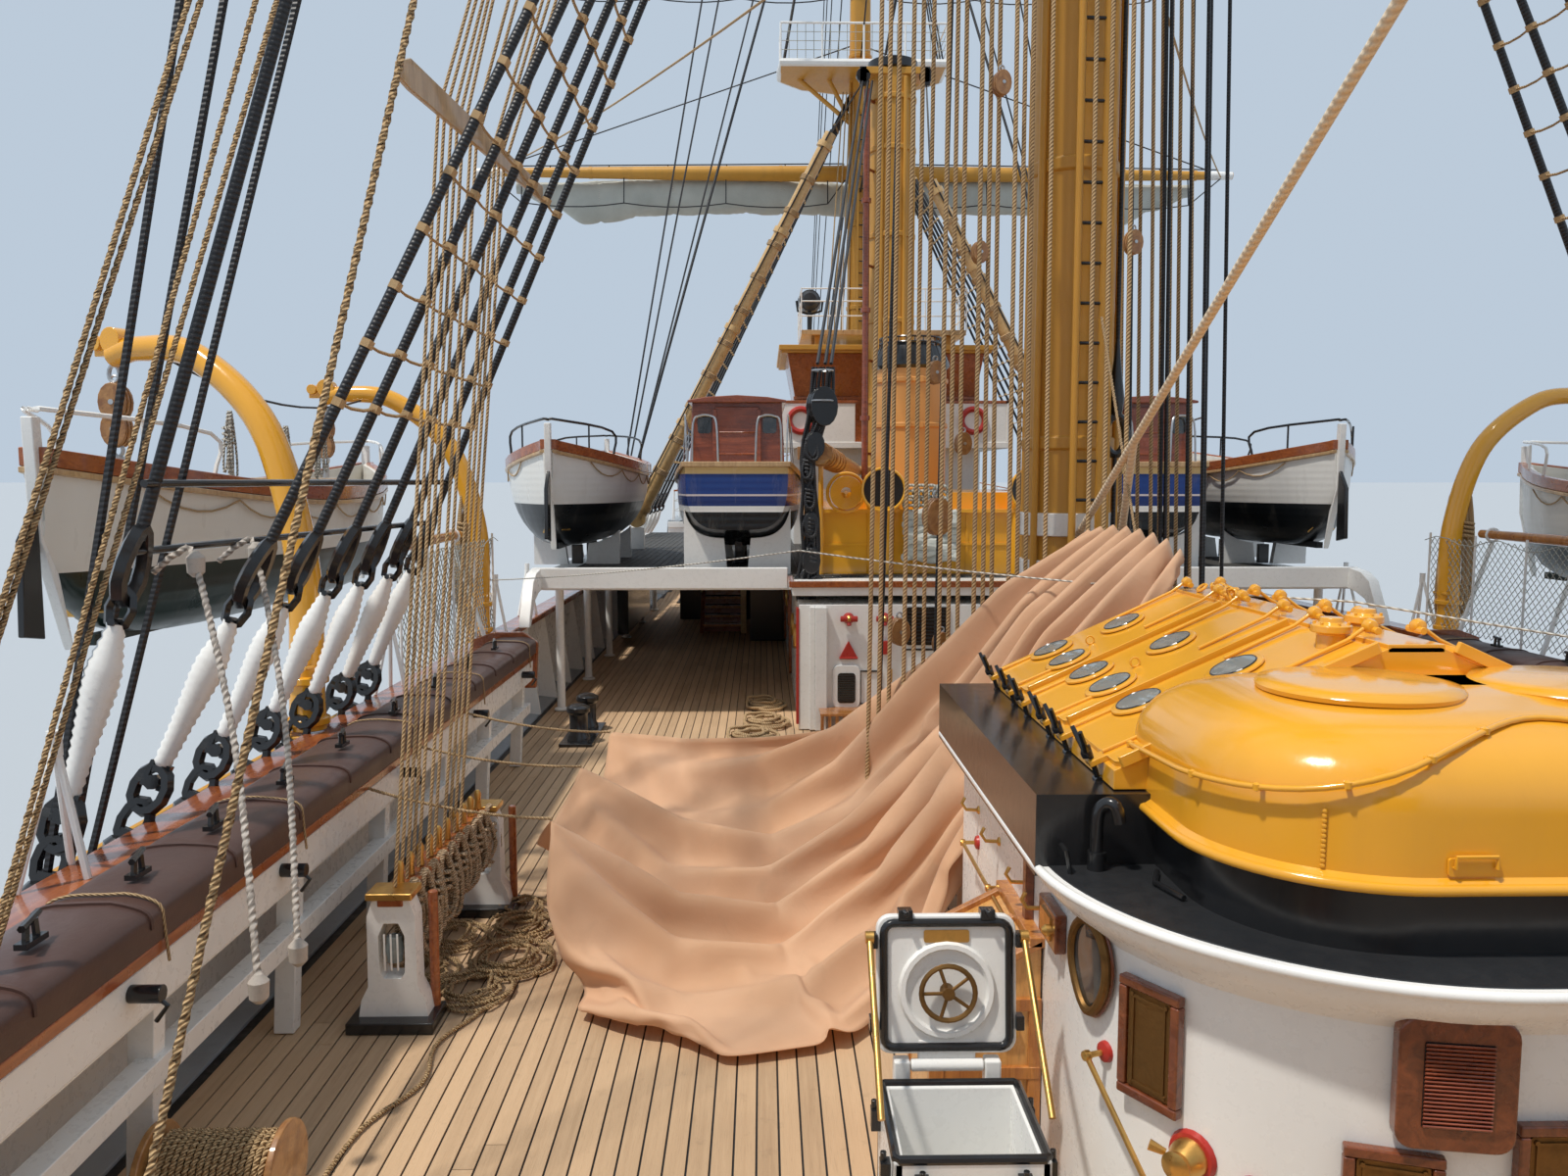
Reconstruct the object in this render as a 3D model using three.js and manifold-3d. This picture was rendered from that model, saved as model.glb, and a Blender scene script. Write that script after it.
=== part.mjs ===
// Full-rigged three-masted training ship, a scale model at 1:10.
// Every size below is a real size of the ship in metres. +X is the bow, +Y is port, +Z is up.
// The origin is amidships on the waterline. Heights called "above deck" start at the main deck.
import * as THREE from 'three';
import { mergeVertices } from 'three/addons/utils/BufferGeometryUtils.js';
import Module from 'manifold-3d';

const wasm = await Module();
wasm.setup();

const MODEL = 100;              // millimetres of model for each metre of ship
const GAP = 0.003;              // running and resting gap, 0.3 mm on the model
const DECK = 4.6;               // height of the main deck amidships above water
const RAISED = 2.2;             // poop and forecastle decks above the main deck
const POOP_FRONT = -17.3;
const FORECASTLE_BREAK = 23.0;
const BOAT_DECK_TOP = DECK + 2.25;
const BOAT_DECK_THICK = 0.32;
const LEAN = 0.06;              // tumblehome of the bulwarks, inward for each metre up

// Hull frames from stern to bow. Between two frames every column follows a smooth curve.
const HULL_COLUMNS = ['x', 'bottom', 'waist', 'beam', 'deck', 'edge', 'fullness'];
const HULL_FRAMES = [
  [-41.6, 4.9, 5.4, 1.5, 5.60, 1.6, 2.0],
  [-40.9, 4.0, 5.2, 3.0, 5.58, 3.1, 2.0],
  [-39.0, 2.7, 4.8, 4.4, 5.50, 4.5, 2.0],
  [-36.5, 1.5, 4.0, 5.4, 5.35, 5.5, 1.8],
  [-34.0, 0.2, 2.6, 6.0, 5.20, 6.0, 1.5],
  [-31.0, -2.2, 1.2, 6.5, 5.02, 6.4, 1.15],
  [-28.0, -4.9, 0.7, 6.9, 4.90, 6.65, 1.15],
  [-24.0, -6.7, 0.5, 7.3, 4.75, 6.85, 1.4],
  [-17.0, -7.0, 0.5, 7.6, 4.60, 6.95, 2.1],
  [-6.0, -7.0, 0.5, 7.75, 4.60, 6.98, 2.7],
  [8.0, -7.0, 0.5, 7.75, 4.60, 6.95, 2.7],
  [18.0, -7.0, 0.5, 7.4, 4.60, 6.75, 2.0],
  [26.0, -7.0, 0.6, 6.2, 4.95, 6.0, 1.4],
  [32.0, -6.8, 1.0, 4.5, 5.45, 4.8, 1.1],
  [36.0, -5.4, 2.0, 3.0, 5.85, 3.6, 1.0],
  [38.8, -2.4, 3.4, 1.9, 6.20, 2.6, 0.95],
  [40.6, 0.8, 4.6, 1.2, 6.45, 1.8, 0.95],
  [42.0, 4.4, 6.0, 0.6, 6.70, 0.9, 1.0],
  [42.6, 6.3, 6.6, 0.3, 6.82, 0.35, 1.0],
];
const KEEL_HALF = 0.2;
const HULL_STEP = 5.0;          // longest distance between two sections of the solid
const SIDE_POINTS = 5;          // points of a section below its widest line

const KEEL_UNDERSIDE = -7.1;
const STERN_POST_X = -33.22;    // aft face of the sternpost
const RUDDER_AXIS_X = -33.4;
const SHAFT_Z = -4.9;
const PROPELLER_RADIUS = 1.4;

// Masts. Each row: name, place, foot, top platform, crosstrees, truck, lower and upper radius.
const MASTS = [
  { name: 'fore', x: 18.7, foot: DECK + 0.035, top: 20.5, trees: 33.0, truck: 50.0, radius: 0.40 },
  { name: 'main', x: -6.0, foot: DECK, top: 22.4, trees: 36.0, truck: 54.0, radius: 0.43 },
  { name: 'mizzen', x: -25.5, foot: 7.02, top: 19.0, trees: 29.0, truck: 43.0, radius: 0.36 },
];
const YARD_AHEAD = 1.15;        // yard's turning axis ahead of the mast's middle
const YARD_PAD = 0.05;
const YARDS = [
  // mast, name, height, half length, radius at the middle
  ['fore', 'course', 17.9, 11.8, 0.25],
  ['fore', 'lower_topsail', 24.0, 10.2, 0.22],
  ['fore', 'upper_topsail', 27.8, 9.3, 0.20],
  ['fore', 'topgallant', 34.6, 7.4, 0.17],
  ['fore', 'royal', 40.4, 5.8, 0.13],
  ['main', 'course', 19.5, 12.6, 0.26],
  ['main', 'lower_topsail', 26.0, 11.0, 0.23],
  ['main', 'upper_topsail', 30.0, 10.0, 0.21],
  ['main', 'topgallant', 37.6, 7.9, 0.17],
  ['main', 'royal', 43.8, 6.2, 0.13],
  ['mizzen', 'crossjack', 16.4, 9.0, 0.21],
  ['mizzen', 'lower_topsail', 21.6, 7.8, 0.18],
  ['mizzen', 'upper_topsail', 24.9, 7.0, 0.16],
  ['mizzen', 'topgallant', 30.4, 5.6, 0.13],
  ['mizzen', 'royal', 35.2, 4.5, 0.11],
];
const HANGING_SAILS = ['fore_course', 'main_course'];

const material = (colour, roughness, metalness = 0) =>
  new THREE.MeshStandardMaterial({ color: colour, roughness, metalness });
const WHITE = material(0xf2f1ea, 0.35);
const HULL_PAINT = material(0xf4f3ee, 0.4);
const OCHRE = material(0xc98a1e, 0.4);
const YELLOW = material(0xe0a019, 0.3);
const SAILCLOTH = material(0xa9aa9c, 0.9);
const AWNING_CLOTH = material(0xd9a273, 0.9);
const BROWN_CLOTH = material(0x4a2f2a, 0.8);
const BRONZE = material(0xa87b3c, 0.35, 1);
const BLACK_WIRE = material(0x1a1a1c, 0.6);
const HEMP = material(0xb99a68, 0.9);
const NAVY = material(0x1d2f66, 0.3);

const ship = new THREE.Group();

// Places a part: its shape is drawn in metres around the point "at".
function node(name, shape, finish, at = [0, 0, 0]) {
  shape.scale(MODEL, MODEL, MODEL);
  const mesh = new THREE.Mesh(shape, finish);
  mesh.name = name;
  mesh.position.set(at[0] * MODEL, at[1] * MODEL, at[2] * MODEL);
  ship.add(mesh);
  return mesh;
}

// Shapes

function bare(shape) {
  const copy = shape.clone();
  copy.deleteAttribute('normal');
  copy.deleteAttribute('uv');
  return mergeVertices(copy, 1e-5);
}

function toSolid(shape) {
  const closed = bare(shape);
  const vertProperties = new Float32Array(closed.attributes.position.array);
  const triVerts = new Uint32Array(closed.index.array);
  return new wasm.Manifold(new wasm.Mesh({ numProp: 3, vertProperties, triVerts }));
}

function fromSolid(solid) {
  const mesh = solid.getMesh();
  const shape = new THREE.BufferGeometry();
  shape.setAttribute('position', new THREE.BufferAttribute(new Float32Array(mesh.vertProperties), 3));
  shape.setIndex(new THREE.BufferAttribute(new Uint32Array(mesh.triVerts), 1));
  return shape;
}

function join(shapes) {
  return fromSolid(shapes.map(toSolid).reduce((sum, next) => sum.add(next)));
}

function cut(shape, tools) {
  return fromSolid(tools.map(toSolid).reduce((rest, tool) => rest.subtract(tool), toSolid(shape)));
}

function volumeOf(points, faces) {
  let sum = 0;
  for (const [a, b, c] of faces) {
    const cross = new THREE.Vector3().crossVectors(points[b], points[c]);
    sum += points[a].dot(cross);
  }
  return sum;
}

// A closed skin over rings of equally many points, with a flat cap on the first and the last ring.
function loft(rings) {
  const count = rings[0].length;
  const points = rings.flat().map((p) => new THREE.Vector3(...p));
  const faces = [];
  for (let i = 0; i + 1 < rings.length; i += 1) {
    for (let j = 0; j < count; j += 1) {
      const next = (j + 1) % count;
      const a = i * count + j;
      const b = i * count + next;
      faces.push([a, b, b + count], [a, b + count, a + count]);
    }
  }
  for (const [ring, start, turned] of [[rings[0], 0, true], [rings.at(-1), points.length - count, false]]) {
    for (const [a, b, c] of capFaces(ring)) {
      faces.push(turned ? [start + a, start + c, start + b] : [start + a, start + b, start + c]);
    }
  }
  const outward = volumeOf(points, faces) > 0;
  const shape = new THREE.BufferGeometry().setFromPoints(points);
  shape.setIndex(faces.flatMap(([a, b, c]) => (outward ? [a, b, c] : [a, c, b])));
  return shape;
}

// Triangles over a flat ring, turned the same way round as the ring runs.
function capFaces(ring) {
  const normal = new THREE.Vector3();
  ring.forEach((p, i) => {
    const q = ring[(i + 1) % ring.length];
    normal.x += (p[1] - q[1]) * (p[2] + q[2]);
    normal.y += (p[2] - q[2]) * (p[0] + q[0]);
    normal.z += (p[0] - q[0]) * (p[1] + q[1]);
  });
  const size = [Math.abs(normal.x), Math.abs(normal.y), Math.abs(normal.z)];
  const drop = size.indexOf(Math.max(...size));
  const [u, v] = [[1, 2], [2, 0], [0, 1]][drop];
  const flat = ring.map((p) => new THREE.Vector2(p[u], p[v]));
  const order = flat.map((_, i) => i);
  const area = THREE.ShapeUtils.area(flat);
  if (area < 0) {
    flat.reverse();
    order.reverse();
  }
  const faces = THREE.ShapeUtils.triangulateShape(flat, []).map((f) => f.map((i) => order[i]));
  return area > 0 ? faces : faces.map(([a, b, c]) => [a, c, b]);
}

function block(x0, x1, y0, y1, z0, z1) {
  const shape = new THREE.BoxGeometry(x1 - x0, y1 - y0, z1 - z0);
  shape.translate((x0 + x1) / 2, (y0 + y1) / 2, (z0 + z1) / 2);
  return shape;
}

// A round bar from one point to another, with its own radius at each end.
function bar(from, to, startRadius, endRadius = startRadius, sides = 12) {
  const a = new THREE.Vector3(...from);
  const b = new THREE.Vector3(...to);
  const shape = new THREE.CylinderGeometry(endRadius, startRadius, a.distanceTo(b), sides, 1);
  const turn = new THREE.Quaternion().setFromUnitVectors(new THREE.Vector3(0, 1, 0),
    b.clone().sub(a).normalize());
  shape.applyQuaternion(turn);
  const middle = a.add(b).multiplyScalar(0.5);
  shape.translate(middle.x, middle.y, middle.z);
  return shape;
}

// A body turned round a vertical axis. The profile is a list of [radius, height] from the axis to it.
function turned(profile, x, y, sides = 20) {
  const shape = new THREE.LatheGeometry(profile.map(([r, z]) => new THREE.Vector2(r, z)), sides);
  shape.rotateX(Math.PI / 2);
  shape.translate(x, y, 0);
  return shape;
}

function tube(points, radius, sides, steps) {
  const path = new THREE.CatmullRomCurve3(points.map((p) => new THREE.Vector3(...p)));
  const section = new THREE.Shape();
  for (let i = 0; i < sides; i += 1) {
    const a = (2 * Math.PI * i) / sides;
    const place = [radius * Math.cos(a), radius * Math.sin(a)];
    if (i === 0) section.moveTo(...place);
    else section.lineTo(...place);
  }
  section.closePath();
  return new THREE.ExtrudeGeometry(section, { steps, extrudePath: path, bevelEnabled: false });
}

// A plate: an outline of [x, y] points between two heights.
function plate(outline, z0, z1) {
  return loft([outline.map(([x, y]) => [x, y, z0]), outline.map(([x, y]) => [x, y, z1])]);
}

// A plate standing fore and aft: an outline of [x, z] points between two sides.
function fin(outline, y0, y1) {
  return loft([outline.map(([x, z]) => [x, y0, z]), outline.map(([x, z]) => [x, y1, z])]);
}

// Mirrors a shape from port to starboard and turns its faces out again.
function mirrored(shape) {
  const copy = bare(shape);
  copy.scale(1, -1, 1);
  const index = copy.index.array;
  for (let i = 0; i < index.length; i += 3) {
    [index[i + 1], index[i + 2]] = [index[i + 2], index[i + 1]];
  }
  return copy;
}

// Hull form

// Slope of a curve through three points, level where it would otherwise overshoot.
function slope(a, b, c) {
  const before = (b[1] - a[1]) / (b[0] - a[0] || 1);
  const after = (c[1] - b[1]) / (c[0] - b[0] || 1);
  return before * after <= 0 ? 0 : (2 * before * after) / (before + after);
}

function smooth(before, from, to, after, t) {
  const m0 = slope(before, from, to);
  const m1 = slope(from, to, after);
  const span = to[0] - from[0];
  const t2 = t * t;
  const t3 = t2 * t;
  return (2 * t3 - 3 * t2 + 1) * from[1] + (t3 - 2 * t2 + t) * span * m0
    + (3 * t2 - 2 * t3) * to[1] + (t3 - t2) * span * m1;
}

function frameAt(x) {
  const last = HULL_FRAMES.length - 1;
  let i = 0;
  while (i < last - 1 && HULL_FRAMES[i + 1][0] < x) i += 1;
  const rows = [Math.max(i - 1, 0), i, i + 1, Math.min(i + 2, last)].map((k) => HULL_FRAMES[k]);
  const t = (x - rows[1][0]) / (rows[2][0] - rows[1][0]);
  const frame = {};
  HULL_COLUMNS.forEach((name, column) => {
    const points = rows.map((row) => [row[0], row[column]]);
    frame[name] = smooth(...points, t);
  });
  frame.x = x;
  return frame;
}

function hullRing(x) {
  const f = frameAt(x);
  const port = [];
  for (let i = 0; i <= SIDE_POINTS; i += 1) {
    const a = (Math.PI / 2) * (i / SIDE_POINTS);
    const power = 2 / f.fullness;
    const y = KEEL_HALF + (f.beam - KEEL_HALF) * Math.sin(a) ** power;
    port.push([x, y, f.waist - (f.waist - f.bottom) * Math.cos(a) ** power]);
  }
  for (const s of [0.5, 1]) {
    port.push([x, f.beam + (f.edge - f.beam) * s ** 1.5, f.waist + (f.deck - f.waist) * s]);
  }
  return [...port, ...port.map(([px, py, pz]) => [px, -py, pz]).reverse()];
}

// Evenly spaced places between two ends, no further apart than the step.
function places(from, to, step) {
  const count = Math.ceil((to - from) / step - 1e-6);
  return Array.from({ length: count + 1 }, (_, i) => from + ((to - from) * i) / count);
}

// Sections shared by the hull and everything that follows its side, between two places.
function sections(from, to) {
  const xs = [...HULL_FRAMES.map((row) => row[0]), POOP_FRONT, FORECASTLE_BREAK].sort((a, b) => a - b);
  const all = xs.slice(1).flatMap((x, i) => places(xs[i], x, HULL_STEP).slice(i === 0 ? 0 : 1));
  return [from, ...all.filter((x) => x > from + 0.01 && x < to - 0.01), to];
}

// A point on the ship's side: distance in from the outer plating and height above the main deck.
function sidePoint(x, inset, height) {
  const f = frameAt(x);
  return [x, f.edge - LEAN * height - inset, f.deck + height];
}

// A strip along the port side with one section of [inset, height] points.
function sideStrip(x0, x1, section) {
  return loft(sections(x0, x1).map((x) => section.map(([inset, h]) => sidePoint(x, inset, h))));
}

// A raised deck: a full-width block on the main deck between two places.
function raisedDeck(x0, x1) {
  return loft(sections(x0, x1).map((x) => {
    const [, low] = sidePoint(x, 0, GAP);
    const [, high, top] = sidePoint(x, 0, RAISED);
    const bottom = frameAt(x).deck + GAP;
    return [[x, low, bottom], [x, high, top], [x, -high, top], [x, -low, bottom]];
  }));
}

function makeHull() {
  const sternFrame = fin([[-24, KEEL_UNDERSIDE], [STERN_POST_X, KEEL_UNDERSIDE], [STERN_POST_X, 0.2], [-24, 0.2]],
    -KEEL_HALF, KEEL_HALF);
  const aperture = fin([[-32.86, -6.55], [-31.1, -6.55], [-31.1, -3.3], [-32.86, -3.1]], -1, 1);
  const boss = bar([-31.1, 0, SHAFT_Z], [-25.5, 0, SHAFT_Z], 0.34, 0.5, 16);
  const keel = block(-25, 33.5, -KEEL_HALF, KEEL_HALF, KEEL_UNDERSIDE, -6.7);
  const body = loft(sections(HULL_FRAMES[0][0], HULL_FRAMES.at(-1)[0]).map(hullRing));
  node('hull', join([body, cut(sternFrame, [aperture]), boss, keel]), HULL_PAINT);
}

const MIZZEN_CHANNEL = [-31.6, -25.6];
const CHANNELS = [[-11.9, -5.4], [12.8, 19.4]];

function channel(x0, x1, low, high) {
  return sideStrip(x0, x1, [[0.04, low], [-0.42, low + 0.04], [-0.42, high], [0.04, high]]);
}

function makePoop() {
  const shelf = channel(...MIZZEN_CHANNEL, RAISED - 0.3, RAISED - 0.2);
  const deck = raisedDeck(-41.6, POOP_FRONT);
  const top = frameAt(-21).deck + RAISED;
  const chartHouse = block(-23.6, -19.6, -1.8, 1.8, top - 0.3, top + 2.15);
  const companion = block(-31.4, -28.6, -1.1, 1.1, top - 0.3, top + 1.1);
  const wheelBox = block(-36.4, -35.2, -0.55, 0.55, top - 0.3, top + 1.3);
  node('poop', join([deck, shelf, mirrored(shelf), chartHouse, companion, wheelBox]), WHITE);
}

function makeForecastle() {
  const deck = raisedDeck(FORECASTLE_BREAK, 42.6);
  const top = frameAt(31).deck + RAISED;
  const capstan = bar([31, 0, top - 0.3], [31, 0, top + 1.0], 0.5, 0.4, 16);
  const windlassDeck = frameAt(34).deck + RAISED;
  const windlass = block(34.0, 35.0, -1.3, 1.3, windlassDeck - 0.3, windlassDeck + 0.7);
  const anchor = block(35.2, 36.6, 3.2, 4.1, frameAt(36).deck + 0.9, frameAt(36).deck + 1.2);
  node('forecastle', join([deck, capstan, windlass, anchor, mirrored(anchor)]), WHITE);
}

// Bulwarks with their hammock rail, stanchions and channels
const RAIL_COVER = { from: POOP_FRONT + 0.1, to: -1.7, outer: 0.27, inner: 0.885 };

function makeBulwarks() {
  const plating = sideStrip(POOP_FRONT + GAP, FORECASTLE_BREAK - GAP,
    [[0, GAP], [0, 1.5], [0.08, 1.5], [0.08, GAP]]);
  const rail = sideStrip(POOP_FRONT + GAP, FORECASTLE_BREAK - GAP,
    [[-0.1, 1.48], [-0.1, 1.58], [0.25, 1.58], [0.25, 1.48]]);
  const hammockBox = sideStrip(RAIL_COVER.from, RAIL_COVER.to,
    [[0.05, 1.1], [0.05, 1.49], [0.84, 1.47], [0.84, 1.1]]);
  const lowBeam = sideStrip(RAIL_COVER.from, RAIL_COVER.to,
    [[0.70, 0.68], [0.70, 0.80], [0.84, 0.80], [0.84, 0.68]]);
  const posts = places(RAIL_COVER.from + 0.3, RAIL_COVER.to - 0.3, 1.9).map((x) =>
    sideStrip(x - 0.06, x + 0.06, [[0.66, GAP], [0.66, 1.2], [0.80, 1.2], [0.80, GAP]]));
  const shelves = CHANNELS.map(([x0, x1]) => channel(x0, x1, 1.3, 1.42));
  const port = join([plating, rail, hammockBox, lowBeam, ...posts, ...shelves]);
  node('bulwark_starboard', mirrored(port), WHITE);
  node('bulwark_port', port, WHITE);
}

function makeRailCovers() {
  const cover = sideStrip(RAIL_COVER.from, RAIL_COVER.to,
    [[0.27, 1.4885], [0.27, 1.60], [0.42, 1.70], [0.72, 1.70], [0.885, 1.60], [0.885, 1.474]]);
  node('rail_cover_starboard', mirrored(cover), BROWN_CLOTH);
  node('rail_cover_port', cover, BROWN_CLOTH);
}

function makeRudder() {
  const outline = [[0.06, -6.75], [0.06, -1.0], [-0.9, -0.7], [-1.9, -1.6], [-2.3, -4.0], [-2.1, -6.75]];
  const blade = fin(outline, -0.13, 0.13);
  const edge = bar([0, 0, -6.75], [0, 0, -0.4], 0.12, 0.12, 8);
  const pintles = [[-6.3, -5.9], [-3.6, -3.2], [-1.7, -1.3]].map(([low, high]) =>
    bar([0, 0, low], [0, 0, high], 0.177, 0.177, 12));
  node('rudder', join([blade, edge, ...pintles]), HULL_PAINT, [RUDDER_AXIS_X, 0, 0]);
}

function makePropeller() {
  const hub = bar([-0.42, 0, 0], [0.42 - GAP, 0, 0], 0.20, 0.26, 12);
  const nose = bar([-0.65, 0, 0], [-0.42, 0, 0], 0.05, 0.20, 12);
  const blades = [0, 1, 2, 3].map((i) => {
    const width = (r) => 0.42 * Math.sin(Math.PI * (0.12 + 0.78 * r));
    const rings = [0.08, 0.45, 0.8, 1].map((r) => {
      const z = PROPELLER_RADIUS * r;
      const pitch = Math.atan2(0.55, 0.35 + z);
      const half = width(r);
      const along = [Math.sin(pitch) * half, Math.cos(pitch) * half];
      const across = [Math.cos(pitch) * 0.035, -Math.sin(pitch) * 0.035];
      return [[1, 1], [1, -1], [-1, -1], [-1, 1]].map(([a, b]) =>
        [a * along[0] + b * across[0], a * along[1] + b * across[1], z]);
    });
    return loft(rings).rotateX((Math.PI / 2) * i + Math.PI / 4);
  });
  node('propeller', join([hub, nose, ...blades]), BRONZE, [-31.1 - 0.42, 0, SHAFT_Z]);
}

function makeBowsprit() {
  const heel = frameAt(37.1).deck + RAISED;
  const spar = bar([36.4, 0, heel + 0.45], [59.5, 0, 13.9], 0.38, 0.2, 16);
  const bitts = block(36.5, 37.1, -0.45, 0.45, heel + 0.01, heel + 0.6);
  const stemHead = frameAt(42.3).deck + RAISED;
  const gammon = block(41.7, 42.3, -0.25, 0.25, stemHead + 0.01, stemHead + 1.0);
  const striker = bar([51.5, 0, 12.0], [51.7, 0, 8.6], 0.12, 0.08, 10);
  node('bowsprit', join([spar, bitts, gammon, striker]), OCHRE);
}

// Masts with their tops, crosstrees and the cranes that carry the yards

function mastRadius(mast, z) {
  const stops = [[mast.foot, mast.radius], [mast.top, mast.radius * 0.82],
    [mast.trees, mast.radius * 0.5], [mast.truck, mast.radius * 0.2]];
  const i = z < mast.top ? 0 : z < mast.trees ? 1 : 2;
  const [[z0, r0], [z1, r1]] = [stops[i], stops[i + 1]];
  return r0 + ((r1 - r0) * (z - z0)) / (z1 - z0);
}

function topPlatform(mast, halfWidth, z, thick) {
  const w = halfWidth;
  const outline = [[-1.3, -w], [-1.3, w], [0.1, w], [0.8, w * 0.72], [1.15, w * 0.3], [1.15, -w * 0.3],
    [0.8, -w * 0.72], [0.1, -w]];
  return plate(outline.map(([x, y]) => [mast.x + x, y]), z - thick, z);
}

function yardCrane(mast, height, radius) {
  const top = height - radius - YARD_PAD - GAP;
  return block(mast.x, mast.x + YARD_AHEAD + 0.18, -0.13, 0.13, top - 0.22, top);
}

function makeMast(mast) {
  const stops = [mast.foot + GAP, mast.top - 1.6, mast.top + 2.4, mast.trees, mast.truck];
  const profile = [[0, stops[0]], ...stops.map((z) => [mastRadius(mast, z), z]), [0, mast.truck]];
  const pole = turned(profile, mast.x, 0, 12);
  const width = mast.name === 'mizzen' ? 1.9 : 2.4;
  const platform = topPlatform(mast, width, mast.top, 0.2);
  const trees = topPlatform(mast, width * 0.5, mast.trees, 0.1);
  const cranes = YARDS.filter(([owner]) => owner === mast.name).map(([, , height, , radius]) =>
    yardCrane(mast, height, radius));
  node(`${mast.name}_mast`, join([pole, platform, trees, ...cranes]), OCHRE);
}

// A rolled sail along a yard. Rows from the middle out: share of the length, ahead, up, depths.
function sailRoll(half, rows, sides) {
  const ring = ([share, ahead, up, deep, high], side) => Array.from({ length: sides }, (_, i) => {
    const a = (2 * Math.PI * i) / sides;
    return [ahead + deep * Math.cos(a), side * share * half, up + high * Math.sin(a)];
  });
  const port = rows.map((row) => ring(row, 1));
  const starboard = rows.slice(1).reverse().map((row) => ring(row, -1));
  return loft([...starboard, ...port]);
}

const FULL_YARD_RADIUS = 0.25;   // yard that the rolls' sizes below belong to
const HARBOUR_ROLL = [
  [0, 0.22, 0.30, 0.30, 0.30], [0.45, 0.18, 0.22, 0.25, 0.23], [0.9, 0.10, 0.11, 0.11, 0.11],
];
const HANGING_ROLL = [
  [0, 0.76, -0.62, 0.34, 0.52], [0.1, 0.52, -0.60, 0.34, 0.54], [0.25, 0.41, -0.57, 0.34, 0.58],
  [0.5, 0.40, -0.60, 0.34, 0.58], [0.72, 0.40, -0.80, 0.32, 0.66], [0.80, 0.38, -0.60, 0.26, 0.42],
  [0.9, 0.34, -0.38, 0.14, 0.2],
];

function makeYard([owner, name, height, half, radius]) {
  const mast = MASTS.find((m) => m.name === owner);
  const place = [mast.x + YARD_AHEAD, 0, height];
  const inner = [[0, radius], [0.45, radius * 0.86], [1, radius * 0.45]];
  const rings = [...inner.slice(1).reverse().map(([s, r]) => [-s, r]), ...inner].map(([s, r]) =>
    Array.from({ length: 8 }, (_, i) => {
      const a = (2 * Math.PI * i) / 8;
      return [r * Math.cos(a), s * half, r * Math.sin(a)];
    }));
  const pad = bar([0, 0, -radius - YARD_PAD], [0, 0, 0], 0.17, 0.17, 8);
  const shapes = [loft(rings), pad];
  const title = `${owner}_${name}`;
  const scale = radius / FULL_YARD_RADIUS;
  if (HANGING_SAILS.includes(title)) {
    const shift = (radius - FULL_YARD_RADIUS) / 2;
    const roll = sailRoll(half, HANGING_ROLL.map(([s, a, u, d, h]) => [s, a + shift, u, d, h]), 8);
    node(`${title}_sail`, roll, SAILCLOTH, place);
  } else if (name !== 'crossjack') {
    const rows = HARBOUR_ROLL.map(([s, ...sizes]) => [s, ...sizes.map((size) => size * scale)]);
    shapes.push(sailRoll(half, rows, 6));
  }
  node(`${title}_yard`, join(shapes), OCHRE, place);
}

// Spanker gear on the mizzen mast
const SPANKER = { boomZ: 9.6, boomLength: 12.6, gaffZ: 16.0, gaffReach: 7.0, gaffRise: 4.6 };

function makeSpanker() {
  const mast = MASTS[2];
  const step = (z) => mast.x - mastRadius(mast, z);
  const boomX = step(SPANKER.boomZ) - 0.22;
  const eye = (z) => bar([0, 0, z - 0.2], [0, 0, z + 0.2], 0.16, 0.16, 14);
  const boom = bar([0.03, 0, 0], [-SPANKER.boomLength, 0, 0.7], 0.17, 0.12, 12);
  node('spanker_boom', join([boom, eye(0)]), OCHRE, [boomX + 0.22 - 0.16 - GAP, 0, SPANKER.boomZ]);
  const gaff = bar([0.03, 0, 0], [-SPANKER.gaffReach, 0, SPANKER.gaffRise], 0.15, 0.09, 12);
  node('spanker_gaff', join([gaff, eye(0)]), OCHRE, [step(SPANKER.gaffZ) - 0.16 - GAP, 0, SPANKER.gaffZ]);
  const sail = (z0, z1) => {
    const rows = [[z0, 0.12], [z0 + 0.8, 0.24], [z1 - 1, 0.2], [z1, 0.1]];
    return loft(rows.map(([z, r]) => Array.from({ length: 10 }, (_, i) => {
      const a = (2 * Math.PI * i) / 10;
      return [step(z) - r - GAP * 2 + r * Math.cos(a), r * Math.sin(a), z];
    })));
  };
  node('spanker_sail', sail(SPANKER.boomZ + 1.2, SPANKER.gaffZ - 0.9), SAILCLOTH);
}

// Main stays, one straight wire each: its upper and lower ends
const STAY = { radius: 0.03, foreTop: 20.1, foreFoot: [46.3, 11.25], mainTop: 22.0, mainFoot: 17.0,
  mizzenTop: 17.4, mizzenFoot: [-0.28, 7.6] };

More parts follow.
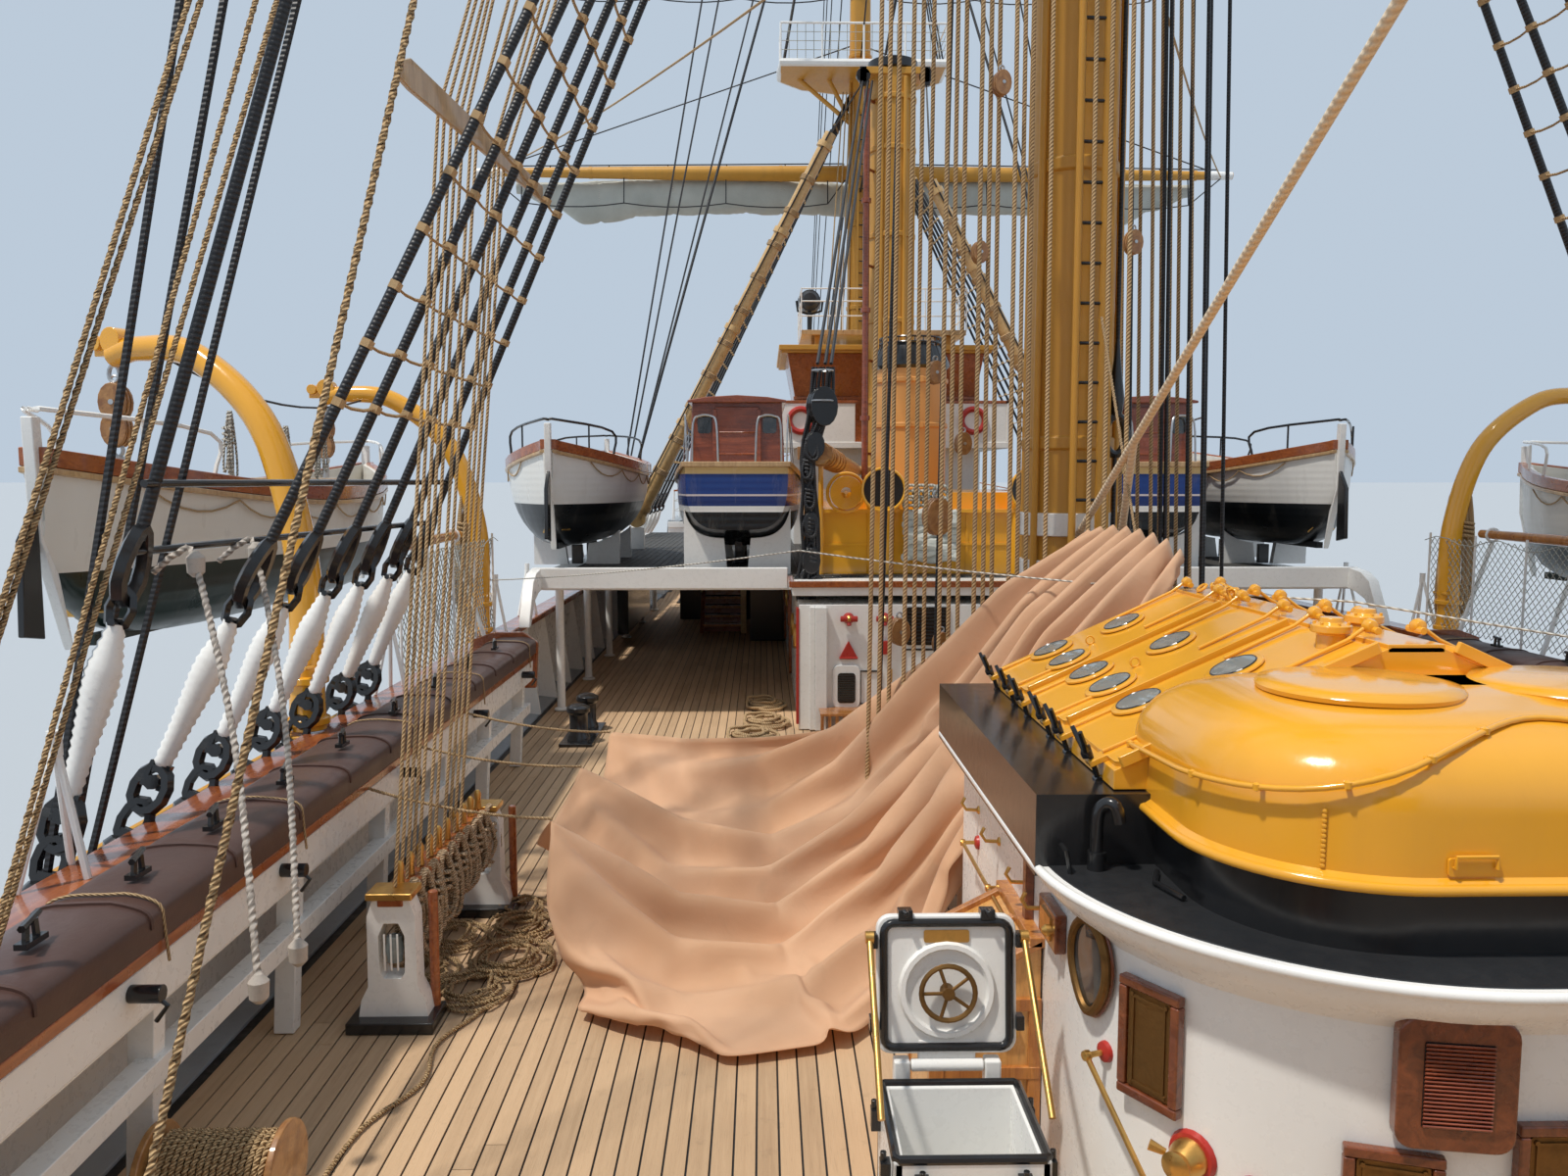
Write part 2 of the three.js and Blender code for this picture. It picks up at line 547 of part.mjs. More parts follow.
function makeStays() {
  const wire = STAY.radius;
  const [fore, main, mizzen] = MASTS;
  const seat = wire * 0.32 + GAP;     // the end of a sloping wire, square across it, clears the mast
  const ahead = (mast, z) => mast.x + mastRadius(mast, z) + seat;
  const astern = (mast, z) => mast.x - mastRadius(mast, z) - wire * 1.4;
  const stay = (name, from, to, finish) => node(name, bar(from, to, wire, wire, 8), finish);
  stay('fore_stay', [ahead(fore, STAY.foreTop), 0, STAY.foreTop], [STAY.foreFoot[0], 0, STAY.foreFoot[1]],
    BLACK_WIRE);
  stay('main_stay', [ahead(main, STAY.mainTop) - GAP, 0, STAY.mainTop],
    [astern(fore, STAY.mainFoot), 0, STAY.mainFoot], BLACK_WIRE);
  stay('mizzen_stay', [ahead(mizzen, STAY.mizzenTop) + wire * 0.15, 0, STAY.mizzenTop],
    [astern(main, STAY.mizzenFoot[1]), ...STAY.mizzenFoot], HEMP);
}

// Deckhouse abaft the main mast
const HOUSE = { fore: -8.76, aft: -13.25, middle: -0.2, half: 1.85, corner: 1.55 };
const DOME = { fore: -10.5, aft: -12.95, half: 1.32, base: DECK + 2.3 + GAP, top: DECK + 2.9 };

// An outline with square forward corners and round after corners.
function roundedAft(fore, aft, middle, half, corner) {
  const steps = 5;
  const port = [[fore, middle + half]];
  for (let i = 0; i <= steps; i += 1) {
    const a = (Math.PI / 2) * (i / steps);
    port.push([aft + corner - corner * Math.sin(a), middle + half - corner + corner * Math.cos(a)]);
  }
  const starboard = port.map(([x, y]) => [x, 2 * middle - y]).reverse();
  return [...port, ...starboard];
}

function makeDeckhouse() {
  const { fore, aft, middle, half, corner } = HOUSE;
  const overhang = 0.2;
  const walls = plate(roundedAft(fore, aft + overhang, middle, half - overhang, corner - overhang),
    DECK + GAP, DECK + 1.85);
  const roof = plate(roundedAft(fore, aft, middle, half, corner), DECK + 1.8, DECK + 1.95);
  const coaming = block(-11.8, fore, middle - half + 0.01, middle + half - 0.01, DECK + 1.9, DECK + 2.3);
  const base = plate(roundedAft(-11.0, DOME.aft + 0.06, middle, DOME.half - 0.06, 0.7), DECK + 1.9, DECK + 2.3);
  const locker = loft([-11.25, -10.4].map((x) => [[x, 1.40, DECK + 0.03], [x, 1.40, DECK + 1.35],
    [x, 2.05, DECK + 1.05], [x, 2.05, DECK + 0.03]]));
  node('deckhouse', join([walls, roof, coaming, base, locker]), WHITE);
}

function makeSkylight() {
  const { middle } = HOUSE;
  const low = DECK + 2.3 + GAP;
  const ridge = DECK + 3.0;
  const eaves = 1.45;
  const roof = loft([-8.86, DOME.fore - 0.5].map((x) => [[x, middle + eaves, low], [x, middle + eaves, low + 0.1],
    [x, middle + 0.12, ridge], [x, middle - 0.12, ridge], [x, middle - eaves, low + 0.1],
    [x, middle - eaves, low]]));
  const shell = loft([[0, 0], [0.16, 0.02], [0.42, 0.14], [0.56, 0.32], [0.61, 0.55]].map(([up, inset]) =>
    roundedAft(DOME.fore, DOME.aft + inset, middle, DOME.half - inset, 0.75 - inset * 0.6)
      .map(([x, y]) => [x, y, DOME.base + up])));
  const lids = [0.48, -0.48].map((y) => bar([-11.85, middle + y, DOME.top - 0.1],
    [-11.85, middle + y, DOME.top + 0.09], 0.42, 0.42, 16));
  const step = block(-11.795, DOME.fore + 0.1, middle - 1.2, middle + 1.2, low, DOME.top - 0.05);
  node('skylight', join([roof, shell, step, ...lids]), YELLOW);
}

// Small hatch beside the deckhouse, with its lid standing open
const HATCH = { fore: -11.9, aft: -12.56, inner: 1.72, outer: 2.40, top: DECK + 0.92, wall: 0.05 };

function makeHatch() {
  const { fore, aft, inner, outer, top, wall } = HATCH;
  const box = block(aft, fore, inner, outer, DECK + GAP, top);
  const well = block(aft + wall, fore - wall, inner + wall, outer - wall, DECK + 0.25, top + 1);
  const ears = [inner + 0.08, outer - 0.16].flatMap((y) => [
    block(fore - 0.03, fore + 0.1, y, y + 0.08, top - 0.16, top - 0.03),
    block(fore + 0.02, fore + 0.1, y, y + 0.08, top - 0.05, top + 0.09),
  ]);
  node('hatch_coaming', cut(join([box, ...ears]), [well]), WHITE);
  const width = outer - inner;
  const open = THREE.MathUtils.degToRad(96);
  const lid = block(-0.72, -0.05, -width / 2, width / 2, 0.045, 0.115);
  const knuckle = bar([0, -0.177, 0.05], [0, 0.177, 0.05], 0.03, 0.03, 12);
  const strap = block(-0.12, 0.015, -0.14, 0.14, 0.05, 0.1);
  const leaf = join([lid, strap, knuckle]);
  leaf.translate(0, 0, -0.05);
  leaf.rotateY(open);
  node('hatch_lid', leaf, WHITE, [fore + 0.05, (inner + outer) / 2, top + 0.06]);
}

// Boat deck, houses, bridge and funnel
const BOAT_DECK = { aft: 1.15, fore: 17.0, inset: 0.12 };
const BOAT_KEEL = { post: 2.25 + 0.42, launch: 2.25 + 0.36 };

const DERRICKS = [
  // side name, foot y, foot height, head y, head height, plane
  ['port', 5.75, 2.95, 1.45, 11.3],
  ['starboard', -4.6, 2.95, -0.75, 10.3],
];
const DERRICK_X = 8.75;

function makeBoatDeck() {
  const { aft, fore, inset } = BOAT_DECK;
  const low = BOAT_DECK_TOP - BOAT_DECK_THICK;
  const edge = (x) => frameAt(x).edge - LEAN * 2 - inset;
  const slab = loft(places(aft, fore, 4).map((x) => {
    const y = edge(x);
    return [[x, y, low], [x, y, BOAT_DECK_TOP], [x, -y, BOAT_DECK_TOP], [x, -y, low]];
  }));
  const apron = block(0.15, aft + 0.2, -2.5, 2.5, low, BOAT_DECK_TOP);
  const posts = [];
  for (const x of places(aft + 0.6, fore - 0.5, 3)) {
    for (const side of [1, -1]) {
      const y = side * (edge(x) - 0.45);
      posts.push(bar([x, y, frameAt(x).deck + GAP], [x, y, low + 0.1], 0.07, 0.07, 6));
    }
  }
  const brackets = [1, -1].map((side) => {
    const outline = [[1.1, 2.2], [0.55, 2.1], [0.2, 1.85], [0.1, 1.59], [0.25, 1.59], [0.5, 1.8], [1.2, 1.93]];
    const outer = side * (edge(aft) - 0.12);
    const inner = outer - side * 0.16;
    return fin(outline.map(([x, h]) => [x, DECK + h]), Math.min(outer, inner), Math.max(outer, inner));
  });
  const chocks = [];
  for (const side of [1, -1]) {
    for (const [y, height, xs] of [[6.35, BOAT_KEEL.post, [4.1, 5.6]], [3.36, BOAT_KEEL.launch, [4.2, 5.9]]]) {
      for (const x of xs) {
        chocks.push(block(x - 0.2, x + 0.2, side * y - 0.3, side * y + 0.3, BOAT_DECK_TOP - 0.1,
          DECK + height - GAP));
      }
    }
  }
  const steps = DERRICKS.map(([, y, height]) =>
    block(DERRICK_X - 0.12, DERRICK_X + 0.12, y - 0.16, y + 0.16, BOAT_DECK_TOP - 0.1, DECK + height - 0.2 - GAP));
  node('boat_deck', join([slab, apron, ...posts, ...brackets, ...chocks, ...steps]), WHITE);
}

function makeHouses() {
  const low = BOAT_DECK_TOP - BOAT_DECK_THICK;
  node('centre_house', block(0.15, 14.0, -2.4, 2.4, DECK + GAP + 0.01, low - GAP), WHITE);
  const casing = block(1.7, 8.7, -2.0, 2.0, BOAT_DECK_TOP + GAP, DECK + 3.6);
  const cowls = [1.02, -1.35].flatMap((y) => [
    bar([1.62, y, BOAT_DECK_TOP + 0.02], [1.62, y, DECK + 3.5], 0.22, 0.22, 14),
    bar([1.2, y, DECK + 3.65], [1.95, y, DECK + 3.55], 0.36, 0.22, 16),
  ]);
  node('engine_casing', join([casing, ...cowls]), YELLOW);
  const bottom = DECK + 3.6 + GAP;
  node('funnel', turned([[0, bottom], [0.72, bottom], [0.72, DECK + 6.2], [0.76, DECK + 6.22], [0.76, DECK + 6.6],
    [0.6, DECK + 6.6], [0.6, DECK + 6.1], [0, DECK + 6.1]], 6.0, 0, 20), OCHRE);
}

function makeBridge() {
  const floor = BOAT_DECK_TOP + GAP;
  const base = block(10.7, 14.8, -2.2, 2.2, floor, DECK + 4.7);
  const deck = block(10.3, 15.1, -2.9, 2.9, DECK + 4.55, DECK + 4.7);
  const wheelhouse = loft([[4.65, 0], [5.7, 0.02], [6.85, 0.22]].map(([h, flare]) => {
    const [x0, x1, y] = [10.85 - flare, 14.5 + flare, 2.15 + flare];
    return [[x0, -y, DECK + h], [x0, y, DECK + h], [x1 - 0.8, y, DECK + h], [x1, y - 0.8, DECK + h],
      [x1, 0.8 - y, DECK + h], [x1 - 0.8, -y, DECK + h]];
  }));
  const roof = block(10.5, 14.9, -2.5, 2.5, DECK + 6.8, DECK + 7.0);
  const platform = block(11.2, 13.6, -2.0, 2.0, DECK + 7.3, DECK + 7.42);
  const legs = [[11.5, 1.6], [11.5, -1.6], [13.3, 1.6], [13.3, -1.6]].map(([x, y]) =>
    block(x - 0.08, x + 0.08, y - 0.08, y + 0.08, DECK + 6.9, DECK + 7.35));
  const lampPost = bar([12.5, 1.75, DECK + 7.4], [12.5, 1.75, DECK + 8.1], 0.07, 0.07, 8);
  const lamp = bar([12.35, 1.75, DECK + 8.3], [12.75, 1.75, DECK + 8.3], 0.28, 0.32, 14);
  node('bridge', join([base, deck, wheelhouse, roof, platform, ...legs, lampPost, lamp]), WHITE);
}

function makeDerricks() {
  const post = turned([[0, BOAT_DECK_TOP + GAP], [0.53, BOAT_DECK_TOP + GAP], [0.50, DECK + 12.9],
    [0.56, DECK + 12.92], [0.56, DECK + 13.15], [0, DECK + 13.15]], 9.75, 0, 16);
  node('derrick_post', post, OCHRE);
  for (const [side, footY, footH, headY, headH] of DERRICKS) {
    const spar = bar([0, 0, 0], [0, headY - footY, headH - footH], 0.17, 0.13, 12);
    const hub = bar([-0.14, 0, 0], [0.14, 0, 0], 0.2, 0.2, 14);
    node(`derrick_${side}`, join([spar, hub]), OCHRE, [DERRICK_X, footY, DECK + footH]);
  }
}

// Boats. A hull is drawn round its own middle with the keel's underside at zero height.

function boatRing(t, length, beam, depth, square, shrink) {
  const end = t > 0 || !square ? 1 : 0.28;
  const wide = Math.max(0.05, (beam / 2) * (1 - end * Math.abs(t) ** 2.6)) - shrink;
  const rise = depth * (t > 0 || !square ? 0.55 * Math.abs(t) ** 8 : 0.16 * Math.abs(t) ** 3);
  const sheer = depth * (0.8 + 0.2 * t * t);
  const port = [];
  for (let i = 0; i <= 3; i += 1) {
    const a = (Math.PI / 2) * (i / 3);
    const z = sheer - (sheer - rise - shrink * 3) * Math.cos(a) ** 0.9;
    port.push([t * (length / 2 - shrink * 2), 0.03 + Math.max(wide, 0.01) * Math.sin(a) ** 0.8, z]);
  }
  if (shrink > 0) port.push([port[3][0], port[3][1], sheer + 0.4]);
  return [...port, ...port.map(([x, y, z]) => [x, -y, z]).reverse()];
}

function boatHull(length, beam, depth, square = false, shrink = 0) {
  const stations = [-1, -0.88, -0.6, -0.3, 0.3, 0.6, 0.88, 1];
  return loft(stations.map((t) => boatRing(t, length, beam, depth, square, shrink)));
}

function openBoat(length, beam, depth) {
  const inside = boatHull(length - 0.3, beam, depth, false, 0.06);
  return cut(boatHull(length, beam, depth), [inside]);
}

const DAVITS = { aft: -6.97, fore: -0.7, y: 7.0, radius: 0.14, reach: 2.1, tip: DECK + 5.0, turned: 21 };
const DAVIT_BOAT = { x: -3.2, y: 9.08, keel: DECK + 2.3, length: 8.2, beam: 2.1, depth: 1.75 };

function makeDavits() {
  for (const [side, sign] of [['port', 1], ['starboard', -1]]) {
    for (const [end, turnedBy] of [['aft', DAVITS.turned], ['fore', 0]]) {
      const foot = frameAt(DAVITS[end]).deck + 1.42;
      const top = DAVITS.tip - foot;
      const arc = [[0, 0.4], [0, top - 1.9], [0.35, top - 0.75], [1.1, top - 0.1], [1.75, top],
        [DAVITS.reach, top - 0.06]];
      const neck = tube(arc.map(([out, up]) => [0, out, up]), DAVITS.radius, 8, 10);
      const pole = bar([0, 0, 0.16 + GAP], [0, 0, 0.5], DAVITS.radius * 1.2, DAVITS.radius, 8);
      const arm = join([neck, pole]);
      arm.rotateZ(THREE.MathUtils.degToRad(-turnedBy));
      node(`davit_${side}_${end}`, sign > 0 ? arm : mirrored(arm), YELLOW,
        [DAVITS[end], sign * DAVITS.y, foot]);
    }
  }
}

function makeBoats() {
  for (const [side, sign] of [['port', 1], ['starboard', -1]]) {
    const whaler = openBoat(DAVIT_BOAT.length, DAVIT_BOAT.beam, DAVIT_BOAT.depth);
    const eyes = [['aft', DAVITS.turned], ['fore', 0]].map(([end, angle]) => {
      const a = THREE.MathUtils.degToRad(angle);
      const x = DAVITS[end] + DAVITS.reach * Math.sin(a) - DAVIT_BOAT.x;
      const y = DAVITS.y + DAVITS.reach * Math.cos(a) - DAVIT_BOAT.y;
      return bar([x, y, 0.14], [x, y, DAVITS.tip - 0.06 - DAVITS.radius - DAVIT_BOAT.keel - 0.001], 0.05, 0.05, 6);
    });
    const hung = join([whaler, ...eyes]);
    node(`davit_boat_${side}`, sign > 0 ? hung : mirrored(hung), WHITE,
      [DAVIT_BOAT.x, sign * DAVIT_BOAT.y, DAVIT_BOAT.keel]);
    node(`deck_boat_${side}`, openBoat(7.0, 2.35, 1.75), WHITE, [4.85, sign * 6.35, DECK + BOAT_KEEL.post]);
    const cabin = loft([[1.0, 0], [1.5, 0.02], [2.5, 0.1]].map(([h, inset]) => [
      [-3.2, -0.78 + inset, h], [-3.2, 0.78 - inset, h],
      [1.2 - inset * 3, 0.78 - inset, h], [1.2 - inset * 3, inset - 0.78, h],
    ]));
    const launch = join([boatHull(7.3, 2.2, 1.45, true), cabin]);
    node(`launch_${side}`, launch, NAVY, [5.0, sign * 3.36, DECK + BOAT_KEEL.launch]);
  }
}

// Awning being set between the deckhouse and the port side. Rows run from its ridge to its port
// edge: after, middle and forward points.
const AWNING_ROWS = [
  [[-8.45, -0.35, 3.30], [-7.8, -0.15, 3.45], [-7.1, 0.15, 3.35]],
  [[-8.50, 0.85, 2.75], [-7.7, 0.8, 2.85], [-6.8, 0.85, 2.85]],
  [[-8.60, 1.75, 2.1], [-7.5, 1.7, 1.9], [-6.3, 1.6, 2.1]],
  [[-9.30, 1.92, 0.9], [-7.7, 2.3, 0.8], [-5.8, 2.2, 1.5]],
  [[-10.0, 2.30, 0], [-7.9, 2.9, 0.1], [-5.5, 3.0, 1.2]],
  [[-10.2, 3.20, 0], [-7.9, 3.7, 0.2], [-5.3, 3.7, 1.1]],
  [[-9.70, 4.20, 0.05], [-7.9, 4.4, 0.7], [-5.2, 4.3, 1.15]],
];
const AWNING_THICK = 0.09;

// Upward direction square across the awning at one of its points.
function awningNormal(i, j) {
  const at = (row, point) => new THREE.Vector3(...AWNING_ROWS[row][point]);
  const last = AWNING_ROWS.length - 1;
  const across = at(Math.min(i + 1, last), j).sub(at(Math.max(i - 1, 0), j));
  const along = at(i, Math.min(j + 1, 2)).sub(at(i, Math.max(j - 1, 0)));
  return along.cross(across).normalize();
}

function makeAwning() {
  const rings = AWNING_ROWS.map((row, i) => {
    const under = row.map(([x, y, h]) => [x, y, DECK + h + GAP]);
    const over = under.map(([x, y, z], j) => {
      const normal = awningNormal(i, j).multiplyScalar(AWNING_THICK);
      return [x + normal.x, y + normal.y, z + normal.z];
    });
    return [...under, ...over.reverse()];
  });
  node('awning', loft(rings), AWNING_CLOTH);
}

makeHull();
makePoop();
makeForecastle();
makeBulwarks();
makeRailCovers();
makeRudder();
makePropeller();
makeBowsprit();
MASTS.forEach(makeMast);
YARDS.forEach(makeYard);
makeSpanker();
makeStays();
makeDeckhouse();
makeSkylight();
makeHatch();
makeBoatDeck();
makeHouses();
makeBridge();
makeDerricks();
makeDavits();
makeBoats();
makeAwning();

export default ship;
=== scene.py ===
"""Looks of a full-rigged training ship, a scale model at 1:10.

Every size here is in metres of the real ship: +X to the bow, +Y to port, +Z up from the waterline.
Shells are made at that size and brought down to the model's when they become pieces.
"""

import math

import bpy
import numpy as np
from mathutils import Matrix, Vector, noise


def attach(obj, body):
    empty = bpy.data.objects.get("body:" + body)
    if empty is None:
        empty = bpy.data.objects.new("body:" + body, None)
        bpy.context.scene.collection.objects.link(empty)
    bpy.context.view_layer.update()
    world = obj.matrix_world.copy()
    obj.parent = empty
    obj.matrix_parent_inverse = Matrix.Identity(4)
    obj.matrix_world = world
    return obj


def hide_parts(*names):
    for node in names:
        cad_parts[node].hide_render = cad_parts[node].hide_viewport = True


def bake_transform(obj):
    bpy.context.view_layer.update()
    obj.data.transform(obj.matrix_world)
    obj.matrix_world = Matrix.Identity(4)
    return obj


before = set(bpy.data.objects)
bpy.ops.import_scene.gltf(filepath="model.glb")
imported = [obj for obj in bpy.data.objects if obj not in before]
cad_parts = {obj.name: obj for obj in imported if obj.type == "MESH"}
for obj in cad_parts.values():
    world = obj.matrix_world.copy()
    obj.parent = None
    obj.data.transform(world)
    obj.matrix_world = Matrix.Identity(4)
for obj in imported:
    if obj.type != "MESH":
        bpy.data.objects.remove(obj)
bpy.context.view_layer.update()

MODEL = 0.1  # model metres for each metre of ship
DECK = 4.6  # main deck amidships above the waterline
RAISED = 2.2  # poop and forecastle decks above the main deck
POOP_FRONT = -17.3
FORECASTLE_BREAK = 23.0
LEAN = 0.06  # tumblehome of the bulwarks, inward for each metre up
SIDES = (("port", 1), ("starboard", -1))

# Hull frames from stern to bow
HULL_COLUMNS = ("x", "bottom", "waist", "beam", "deck", "edge", "fullness")
HULL_FRAMES = (
    (-41.6, 4.9, 5.4, 1.5, 5.60, 1.6, 2.0),
    (-40.9, 4.0, 5.2, 3.0, 5.58, 3.1, 2.0),
    (-39.0, 2.7, 4.8, 4.4, 5.50, 4.5, 2.0),
    (-36.5, 1.5, 4.0, 5.4, 5.35, 5.5, 1.8),
    (-34.0, 0.2, 2.6, 6.0, 5.20, 6.0, 1.5),
    (-31.0, -2.2, 1.2, 6.5, 5.02, 6.4, 1.15),
    (-28.0, -4.9, 0.7, 6.9, 4.90, 6.65, 1.15),
    (-24.0, -6.7, 0.5, 7.3, 4.75, 6.85, 1.4),
    (-17.0, -7.0, 0.5, 7.6, 4.60, 6.95, 2.1),
    (-6.0, -7.0, 0.5, 7.75, 4.60, 6.98, 2.7),
    (8.0, -7.0, 0.5, 7.75, 4.60, 6.95, 2.7),
    (18.0, -7.0, 0.5, 7.4, 4.60, 6.75, 2.0),
    (26.0, -7.0, 0.6, 6.2, 4.95, 6.0, 1.4),
    (32.0, -6.8, 1.0, 4.5, 5.45, 4.8, 1.1),
    (36.0, -5.4, 2.0, 3.0, 5.85, 3.6, 1.0),
    (38.8, -2.4, 3.4, 1.9, 6.20, 2.6, 0.95),
    (40.6, 0.8, 4.6, 1.2, 6.45, 1.8, 0.95),
    (42.0, 4.4, 6.0, 0.6, 6.70, 0.9, 1.0),
    (42.6, 6.3, 6.6, 0.3, 6.82, 0.35, 1.0),
)
KEEL_HALF = 0.2


# Node trees


class Wire:
    """An output socket that can be written in a sum."""

    def __init__(self, net, socket):
        self.net = net
        self.socket = socket

    def maths(self, operation, *values):
        return self.net.add("ShaderNodeMath", {"operation": operation}, dict(enumerate(values)))

    def __add__(self, other):
        return self.maths("ADD", self, other)

    __radd__ = __add__

    def __mul__(self, other):
        return self.maths("MULTIPLY", self, other)

    __rmul__ = __mul__

    def __sub__(self, other):
        return self.maths("SUBTRACT", self, other)

    def __rsub__(self, other):
        return self.maths("SUBTRACT", other, self)

    def __truediv__(self, other):
        return self.maths("DIVIDE", self, other)

    def __gt__(self, other):
        return self.maths("GREATER_THAN", self, other)

    def __lt__(self, other):
        return self.maths("LESS_THAN", self, other)


class Net:
    """A node tree, filled by one method."""

    def __init__(self, tree):
        self.tree = tree

    @staticmethod
    def socket(sockets, key):
        if isinstance(key, int):
            return sockets[key]
        return next(s for s in sockets if s.name == key and s.enabled)

    def add(self, kind, settings=None, inputs=None, output=None):
        made = self.tree.nodes.new(kind)
        for key, value in (settings or {}).items():
            if key == "stops":
                self.set_stops(made.color_ramp, value)
            else:
                setattr(made, key, value)
        for key, value in (inputs or {}).items():
            socket = self.socket(made.inputs, key)
            if isinstance(value, Wire):
                self.tree.links.new(value.socket, socket)
            else:
                socket.default_value = value
        if output is None:
            return Wire(self, next(s for s in made.outputs if s.enabled))
        return Wire(self, self.socket(made.outputs, output))

    @staticmethod
    def set_stops(ramp, stops):
        while len(ramp.elements) < len(stops):
            ramp.elements.new(1.0)
        for element, (place, colour) in zip(ramp.elements, stops):
            element.position = place
            element.color = (*colour, 1)


class Finish(Net):
    """A material: nodes round one shader. Patterns are drawn in metres of ship."""

    def __init__(self, name, colour, roughness, **fixed):
        self.material = bpy.data.materials.new(name)
        self.material.use_nodes = True
        self.material.diffuse_color = (*colour, 1)
        super().__init__(self.material.node_tree)
        self.shader = self.tree.nodes["Principled BSDF"]
        self.shader.inputs["Base Color"].default_value = (*colour, 1)
        self.shader.inputs["Roughness"].default_value = roughness
        for key, value in fixed.items():
            self.shader.inputs[key.replace("_", " ").title()].default_value = value

    def feed(self, title, wire):
        self.tree.links.new(wire.socket, self.shader.inputs[title])

    def place(self, x=1.0, y=1.0, z=1.0):
        scale = tuple(v / MODEL for v in (x, y, z))
        here = self.add("ShaderNodeTexCoord", output="Object")
        return self.add("ShaderNodeMapping", inputs={"Vector": here, "Scale": scale})

    def value(self, title, kind="Fac"):
        return self.add("ShaderNodeAttribute", {"attribute_name": title}, output=kind)

    def noise(self, place, scale, detail=3.0, roughness=0.5, distortion=0.0):
        values = {"Vector": place, "Scale": scale, "Detail": detail, "Roughness": roughness,
                  "Distortion": distortion}
        return self.add("ShaderNodeTexNoise", {}, values)

    def ramp(self, wire, low, high, start=0.0, end=1.0):
        values = {"Value": wire, "From Min": low, "From Max": high, "To Min": start, "To Max": end}
        return self.add("ShaderNodeMapRange", {}, values)

    def colours(self, first, second, factor):
        first = (*first, 1) if isinstance(first, tuple) else first
        second = (*second, 1) if isinstance(second, tuple) else second
        return self.add("ShaderNodeMix", {"data_type": "RGBA"}, {"Factor": factor, "A": first, "B": second})

    def relief(self, height, depth, strength=1.0):
        """Bumps of that depth in metres of ship where height goes from 0 to 1."""
        values = {"Height": height, "Distance": depth * MODEL, "Strength": strength}
        self.feed("Normal", self.add("ShaderNodeBump", {}, values))


def painted(name, colour, roughness=0.3, dirt=0.25, coat=0.0):
    """Brushed gloss paint on plate: a faint drift of tone, runs of grime and an uneven film."""
    finish = Finish(name, colour, roughness, coat_weight=coat, coat_roughness=0.12)
    drift = finish.noise(finish.place(), 0.7, 4.0)
    runs = finish.noise(finish.place(5, 5, 0.5), 1.0, 4.0, 0.6)
    specks = finish.noise(finish.place(), 14.0, 3.0, 0.7)
    pale = tuple(min(1.0, c * 1.07 + 0.006) for c in colour)
    grime = tuple(c * 0.6 + 0.03 * shade for c, shade in zip(colour, (0.9, 0.84, 0.74)))
    tone = finish.colours(colour, pale, finish.ramp(drift, 0.35, 0.65))
    worn = finish.ramp(runs, 0.52, 0.8) * dirt + finish.ramp(specks, 0.66, 0.8) * dirt * 0.8
    finish.feed("Base Color", finish.colours(tone, grime, worn))
    finish.feed("Roughness", finish.ramp(specks, 0.3, 0.7, roughness * 0.8, roughness * 1.35))
    brush = finish.noise(finish.place(1, 1, 0.25), 40.0, 2.0)
    finish.relief(brush * 0.35 + drift * 2.0, 0.0016)
    return finish.material


def hull_livery():
    """Black sides with two white bands along the sheer, red below the water."""
    finish = Finish("hull livery", (0.01, 0.01, 0.011), 0.28)
    level = finish.value("level")
    height = finish.value("height")
    runs = finish.noise(finish.place(2.5, 2.5, 0.35), 1.0, 4.0, 0.65)
    plates = finish.noise(finish.place(0.15, 0.15, 0.8), 1.0, 2.0)
    black = finish.colours((0.008, 0.008, 0.009), (0.03, 0.03, 0.032), runs)
    white = finish.colours((0.78, 0.77, 0.73), (0.55, 0.51, 0.43), finish.ramp(runs, 0.5, 0.85))
    red = finish.colours((0.17, 0.03, 0.022), (0.10, 0.032, 0.025), plates)
    upper = (level > 0.12) * (level < 1.22)
    lower = (level > -2.62) * (level < -1.5)
    side = finish.colours(black, white, upper + lower)
    boot = finish.colours(side, (0.55, 0.54, 0.5), (height > 0.25) * (height < 0.42))
    finish.feed("Base Color", finish.colours(boot, red, height < 0.25))
    finish.feed("Roughness", finish.ramp(height, 0.2, 0.3, 0.65, 0.27))
    finish.relief(plates + runs * 0.3, 0.01)
    return finish.material


def teak(name, bare, weathered, seam=0.35):
    """Scrubbed deck planks: each has its own tone, with grain along it and darker tread."""
    finish = Finish(name, bare, 0.72)
    tone = finish.value("tone")
    grain = finish.noise(finish.place(1.2, 26, 26), 1.0, 5.0, 0.6, 0.4)
    fibre = finish.noise(finish.place(6, 150, 150), 1.0, 3.0, 0.6)
    patches = finish.noise(finish.place(), 0.55, 3.0)
    stains = finish.noise(finish.place(), 5.0, 4.0, 0.7)
    wood = finish.colours(bare, weathered, finish.ramp(grain, 0.3, 0.75))
    pale = finish.colours(wood, tuple(min(1.0, c * 1.22) for c in bare), tone * 0.75)
    dark = tuple(c * seam for c in bare)
    worn = finish.ramp(patches, 0.5, 0.8) * 0.3 + finish.ramp(stains, 0.6, 0.8) * 0.35
    streaks = finish.ramp(fibre, 0.55, 0.85) * 0.35
    finish.feed("Base Color", finish.colours(pale, dark, worn + streaks))
    finish.feed("Roughness", finish.ramp(grain, 0.3, 0.7, 0.62, 0.85))
    finish.relief(grain + fibre * 0.6, 0.0022)
    return finish.material


